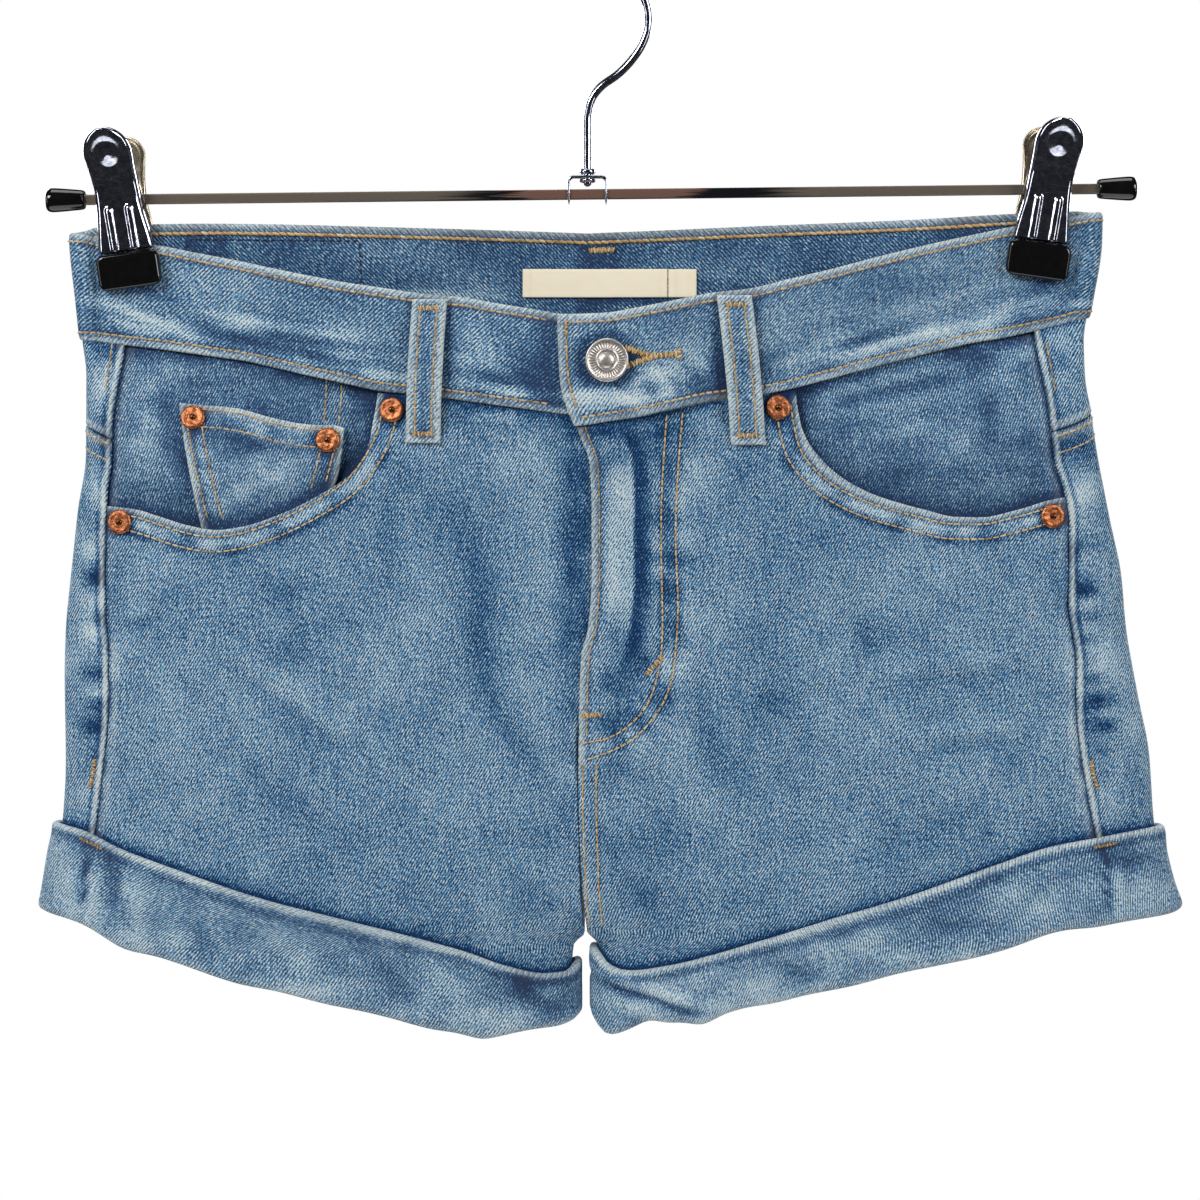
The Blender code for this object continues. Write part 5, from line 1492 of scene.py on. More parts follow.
def facing_relief(side, x, drop):
    """Height, tone and wear of the facing inside a front pocket."""
    signed = side * x
    height, tone = creases(FACING_CREASES, signed, drop)
    tone = 1.2 * tone + 1.1 * blotches(FACING_BLOTCHES, signed, drop)
    mouth, _ = mouth_distance(side, x, drop)
    above = np.where(drop < mouth_drop(side, x), mouth, 0.0)
    band = drop - band_low(side, x)
    height += 0.35 * pucker(signed, band, (8.0, 8.0), 7.0, 61) + 0.2 * clouds(signed, drop, 14.0, 62)
    by_seam = side_seam(side, drop) - x
    height -= 2.4 * bell(above, 9.0) * fade(by_seam, (0.0, 14.0))
    # The dark band just under the band's low edge is painted shadow.
    tone += 0.26 * pucker(signed, band, (9.0, 5.0), 7.0, 63) - 0.28 * bell(band, 2.4)
    mottle = 0.11 * clouds(signed, drop, (14.0, 9.0), 64) + 0.10 * clouds(signed, drop, (8.0, 4.0), 65)
    # The darkening just above the scoop's edge is painted shadow inside the pocket's opening.
    tone += mottle - 0.18 * bell(above, 6.0) - 0.45 * bell(above, 2.2)
    if side == LEFT:
        tone -= 0.30 * bell(np.hypot(x - 118, (drop - 178) * 1.2) / 26, 1.0)
    tone -= 0.26 * bell(by_seam, 1.6)
    return height, tone, 0.2 * bell(by_seam - 2.2, 1.2)


def facings():
    """The denim seen inside the front pockets."""
    down, start, across = shares(60.0)[:, None], 66.0, shares(105.0)
    for name, side in SIDES.items():
        x = start + 105.0 * across + 0 * down
        for _ in range(6):
            top = band_low(side, x[0]) - 1.5
            mouth = mouth_drop(side, x[-1])
            low = np.where(x[-1] < 80, 176.0 + 1.4 * (x[-1] - start), mouth + 10)
            drop = top + (low - top) * down
            x = start + (side_seam(side, drop) + 1.2 - start) * across
        angle = angle_at(side, x, drop)
        height, tone, worn = facing_relief(side, x, drop)
        level = facing_level(side, x, drop) + np.minimum(height, 0.15)
        panel(f"pocket_facing_{name}", side, angle, drop, level, DENIM_POCKET, tone - 0.02, worn)


def coin_level(x, drop):
    """The coin pocket's relief: a hem along its top, sinking towards the scoop."""
    top = drop - coin_top(x)
    mouth, _ = mouth_distance(LEFT, x, drop)
    hem = 1 - fade(top, (9.0, 11.0))
    return (0.35 * hem - 0.2 * bell(top - 1.8, 0.7) - 0.2 * bell(top - 8.2, 0.7)
            + 0.3 * clouds(x, drop, (9.0, 14.0), 66) - 1.6 * bell(mouth, 9.0))


def coin_pocket():
    """The small pocket on the left facing."""
    down, across = shares(38.0)[:, None], shares(52.0)
    inner, outer = smooth(COIN_SIDES, "inner", down), smooth(COIN_SIDES, "outer", down)
    x = inner + (outer - inner) * across
    top = coin_top(x[0])
    low = mouth_drop(LEFT, x[-1]) + 8
    drop = top + (low - top) * down
    angle = angle_at(LEFT, x, drop)
    level = -LINING + coin_level(x, drop) * away_from_rivets(-x, drop)
    below = drop - coin_top(x)
    side = np.minimum(x - inner, outer - x)
    mouth, _ = mouth_distance(LEFT, x, drop)
    hem = 1 - fade(below, (9, 12))
    # The dark line just below the raised hem and the darkening towards the scoop are painted shadow; the
    # rings round the rivets are painted contact shadow.
    tone = (0.34 * clouds(x, drop, (7.0, 6.0), 67) * hem - 0.30 * bell(below - 10.5, 1.8)
            + 0.24 * bell(np.hypot(x - 112, (drop - 187.5) * 2), 9.0) - 0.30 * bell(side - 3.6, 1.2)
            - 0.40 * bell(np.hypot(x - 124, (drop - 176) * 2), 11.0) + 0.20 * clouds(x, drop, (6.0, 4.0), 69)
            - 0.30 * bell(mouth, 8.0) - 0.40 * bell(mouth, 2.4) + rivet_contact_shadow(-x, drop) + 0.18)
    worn = np.maximum(1.2 * bell(below, 1.8), 1.0 * bell(side, 1.6))
    panel("coin_pocket", LEFT, angle, drop, level, DENIM_POCKET, tone, worn)


def fly_pieces():
    """The shield behind the fly, and the closed zip's tapes."""
    for node, start, end, top, low, level, wall, material, slot in (
            ("fly_shield", -14.0, 30.0, 166.6, 282.0, -LINING, CLOTH, DENIM_DARK, "denim_dark"),
            ("zip", 9.5, 15.5, 171.0, 256.0, 0.0, 1.0, SATIN, "label")):
        across = start + steps_of(end - start, 2.0)
        drop = (top + steps_of(low - top, 2.0))[:, None] + 0 * across
        x = front_seam(drop) + across
        relief = 0.12 * clouds(x, drop, 12.0, 68)
        place = over_spot(x, drop)
        cut = cut_size(place(0 * drop)) if node == "fly_shield" else None
        shell(f"cloth_{node}", place, level + relief, wall, (x, -drop), material, slot, [node], cut=cut)


def wrap_shares(side, drop, pitch=PITCH):
    """Shares of the way from the side seam to the fold, and from the fold to the centre."""
    start = seam_angle(side, np.array(drop)) + SEAM_TURN
    before = even_angles(side, start, 90.0, drop, 0.9)
    after = even_angles(side, 90.0, 180.0, drop, pitch)
    extra = np.array([0.995, 0.99, 0.982])
    share_before = (before - start) / (90.0 - start)
    share_before = np.unique(np.concatenate([share_before, [0.012, 0.035, 0.07]]))
    share_after = np.unique(np.concatenate([(after - 90.0) / 90.0, extra]))
    return share_before, share_after[1:]


def wrap_row(side, drop, before, after):
    """Angles of one row round the fold, where each column has its own drop."""
    count = len(before)
    start = seam_angle(side, drop[:count]) + SEAM_TURN
    first = start + (90 - start) * before
    rest = drop[count:]
    seam = side * back_seam(rest) + seam_inset(rest)
    end = np.minimum(angle_at(side, seam, rest, back=True), 270 - FOLD_GAP)
    return np.concatenate([first, 90 + (end - 90) * after])


def wrap_ends(side, before, after, edge):
    """Angles of the columns along an edge whose drop is given by angle."""
    angle = np.concatenate([80 + 10 * before, 90 + 90 * after])
    for _ in range(24):
        angle = (angle + wrap_row(side, edge(angle), before, after)) / 2
    return angle


def backs():
    """The two backs, which wrap round the folds to the side seams."""
    for name, side in SIDES.items():
        before, after = wrap_shares(side, 260.0)
        top = yoke_seam(side, wrap_ends(side, before, after, lambda a: yoke_seam(side, a))) + GAP / 2
        ends = wrap_ends(side, before, after, lambda a: cuff_edge(side, a, "top"))
        _, drop, held = leg_rows(side, ends, top, 165.0)
        angle = np.array([wrap_row(side, row, before, after) for row in held])
        height, tone, worn = strip_relief(side, angle, drop)
        panel(f"back_{name}", side, angle, drop, height, DENIM, tone, worn)


def yokes():
    """The yokes over the backs, a little tucked under the band."""
    for name, side in SIDES.items():
        before, after = wrap_shares(side, 150.0)
        top_angle = wrap_ends(side, before, after, lambda a: band_edge(side, a, "low"))
        top = band_edge(side, top_angle, "low") - YOKE_TUCK
        low_angle = wrap_ends(side, before, after, lambda a: yoke_seam(side, a))
        low = yoke_seam(side, low_angle) - GAP / 2
        drop = top + (low - top) * shares(50.0)[:, None]
        angle = np.array([wrap_row(side, row, before, after) for row in drop])
        height, tone, worn = strip_relief(side, angle, drop)
        under = drop - band_edge(side, angle, "low")
        # Painted shadow just under the band's low edge.
        tone = tone - 0.30 * bell(under, 2.2)
        height = height * fade(under, (0.0, 5.0))
        panel(f"yoke_{name}", side, angle, drop, height, DENIM, tone, worn)


def waistband():
    """One band all round, its right end lapped over its left end."""
    down = shares(37.0)[:, None]
    rows = len(down)
    end = smooth(BAND_END, "x", down)
    near = shares(36.0, last=False)
    side_start = 158.0
    lap = end + (STRIP - end) * near
    plain = np.linspace(STRIP, side_start, 80)[1:]
    x = np.concatenate([lap, np.tile(plain, (rows, 1))], axis=1)
    starts = [float(angle_at(side, side_start, BAND_DROP)) for side in (LEFT, RIGHT)]
    left_back, right_back = (even_angles(side, start, 180.0, BAND_RUN_DROP, PITCH)[1:]
                             for side, start in zip((LEFT, RIGHT), starts))
    right = np.concatenate([angle_at(RIGHT, x, BAND_DROP), np.tile(right_back, (rows, 1))], axis=1)
    lift = np.concatenate([band_lift(RIGHT, x), np.zeros((rows, len(right_back)))], axis=1)
    under = -UNDERLAP + steps_of(side_start + UNDERLAP, PITCH, last=False)
    left = np.concatenate([angle_at(LEFT, under, BAND_DROP), left_back])
    left = np.tile(left[::-1], (rows, 1))
    parts = []
    for side, angle, base in ((RIGHT, right, BAND_LEVEL + lift), (LEFT, left, BAND_LEVEL + 0 * left)):
        top, low = band_edge(side, angle, "top"), band_edge(side, angle, "low")
        height, tone, worn = band_relief(side, angle, (low - top) * down, low - top)
        across = x_at(side, angle, BAND_DROP)
        if side == LEFT:
            height = height * fade(across + 300 * (angle > 90), (12.0, 24.0))
            # Painted shadow of the lapped right end, on the band beside it.
            tone = tone - 0.22 * bell(np.where(angle < 90, across - 14.0, FAR), 4.0)
        else:
            past = np.where(angle < 90, across - smooth(BAND_END, "x", down), FAR)
            worn = np.maximum(worn, 0.95 * bell(past, 2.0))
            height = height - 0.24 * bell(past - 3.2, 0.7)
            from_button = np.hypot(across - BUTTON_PLACE[0], top + (low - top) * down - BUTTON_PLACE[1])
            hub = np.where(angle < 90, from_button, FAR)
            # A dark ring at the button's edge is painted contact shadow.
            tone = tone - 0.40 * bell(hub - 8.5, 2.6) + 0.10 * bell(hub - 15.0, 3.0)
            height = height * fade(hub, (8.0, 13.0))
        tone = tone + loop_wear_and_shadow(side, angle)
        parts.append([angle, top + (low - top) * down, base + height, tone, worn, np.full(angle.shape, side)])
    angle, drop, level, tone, worn, which = (
        np.concatenate([one, two[:, 1:]], axis=1) for one, two in zip(*parts))

    def place(level):
        halves = [surface(side, angle, drop, level) for side in (LEFT, RIGHT)]
        return np.where((which == RIGHT)[..., None], halves[1], halves[0])

    flat = place(0 * drop + BAND_LEVEL)
    uv = (lengths(flat, 1)[rows // 2] + 0 * drop, -(drop - drop[:1]))
    # Its inner face is painted darker, inside=-0.8, as shade inside the band.
    shell("cloth_waistband", place, level, BAND, uv, DENIM_TRIM, "denim", ["waistband"], tone, worn,
          cut_size(flat), inside=-0.8)


# (node, signed x at the top, signed x at the low end, on the back, what lies under it)
LOOPS = (
    ("loop_front_left", -56.0, -59.0, False, 0.0),
    ("loop_front_right", 52.3, 58.0, False, 0.0),
    ("loop_side_left", -141.0, -141.0, True, PATCH + 1.5 * GAP),
    ("loop_side_right", 141.0, 141.0, True, 0.0),
    ("loop_back", 4.0, 4.0, True, 0.0),
)


def loop_wear_and_shadow(side, angle):
    """The band is darker beside the loops: partly less worn cloth, partly painted shadow cast by the loops.
    """
    x = side * waist_x(angle)
    back = np.abs(angle) > 90
    tone = 0 * x
    for _, top_x, low_x, on_back, _ in LOOPS:
        away = np.abs(x - (top_x + low_x) / 2) - LOOP_WIDTH / 2
        tone = tone - 0.26 * bell(np.maximum(away, 0), 2.2) * (back == on_back)
    return tone


def belt_loops(sewing):
    """The five loops, each bulging out between its two bartacks."""
    edge_steps, length = (0.0, 0.2, 0.6, 1.2), 56.0
    down = shares(length, 1.2, first=edge_steps)[:, None]
    across = shares(LOOP_WIDTH, 0.8, first=edge_steps) - 0.5
    bulge = 1.6 * np.sin(np.pi * np.clip(down * 1.15, 0, 1)) ** 0.8
    for name, top_x, low_x, back, under in LOOPS:
        centre = top_x + (low_x - top_x) * down
        x = centre + LOOP_WIDTH * across
        side = LEFT if top_x < 0 else RIGHT
        angle = waist_angle(centre, back)
        top = band_edge(side, angle[0], "top") + 1.6
        low = band_edge(side, angle[-1], "low") + 17.0
        drop = top + (low - top) * down + 0 * x
        on_band_level = BAND_FACE + 2 * GAP + LOOP / 2 + under
        on_panel = CLOTH / 2 + 2 * GAP + LOOP / 2
        level = on_band_level + (on_panel - on_band_level) * fade(down, (0.74, 0.92)) + bulge
        edge = (0.5 - np.abs(across)) * LOOP_WIDTH + 0 * x
        ribs = -0.22 * bell(edge - 3.0, 0.7) + 0.16 * bell(edge - 1.4, 1.2)
        level = level + ribs + 0.12 * clouds(x, drop, (4.0, 7.0), 81)
        end = np.minimum(down, 1 - down) * length + 0 * x
        level = level - 0.5 * bell(end - 3.0, 1.1)
        tone = 0.10 * clouds(x, drop, (3.0, 5.0), 82) - 0.28 * bell(edge - 6.3, 2.8) + 0.20
        tone = tone - 0.2 * bell(end - 4.2, 1.0)
        worn = np.maximum(0.95 * bell(edge, 1.9), 0.9 * bell(end, 1.6))
        place = over_spot(x, drop, back)
        shell(f"cloth_{name}", place, level, LOOP, (x, -drop), DENIM_TRIM, "denim", [name], tone, worn,
              cut_size(place(level)))
        inner = end[:, 0] > 3.4
        for share in (-0.24, 0.24):
            at_x = centre[:, 0] + LOOP_WIDTH * share
            base = np.array([np.interp(share, across, row) for row in level]) + LOOP / 2
            points, ups = with_up(over_spot(at_x, drop[:, 0], back), base)
            sewing.line(points[inner], ups[inner], pitch=2.5, size=0.35)
        first = nearest(end[:len(end) // 2, 0], 3.0)
        for row in (first, len(end) - 1 - nearest(end[::-1][:len(end) // 2, 0], 3.0)):
            keep = edge[row] > 2.2
            points, ups = with_up(over_spot(x[row], drop[row], back), level[row] + LOOP / 2)
            sewing.satin(points[keep], ups[keep], width=2.0)


def cuff_ring(side):
    """Angles round a cuff, about even along the cloth."""
    halves = [even_angles(side, start, start + 180.0, 372.0, 1.9) for start in (-90.0, 90.0)]
    return np.concatenate([half[:-1] for half in halves])


# On the fronts of the cuffs, as on the panels
CUFF_CREASES = [
    (-1, 1, -0.60, [(-181.4, 316), (-182.4, 330), (-183.8, 350)]),
    (0.9, 2.4, 0.26, [(-178.4, 326), (-179, 338), (-179, 350)]),
    (-0.9, 2.6, -0.34, [(-175, 326), (-171, 332), (-172, 346)]),
    (0.8, 3, 0.22, [(-168, 334), (-163, 346), (-162, 358)]),
    (-1, 1, -0.55, [(187.6, 317), (188.6, 332), (190, 350)]),
    (0.8, 2.2, 0.22, [(192.4, 326), (193, 338), (193.6, 350)]),
    (-0.8, 3, -0.14, [(-150, 334), (-140, 352), (-136, 368)]),
    (0.7, 4, 0.12, [(-120, 346), (-104, 362), (-98, 374)]),
    (-0.9, 3.5, -0.16, [(-86, 352), (-72, 368), (-62, 380)]),
    (0.8, 3.5, 0.16, [(-60, 362), (-48, 376), (-44, 388)]),
    (-1.1, 3.4, -0.26, [(-30, 368), (-20, 380), (-9, 386)]),
    (-1.7, 1.3, -0.50, [(3, 370.4), (12, 376), (24, 378.6), (36, 383), (48, 383.6)]),
    (1.1, 2.2, 0.26, [(4, 366.5), (14, 372.6), (26, 375), (38, 379.4), (50, 379.8)]),
    (0.9, 2.2, 0.20, [(8, 379), (20, 383), (32, 387)]),
    (-0.8, 1.6, -0.26, [(14, 386), (22, 389), (30, 391)]),
    (-0.9, 3, -0.16, [(62, 360), (74, 368), (92, 370)]),
    (0.7, 3.5, 0.14, [(70, 362), (92, 358), (112, 352)]),
    (-0.8, 3, -0.14, [(118, 346), (130, 352), (150, 350)]),
    (0.7, 3, 0.12, [(140, 338), (156, 340), (172, 336)]),
    (-1, 2.8, -0.20, [(186, 322), (196, 330), (204, 330)]),
]
CUFF_BLOTCHES = [
    (-178, 328, 7, 6, -0.24), (-20.6, 373, 12, 6, -0.34), (192.6, 326, 10, 4, -0.26),
    (-100, 372, 18, 4, 0.16), (-40, 384, 16, 4, 0.20), (-150, 356, 12, 4, 0.16), (60, 374, 16, 4, 0.14),
    (110, 362, 18, 4, 0.12), (24, 380, 10, 3, 0.20), (-190, 340, 6, 9, 0.16), (170, 345, 12, 5, 0.14),
    (206, 340, 7, 6, 0.12),
]


def cuff_relief(side, angle, down, span, drop):
    """Height, tone and wear of a cuff; down and span are in millimetres."""
    x = x_at(side, angle, drop)
    signed = side * x
    front = 1 - fade(angle, (84.0, 97.0)) + fade(angle, (262.0, 268.0))
    along = np.where(angle < 90, x, 400.0 - x)
    height, tone = creases(CUFF_CREASES, signed, drop)
    height, tone = height * front, 1.15 * (tone + blotches(CUFF_BLOTCHES, signed, drop)) * front
    up = span - down
    run = side * along
    height += 0.45 * clouds(run, down, (19.0, 14.0), 91) + 0.30 * pucker(run, down, (11.0, 9.0), 8.0, 92)
    tone += 0.10 * clouds(run + down, down, (13.0, 8.0), 93) + 0.10 * clouds(run, down, (6.0, 5.0), 94)
    tone += 0.16 * pucker(run - 0.5 * up, up, (7.0, 7.0), 8.0, 95) + 0.08 * bell(up, 5.0)
    # A painted shade line just under the rolled top edge.
    tone -= 0.30 * bell(down - 3.0, 1.2)
    worn = np.maximum(0.95 * bell(down - 0.2, 0.9), 0.30 * bell(up, 2.6))
    return height, tone, worn


# Dips and rises of the cuffs' low edges: (signed x, half width, drop)
CUFF_BUMPS = [
    (-38.8, 7, 1.8), (-58, 8, 0.8), (-20, 9, -0.8), (9.5, 6, 1.8), (23, 5, -2), (42.5, 6, 2.2),
    (60, 8, -0.8), (-130, 14, 0.7), (-168, 8, 1.4), (120, 16, -0.6), (184, 8, 0.8),
]


def cuffs(sewing):
    """The rolled cuffs, rings outside the legs with a floor that turns in under their ends, and bartacks."""
    inside, rest = -CLOTH / 2, CLOTH / 2 + 1.8 * GAP
    for name, side in SIDES.items():
        angle = cuff_ring(side)[:, None]
        top, low = cuff_edge(side, angle, "top"), cuff_edge(side, angle, "low")
        at = side * x_at(side, angle, low)
        ripple = 0.5 * clouds(at, 0 * angle, 16.0, 96)
        for bump_x, wide, dip in CUFF_BUMPS:
            ripple = ripple + dip * bell(at - bump_x, wide)
        ripple = ripple * fade(np.cos(np.radians(angle)), (0.0, 0.12))
        low = low + ripple
        span = low - top
        face = rest + CUFF
        wall = np.linspace(0, 1, 20)
        outline = [(rest, top + 0.2), (rest + 0.5, top), (rest + CUFF * 0.45, top - 0.35),
                   (rest + CUFF * 0.8, top - 0.1), (face - 0.15, top + 0.6)]
        for share in wall[1:]:
            drop = top + 0.6 + (span - 3.4) * share
            height, _, _ = cuff_relief(side, angle, drop - top, span, drop)
            height = height * fade(drop - top, (0.5, 4.0)) * fade(low - drop, (0.5, 6.0))
            outline.append((face + height + 0.9 * share ** 2, drop))
        outline += [(face + 0.7, low - 1.6), (face - 0.1, low - 0.6), (rest + CUFF * 0.55, low + 0.1),
                    (rest, low), (inside, low - 0.2), (inside - 0.2, low - CUFF_FLOOR / 2),
                    (inside, low - CUFF_FLOOR), (rest, low - CUFF_FLOOR)]
        back_wall = np.linspace(0, 1, 8)[1:-1]
        outline += [(rest, low - CUFF_FLOOR + (top + 0.2 - low + CUFF_FLOOR) * share) for share in back_wall]
        sections = np.stack([surface(side, angle[:, 0], drop[:, 0], (level + 0 * angle)[:, 0])
                             for level, drop in outline], axis=1)
        drops = np.concatenate([drop for _, drop in outline], axis=1)
        _, tone, worn = cuff_relief(side, angle, drops - top, span, drops)
        # The faces tucked inside the roll are painted darker as shade, and get no wear.
        hidden = np.zeros(drops.shape[1])
        hidden[:1] = 1.0
        hidden[-len(back_wall) - 4:] = 1.0
        count, size = sections.shape[:2]
        index = np.arange(count * size).reshape(count, size)
        index = np.concatenate([index, index[:1]], axis=0)
        index = np.concatenate([index, index[:, :1]], axis=1)
        across = lengths(np.concatenate([sections, sections[:1]])[:, 12][None], 1)[0]
        around, tall = across[-1], float(np.mean(span))
        u = np.broadcast_to(side * across[:-1][:, None], (count, size))
        v = -lengths(sections, 1)
        item = piece(f"cloth_cuff_{name}", sections.reshape(-1, 3), quads(index), DENIM_CUFF, "denim",
                     [f"cuff_{name}"], uv=np.stack([u.ravel(), v.ravel()], axis=1),
                     tone=(tone - 0.30 * hidden).ravel(), worn=(worn * (1 - hidden)).ravel(),
                     inside=np.zeros(count * size))
        mend_normals(item, join=False)
        item.data.shade_smooth()
        declare((around * MM, (tall + CUFF) * MM, around * (tall + CUFF) * MM * MM))
        seam_x = side_seam(side, 330.0) + (0.5 if side == RIGHT else -2.0)
        at = seam_x + np.linspace(-4.0, 4.0, 9)
        drop = cuff_top(side, at) + 2.6
        place = on_tube(side, angle_at(side, at, drop), drop)
        sewing.satin(*with_up(place, face + 0.25 + 0 * at), width=1.0, tone=-0.35)


def back_pocket_grid():
    """Distances out and drops of a back pocket's grid."""
    down, across = shares(115.0)[:, None], shares(118.0)
    inner, outer = smooth(BACK_POCKET_SIDES, "inner", down), smooth(BACK_POCKET_SIDES, "outer", down)
    x = inner + (outer - inner) * across
    top = BACK_POCKET_TOP[0] + (BACK_POCKET_TOP[1] - BACK_POCKET_TOP[0]) * across
    low = np.interp(across, BACK_POCKET_LOW["across"], BACK_POCKET_LOW["drop"])
    return x, top + (low - top) * down


def back_pocket_level(side, x, drop, edge, below):
    """Level of a back pocket: its hem, its puckers and the bow of its mouth."""
    signed = side * x
    bow = 0.9 * bell(below, 16.0) * np.clip(1 - ((x - 92) / 62) ** 2, 0, 1)
    hem = 1 - fade(below, (14.0, 16.0))
    return (LAYER + 0.5 + bow + 0.35 * hem + 0.5 * clouds(signed, drop, 36.0, 101) * fade(edge, (1.0, 14.0))
            - 0.24 * bell(edge - 2.0, 0.7) * (below > 3) - 0.24 * bell(edge - 8.0, 0.7) * (below > 3)
            + 0.30 * clouds(signed, drop, (8.0, 8.0), 102) * bell(edge, 9.0))


def back_pockets(sewing):
    """The two patch pockets and their double rows."""
    for name, side in SIDES.items():
        x, drop = back_pocket_grid()
        angle = angle_at(side, x, drop, back=True)
        place = on_tube(side, angle, drop)
        points = place(LAYER + 0 * x)
        down, across = lengths(points, 0), lengths(points, 1)
        edge = np.minimum.reduce([down[-1:] - down, across, across[:, -1:] - across])
        level = back_pocket_level(side, x, drop, edge, down)
        # The dark line just below the raised hem is painted shadow.
        tone = (0.16 + 0.10 * clouds(side * x, drop, 16.0, 103) - 0.30 * bell(edge - 9.6, 1.4) * (down > 3)
                + 0.22 * clouds(side * x, drop, (6.0, 6.0), 104) * bell(edge - 3, 6.0)
                - 0.26 * bell(down - 15.8, 1.5) + 0.10 * bell(np.hypot(x - 92, drop - 262), 34.0))
        worn = np.maximum(0.9 * bell(edge, 2.0), 0.9 * bell(down, 2.2))
        shell(f"cloth_back_pocket_{name}", place, level, CLOTH, (side * x, -drop), DENIM, "denim",
              [f"back_pocket_{name}"], tone, worn, cut_size(points))
        outer, ups = with_up(place, level + CLOTH / 2)
        for inset in (2.0, 8.0):
            i0, i1 = nearest(across[0], inset), nearest(across[0], across[0, -1] - inset)
            j1 = nearest(down[:, len(across) // 2 - 1], down[-1, i0] - inset)
            j1 = min(j1, outer.shape[0] - 2)
            ring = np.concatenate([outer[2:j1, i0], outer[j1, i0:i1], outer[2:j1, i1][::-1]])
            ring_up = np.concatenate([ups[2:j1, i0], ups[j1, i0:i1], ups[2:j1, i1][::-1]])
            sewing.line(ring, ring_up)
        for depth in (2.2, 14.0):
            j = nearest(down[:, outer.shape[1] // 2], depth)
            sewing.line(outer[j, 2:-2], ups[j, 2:-2])
        for at in (5.0, across[0, -1] - 5.0):
            i = nearest(across[0], at)
            j = nearest(down[:, i], 9.0)
            sewing.satin(outer[1:j, i], ups[1:j, i], width=1.8)


def labels_and_patch(sewing):
    """The bare labels inside the band and the blank patch outside it."""
    inside = BAND_LEVEL - BAND / 2 - GAP - LABEL / 2
    outside = BAND_FACE + 1.5 * GAP + PATCH / 2
    for name, ends, drops, level, wall, material, slot, way in (
            ("label", (-24.5, 30.0), (111.2, 121.9), inside, LABEL, SATIN, "label", -1),
            ("size_tab", (30.3, 40.9), (111.3, 121.9), inside, LABEL, SATIN, "label", -1),
            ("back_patch", (-147.0, -85.5), (99.0, 131.5), outside, PATCH, HIDE, "leather", 1)):
        x = ends[0] + steps_of(ends[1] - ends[0], 1.2)
        drop = (drops[0] + steps_of(drops[1] - drops[0], 1.2))[:, None] + 0 * x
        x = x + 0 * drop
        edge_x, edge_z = np.minimum(x - ends[0], ends[1] - x), np.minimum(drop - drops[0], drops[1] - drop)
        edge = np.minimum(edge_x, edge_z)
        woven = name != "back_patch"
        relief = 0.10 * clouds(x, drop, 7.0, 111) + 0.25 * clouds(x, 0 * x, 16.0, 112) * woven
        tone = -0.16 * bell(edge_x - 2.6, 0.5) * woven - 0.10 * bell(edge, 0.6)
        thin = wall * (0.55 if woven else 1.0)
        base = level + way * (0.1 + np.clip(relief, -0.2, 0.3))
        place = over_spot(x, drop, back=True)
        shell(f"cloth_{name}", place, base, thin, (x, -drop), material, slot, [name], tone, 0.0,
              cut_size(place(base)), inside=0.0)
        if not woven:
            outer, ups = with_up(place, base + way * thin / 2)
            inset = 3
            for j in (inset, -1 - inset):
                sewing.line(outer[j, inset:-inset], ups[j, inset:-inset])
            for i in (inset, -1 - inset):
                sewing.line(outer[inset:-inset, i], ups[inset:-inset, i])


# ---------------------------------------------------------------- rows of stitches

def band_sewing(sewing):
    """Rows along the band's edges and down its lapped end."""
    for side, top_start, low_start in ((LEFT, 14.0, 8.0), (RIGHT, -6.5, -2.0)):
        start = float(angle_at(side, top_start, BAND_DROP))
        angle = even_angles(side, start, 180.0, BAND_RUN_DROP, 1.2)
        span = band_edge(side, angle, "low") - band_edge(side, angle, "top")
        sewing.line(*on_band(side, angle, 3.0 + 0 * angle), pitch=2.7, size=0.41)
        keep = angle > float(angle_at(side, low_start, BAND_DROP))
        sewing.line(*on_band(side, angle[keep], (span - 3.0)[keep]), pitch=2.7, size=0.41)
    down = np.linspace(3.0, 33.5, 32)
    x = smooth(BAND_END, "x", down / 38.0) + 3.2
    sewing.line(*on_band(RIGHT, angle_at(RIGHT, x, BAND_DROP), down), pitch=2.7, size=0.38)
    sewing.satin(*on_band(RIGHT, angle_at(RIGHT, x[:5], BAND_DROP), down[:5]), width=1.2)


def inside_sewing(sewing):
    """The chunky chain stitch inside the back of the band, and its bartack."""
    for side in (LEFT, RIGHT):
        start = float(angle_at(side, 34.0, BAND_DROP))
        angle = even_angles(side, start, 180.0, BAND_RUN_DROP, 1.0)
        points, ups = on_band(side, angle, 3.7 + 0 * angle, inner=True)
        points = points + ups * 0.2
        sewing.line(points, ups, pitch=2.6, share=1.15, size=0.58, skew=0.32, tone=0.04)
        sewing.line(points, ups, pitch=1.5, share=1.10, size=0.42, skew=-0.34, tone=-0.22)
    x = np.linspace(0.8, 9.9, 8)
    angle = waist_angle(x)
    points, ups = on_band(RIGHT, angle, 6.6 + 0 * x, inner=True)
    sewing.satin(points + ups * 0.15, ups, width=2.2, size=0.34)


def patch_outline(sewing):
    """The back patch's dark stitches, seen on the inside of the band."""
    left, right, top = -148.5, -85.6, 101.0
    for path in ([(left, 112.0), (left, top + 0.2)], [(left, top), (right, top)],
                 [(right, top + 0.2), (right, 130.0)]):
        x, drop = dense(path).T
        angle = waist_angle(x)
        down = drop - band_edge(LEFT, angle, "top")
        points, ups = on_band(LEFT, angle, down, inner=True)
        sewing.line(points, ups, share=0.7, size=0.30, tone=-0.35)


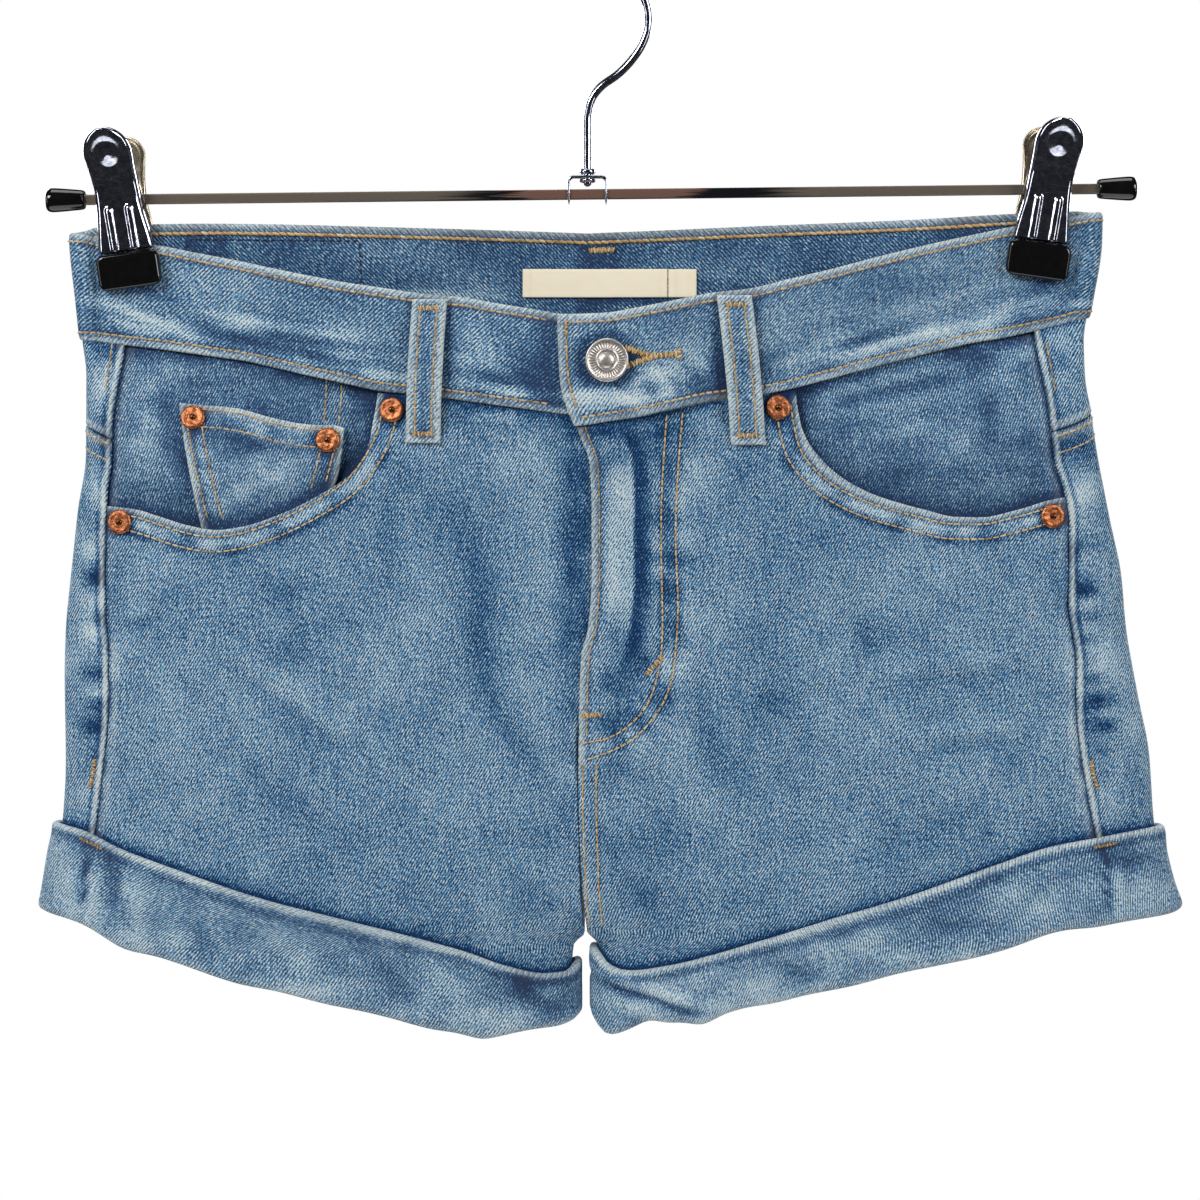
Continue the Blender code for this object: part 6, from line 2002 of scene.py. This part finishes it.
def buttonhole(sewing):
    """The buttonhole's worked edges and its bar."""
    for path, rise, width, pitch, size in (
            ([(13.6, 141.1), (22.5, 144.0), (32.1, 143.2)], 0.2, 2.2, 0.72, 0.38),
            ([(13.6, 147.5), (19.0, 145.6), (22.5, 144.4)], 0.2, 2.2, 0.72, 0.38),
            ([(32.4, 141.7), (32.6, 144.9)], 0.3, 1.7, 0.62, 0.36)):
        x, drop = dense(path, 0.5).T
        level = BAND_FACE + band_lift(RIGHT, x) + rise
        sewing.satin(*with_up(over_spot(x, drop), level), width=width, pitch=pitch, size=size)


def on_x(line, offset, drop):
    """A path at a distance beside a line that is given by drop."""
    return np.stack([line(drop) + offset, drop], axis=1)


def front_sewing(sewing):
    """The fly's rows, the centre seam's and the double rows along the pocket mouths."""
    for path in (J_OUTER, J_INNER):
        sewing.line(*on_front(RIGHT, rounded_path(path)), pitch=2.6, size=0.33, tone=0.12)
    sewing.line(*on_front(RIGHT, on_x(front_seam, 3.0, np.linspace(169.0, 281.0, 60))), pitch=2.6, size=0.28,
                tone=-0.15)
    for offset in (1.8, 6.6):
        edge = on_x(front_seam, offset, np.linspace(291.0, 352.0, 40))
        sewing.line(*on_front(RIGHT, edge), pitch=2.6, size=0.31)
    for path in ([(21.5, 259.0), (27.0, 253.0)], [(-2.0, 274.0), (5.0, 273.5)]):
        sewing.satin(*on_front(RIGHT, path, 0.1), width=1.8)
    for side in (LEFT, RIGHT):
        at = np.concatenate([np.linspace(75.7, 80, 9)[:-1], np.linspace(80, 176, 50)])
        line = np.stack([at, mouth_drop(side, at)], axis=1)
        way = np.gradient(line, axis=0)
        way /= np.linalg.norm(way, axis=1, keepdims=True)
        across = np.stack([-way[:, 1], way[:, 0]], axis=1)
        for offset in (2.6, 8.0):
            path = line + across * offset
            seam = side_seam(side, path[:, 1])
            band = band_low(side, path[:, 0])
            keep = (path[:, 0] < seam - 0.8) & (path[:, 1] > band + 1.5)
            sewing.line(*on_front(side, path[keep]), pitch=2.7, size=0.33, tone=0.10)


def strip_sewing(sewing):
    """Rows over the yoke seam, the seat seam and the side seam's bartacks."""
    for side in (LEFT, RIGHT):
        for offset in (2.0, 8.0):
            start = float(seam_angle(side, np.array(172.0))) + 1.0
            angle = even_angles(side, start, 179.2, 180.0, 1.2)
            drop = yoke_seam(side, angle) + offset
            sewing.line(*on_strip(side, angle, drop), pitch=2.8, size=0.31)
        drop = np.linspace(292.0, 302.0, 8)
        x = side_seam(side, drop) + 3.6 + 0.5 * fade(drop, (297.0, 302.0))
        sewing.satin(*on_strip(side, angle_at(side, x, drop), drop, 0.1), width=1.5, tone=-0.05)
    for offset in (2.0, 7.6):
        for drop in (np.linspace(210.0, 350.0, 90), np.linspace(137.0, 200.0, 40)):
            x = (back_seam(drop) if drop[0] > 200 else 0 * drop) + offset
            sewing.line(*on_strip(RIGHT, angle_at(RIGHT, x, drop, back=True), drop), pitch=2.8, size=0.31)


def facing_rows(sewing):
    """The coin pocket's rows carried up to the band, and the row beside the left side seam."""
    for x in (90.4, 96.0):
        drop = np.linspace(151.0, float(coin_top(np.array(x))) - 1.0, 14)
        at = x - 0.05 * (drop[-1] - drop)
        level = facing_level(LEFT, at, drop) + np.minimum(facing_relief(LEFT, at, drop)[0], 0.15) + CLOTH / 2
        sewing.line(*with_up(on_tube(LEFT, angle_at(LEFT, at, drop), drop), level), pitch=2.6, size=0.30)
    for side, x_top, x_low in ((LEFT, 173.0, 174.6), (RIGHT, 167.5, 170.0)):
        drop = np.linspace(139.0, 157.0, 20)
        at = np.linspace(x_top, x_low, 20) + (1.5 if side == LEFT else 0.5)
        sewing.line(*on_strip(side, angle_at(side, at, drop), drop), pitch=2.6, size=0.30)


def coin_sewing(sewing):
    """Double rows along the coin pocket's top and sides."""

    def on_coin(path):
        x, drop = dense(path).T
        level = -LINING + coin_level(x, drop) * away_from_rivets(-x, drop) + CLOTH / 2
        return with_up(on_tube(LEFT, angle_at(LEFT, x, drop), drop), level)

    x = np.linspace(90.0, 146.0, 40)
    for offset in (1.9, 8.2):
        sewing.line(*on_coin(np.stack([x, coin_top(x) + offset], axis=1)), pitch=2.6, size=0.30)
    down = np.linspace(0.06, 0.92, 30)
    for column, offset in (("inner", 2.0), ("inner", 7.4), ("outer", -2.0), ("outer", -7.4)):
        at = smooth(COIN_SIDES, column, down) + offset
        top = coin_top(at)
        low = mouth_drop(LEFT, at)
        sewing.line(*on_coin(np.stack([at, top + (low - top) * down], axis=1)), pitch=2.6, size=0.30)


# ---------------------------------------------------------------- metal trims

def seat(x, drop, level, back=False):
    """Placement on the cloth, in millimetres, with Z along its normal."""
    low = Vector(spot(x, drop, level, back).tolist())
    high = Vector(spot(x, drop, level + 1.0, back).tolist())
    turn = (high - low).normalized().to_track_quat("Z", "Y").to_matrix().to_4x4()
    return Matrix.Translation(low) @ turn


def hammered(depth, size, seed):
    """Dents for a turned piece's face."""
    def wobble(rings):
        x, y, z = np.moveaxis(rings, -1, 0)
        return depth * clouds(x, y, size, seed) * fade(np.hypot(x, y), (1.2, 2.0)) * (z > 0.2)
    return wobble


def rivets_and_button():
    """Six plain copper rivets and the plain shank button."""
    disc = rounded_path([(0, 0.95), (1.3, 0.94), (2.4, 0.98), (3.2, 1.06), (3.8, 1.02), (4.3, 0.75),
                         (RIVET_RADIUS, 0.35), (RIVET_RADIUS - 0.1, 0), (2.0, 0.0), (0, 0)])
    nub = rounded_path([(0, 1.85), (0.5, 1.8), (0.95, 1.55), (1.2, 1.15), (1.25, 0.6), (0, 0.55)])
    for number, (x, drop, on) in enumerate(RIVETS, start=1):
        base = -LINING + CLOTH / 2 + GAP if on == "coin" else CLOTH / 2 + GAP
        if on == "front":
            base += 0.1
        place = seat(x, drop, base)
        turned(f"trim_rivet_{number}", disc, COPPER, "copper", [f"rivet_{number}"], place, 40,
               hammered(0.16, 1.1, 120 + number))
        turned(f"trim_rivet_{number}_nub", nub, BRASS, "copper", [], place, 28)
    cap = rounded_path([(0, 3.95), (1.3, 3.9), (2.3, 3.55), (2.9, 3.0), (3.15, 2.75), (3.45, 3.05),
                        (3.75, 3.2), (4.05, 3.0), (5.4, 2.95), (6.6, 3.1), (7.2, 3.4),
                        (BUTTON_RADIUS - 0.1, 3.1), (BUTTON_RADIUS, 2.4), (BUTTON_RADIUS - 0.3, 1.8),
                        (2.4, 1.5), (2.2, 0), (0, 0)])

    def beading(rings):
        x, y, z = np.moveaxis(rings, -1, 0)
        ring = bell(np.hypot(x, y) - 5.4, 0.9) * (z > 2.0)
        return ring * 0.12 * np.cos(36 * np.arctan2(y, x))

    place = seat(*BUTTON_PLACE, BAND_FACE + OVERLAP_LIFT + GAP)
    turned("trim_button", cap, NICKEL, "steel", ["button"], place, 180, beading)


# ---------------------------------------------------------------- the hanger

def hook():
    """The hook's wire, from its stem over the crown."""
    rise = np.linspace(NECK["rise"][0], NECK["rise"][-1], 40)
    points = [(0.0, -BRACKET_DROP - 2.6), (0.0, -72.0), (0.0, -66.0), (0.0, -60.0)]
    points += list(zip(smooth(NECK, "x", rise), rise))
    centre = WIRE_RADIUS - CROWN_RADIUS
    for angle in np.radians(np.linspace(0, HOOK_END_ANGLE, 70)[1:]):
        points.append((CROWN_RADIUS * math.cos(angle), centre + CROWN_RADIUS * math.sin(angle)))
    line = dense([(x, 0.0, z) for x, z in points], 1.2)
    closed_tube("trim_hook", sweep(line, WIRE_RADIUS, 24), CHROME, "chrome", ["hook"])


def hook_fittings():
    """The collar and the nut on the stem, and the bracket that holds the bar."""
    bore = WIRE_RADIUS + 0.05
    up = Matrix.Translation((0, 0, -BRACKET_DROP + GAP))
    collar = rounded_path([(bore, 2.1), (2.2, 2.15), (2.9, 1.75), (3.0, 1.0), (2.7, 0.25), (bore, 0.0)])
    turned("trim_hook_collar", collar, CHROME, "chrome", ["hook_collar"], up, 40)
    down = Matrix.Translation((0, 0, -BRACKET_DROP - BRACKET_WALL - GAP))
    nut = rounded_path([(bore, 0), (2.9, 0), (3.1, -0.7), (2.5, -1.4), (bore, -1.4)])
    turned("trim_hook_nut", nut, CHROME, "chrome", ["hook_nut"], down, 32)
    half, bend = BRACKET_WIDTH / 2 - BRACKET_WALL / 2, 1.8
    top, low = -BRACKET_DROP - BRACKET_WALL / 2, -BRACKET_DROP - BRACKET_HEIGHT
    path = [(-half, low)] + [(-half, low + t * (top - bend - low)) for t in (0.25, 0.5, 0.75, 1.0)]
    path += [(-half + bend - bend * math.cos(t), top - bend + bend * math.sin(t))
             for t in np.radians((15, 30, 45, 60, 75, 90))]
    path += [(x, top) for x in (-4.0, -2.0, 0.0)]
    path = np.array(path + [(-x, z) for x, z in path[-2::-1]])
    depth = steps_of(BRACKET_DEPTH, 0.9, first=(0.0, 0.15, 0.45)) - BRACKET_DEPTH / 2
    points = np.stack([path[:, :1] + 0 * depth, 0 * path[:, :1] + depth, path[:, 1:] + 0 * depth], axis=-1)
    points[..., 1] *= 1 - 0.25 * fade(-path[:, 1], (-low - 2.5, -low))[:, None]
    plate("trim_bracket", points, BRACKET_WALL, CHROME, "chrome", ["bracket"])


def plate(name, points, wall, material, slot, nodes, matrix=Matrix.Identity(4)):
    """A stamped plate along its own normals, its edges rounded."""
    local, flat = offset_grid(points), (points[..., 0], points[..., 2])
    shell(name, lambda level: moved(local(level), matrix), np.zeros(points.shape[:2]), wall, flat, material,
          slot, nodes, edge_radius=0.5 * wall)


def bar_frame(x):
    """Placement on the tilted bar, at a distance along it."""
    return Matrix.Translation((x * math.cos(BAR_TILT), 0.0, -BAR_DROP + x * math.sin(BAR_TILT)))


def bar_and_caps():
    """The square bar and the rubber caps on its ends."""
    tilt = Matrix.Rotation(-BAR_TILT, 4, "Y")
    ends = {side: CAP_ENDS[side] - CAP_LENGTH + CAP_HOLD for side in (LEFT, RIGHT)}
    turn = np.linspace(0, math.tau, 32, endpoint=False)
    squareness = 0.28
    outline = np.stack([np.sign(wave) * np.abs(wave) ** squareness for wave in (np.cos(turn), np.sin(turn))],
                       axis=1) * BAR_SIZE / 2
    at = np.linspace(-ends[LEFT], ends[RIGHT], 60)
    sections = np.array([[(x, y, z) for y, z in outline] for x in at])
    sections = moved(sections, bar_frame(0.0) @ tilt)
    closed_tube("trim_bar", sections, BAR_CHROME, "chrome", ["bar"], smooth_shading=False)
    deep = CAP_LENGTH - CAP_HOLD - GAP
    hole = BAR_SIZE / 2 * math.sqrt(2) + GAP
    profile = rounded_path([(0, CAP_LENGTH), (2.6, CAP_LENGTH), (3.9, CAP_LENGTH - 0.3),
                            (4.45, CAP_LENGTH - 1.6), (4.4, CAP_LENGTH - 4), (3.7, 1.6), (3.5, 0.5),
                            (3.2, 0.0), (hole, 0.0), (hole, CAP_LENGTH - deep), (0, CAP_LENGTH - deep)])
    for name, side in SIDES.items():
        point_out = Matrix.Rotation(side * math.pi / 2, 4, "Y")
        matrix = bar_frame(side * (CAP_ENDS[side] - CAP_LENGTH)) @ tilt @ point_out
        turned(f"trim_cap_{name}", profile, RUBBER, "rubber", [f"cap_{name}"], matrix, 40)


def jaw_grid(face):
    """A stamped jaw: two raised ribs below the bar, a dished round head, turned-in sides."""
    head_start = 16.0
    head_rise = head_start + 8.3 * np.sin(np.linspace(0, 0.985, 18)[1:] * math.pi / 2)
    rise = np.concatenate([np.linspace(-19.4, head_start, 52), head_rise])[:, None]
    head = np.clip((rise - head_start) / 8.45, 0, 0.999)
    half = smooth(JAW, "width", np.minimum(rise, 16.8)) / 2 * np.sqrt(1 - head ** 2)
    depth = smooth(JAW, "depth", rise)
    flange = np.minimum(smooth(JAW, "flange", rise), 5.6)
    corner = np.minimum(1.9, half * 0.5)
    wall = np.linspace(1, 0, 6)[:-1]
    arc = np.linspace(0, math.pi / 2, 7)
    flat = np.linspace(-1, 1, 31)[1:-1]
    side_x = np.concatenate([-half + 0 * wall, -half + corner - corner * np.cos(arc)], axis=1)
    x = np.concatenate([side_x, (half - corner) * flat, -side_x[:, ::-1]], axis=1)
    side_y = np.concatenate([-corner - (flange - corner) * wall, -corner + corner * np.sin(arc)], axis=1)
    y = np.concatenate([side_y, 0 * (half * flat), side_y[:, ::-1]], axis=1)
    ribs = (bell(x - 3.7, 1.1) + bell(x + 3.7, 1.1)) * fade(-rise, (2.6, 4.0))
    reach = np.hypot(x, rise - 15.4)
    dome = 0.34 * bell(reach, 1.3) - 0.30 * bell(reach - 4.4, 1.4)
    bowed = 0.8 * np.cos(np.clip(x / np.maximum(half, 1) * 1.4, -1.5, 1.5)) * fade(rise, (-4.0, 14.0))
    y = y + 1.2 * ribs + dome + bowed
    return np.stack([x, face * (depth + y), rise + 0 * x], axis=-1)


def clips():
    """Two clips: a spring, two jaws and two rubber pads each."""
    for name, side in SIDES.items():
        on_bar = bar_frame(side * CLIP_PLACE[side])
        place = on_bar @ Matrix.Rotation(side * math.radians(CLIP_LEAN), 4, "Y")
        turns = np.linspace(0, math.tau * 7, 200)
        coil = np.stack([np.linspace(-5.0, 5.0, 200), 4.5 * np.cos(turns), 4.5 * np.sin(turns)], axis=1)
        coil = moved(coil, on_bar @ Matrix.Rotation(-BAR_TILT, 4, "Y"))
        closed_tube(f"trim_clip_{name}_spring", sweep(coil, 0.62, 10), CHROME, "chrome",
                    [f"clip_{name}_spring"])
        for end, face in (("front", -1), ("back", 1)):
            # The back jaw has the same plating as the front one, with a painted warm reflection.
            finish = CHROME if face < 0 else STEEL_WARM_REFLECTION
            plate(f"trim_clip_{name}_{end}", jaw_grid(face), JAW_WALL, finish, "chrome",
                  [f"clip_{name}_{end}"], place)
            middle = (0, face * (PAD_CLOSED + PAD_SIZE[1] / 2), -PAD_TOP - PAD_SIZE[2] / 2)
            cushion(f"trim_clip_{name}_pad_{end}", PAD_SIZE, middle, 3.1, 1.5, RUBBER, "rubber",
                    [f"clip_{name}_pad_{end}"], place)


# ---------------------------------------------------------------- the studio

def studio():
    """The camera, the floor, the world's light and the lamps."""
    scene = bpy.context.scene
    camera_data = bpy.data.cameras.new("camera")
    camera = bpy.data.objects.new("camera", camera_data)
    scene.collection.objects.link(camera)
    scene.camera = camera
    camera.location = (0.0046, -0.870, -0.147)
    camera.rotation_euler = (math.radians(88.0), 0, 0)
    camera_data.lens, camera_data.sensor_width = 70.75, 36
    camera_data.clip_start, camera_data.clip_end = 0.02, 60
    camera_data.shift_y = -0.1276

    floor_mesh = bpy.data.meshes.new("floor")
    sides, floor_drop = 96, 1.6
    ring = [(math.cos(t), math.sin(t), -floor_drop) for t in np.linspace(0, math.tau, sides, endpoint=False)]
    floor_mesh.from_pydata(ring, [], [list(range(sides))])
    floor = bpy.data.objects.new("floor", floor_mesh)
    scene.collection.objects.link(floor)
    s = Shader("pale_floor")
    place = s.place("object")
    cloud = s.noise(s.evenly(place, 400.0), 2.0, 0.5, 0.02)
    colour = s.ramp(s.math("ADD", cloud, 0.5), (0.0, (0.90, 0.90, 0.90, 1)), (1.0, (0.93, 0.93, 0.93, 1)))
    s.base.inputs["Emission Color"].default_value = (1, 1, 1, 1)
    floor_mesh.materials.append(s.finish(colour, 0.9, Emission_Strength=0.75))

    world = bpy.data.worlds.new("studio")
    world.use_nodes = True
    tree = world.node_tree
    room = tree.nodes["Background"]
    room.inputs["Color"].default_value = (0.035, 0.035, 0.037, 1)
    room.inputs["Strength"].default_value = 1.0
    kinds = ("Background", "LightPath", "MixShader")
    seen, ray, mix = (tree.nodes.new("ShaderNode" + kind) for kind in kinds)
    seen.inputs["Color"].default_value = (1, 1, 1, 1)
    for output, socket in zip((ray.outputs["Is Camera Ray"], room.outputs[0], seen.outputs[0]), mix.inputs):
        tree.links.new(output, socket)
    tree.links.new(mix.outputs[0], tree.nodes["World Output"].inputs["Surface"])
    scene.world = world

    for name, place, aim_height, size, watts in (
            ("key", (-1.4, -1.8, 1.1), -0.22, (0.9, 0.9), 44),
            ("fill", (1.7, -1.6, 0.5), -0.22, (0.7, 1.0), 22),
            ("strip_left", (-1.5, -0.8, 0.0), -0.2, (0.22, 1.5), 7),
            ("strip_right", (1.5, -0.8, 0.0), -0.2, (0.22, 1.5), 6),
            ("top", (0.0, 0.2, 1.9), -0.2, (1.6, 1.2), 20),
            ("back_left", (-1.4, 1.8, 0.5), -0.22, (1.0, 1.2), 36),
            ("back_right", (1.5, 1.7, 0.4), -0.22, (1.0, 1.2), 30)):
        data = bpy.data.lights.new(name, "AREA")
        data.shape = "RECTANGLE"
        data.size, data.size_y = size
        data.energy = watts
        light = bpy.data.objects.new(name, data)
        light.location = place
        to_aim = Vector((0, 0, aim_height)) - Vector(place)
        light.rotation_euler = to_aim.to_track_quat("-Z", "Y").to_euler()
        scene.collection.objects.link(light)
    scene.view_settings.view_transform = "Standard"


# ---------------------------------------------------------------- all together

fronts()
facings()
coin_pocket()
fly_pieces()
backs()
yokes()
waistband()
sew("stitching_loops", THREAD, belt_loops)
sew("stitching_cuffs", THREAD, cuffs)
sew("stitching_back", THREAD, back_pockets, labels_and_patch, strip_sewing)
sew("stitching_waistband", THREAD, band_sewing, buttonhole)
sew("stitching_band_inside", THREAD, inside_sewing)
sew("stitching_patch_inside", NAVY, patch_outline)
sew("stitching_front", THREAD, front_sewing, coin_sewing, facing_rows)
rivets_and_button()
hook()
hook_fittings()
bar_and_caps()
clips()
studio()
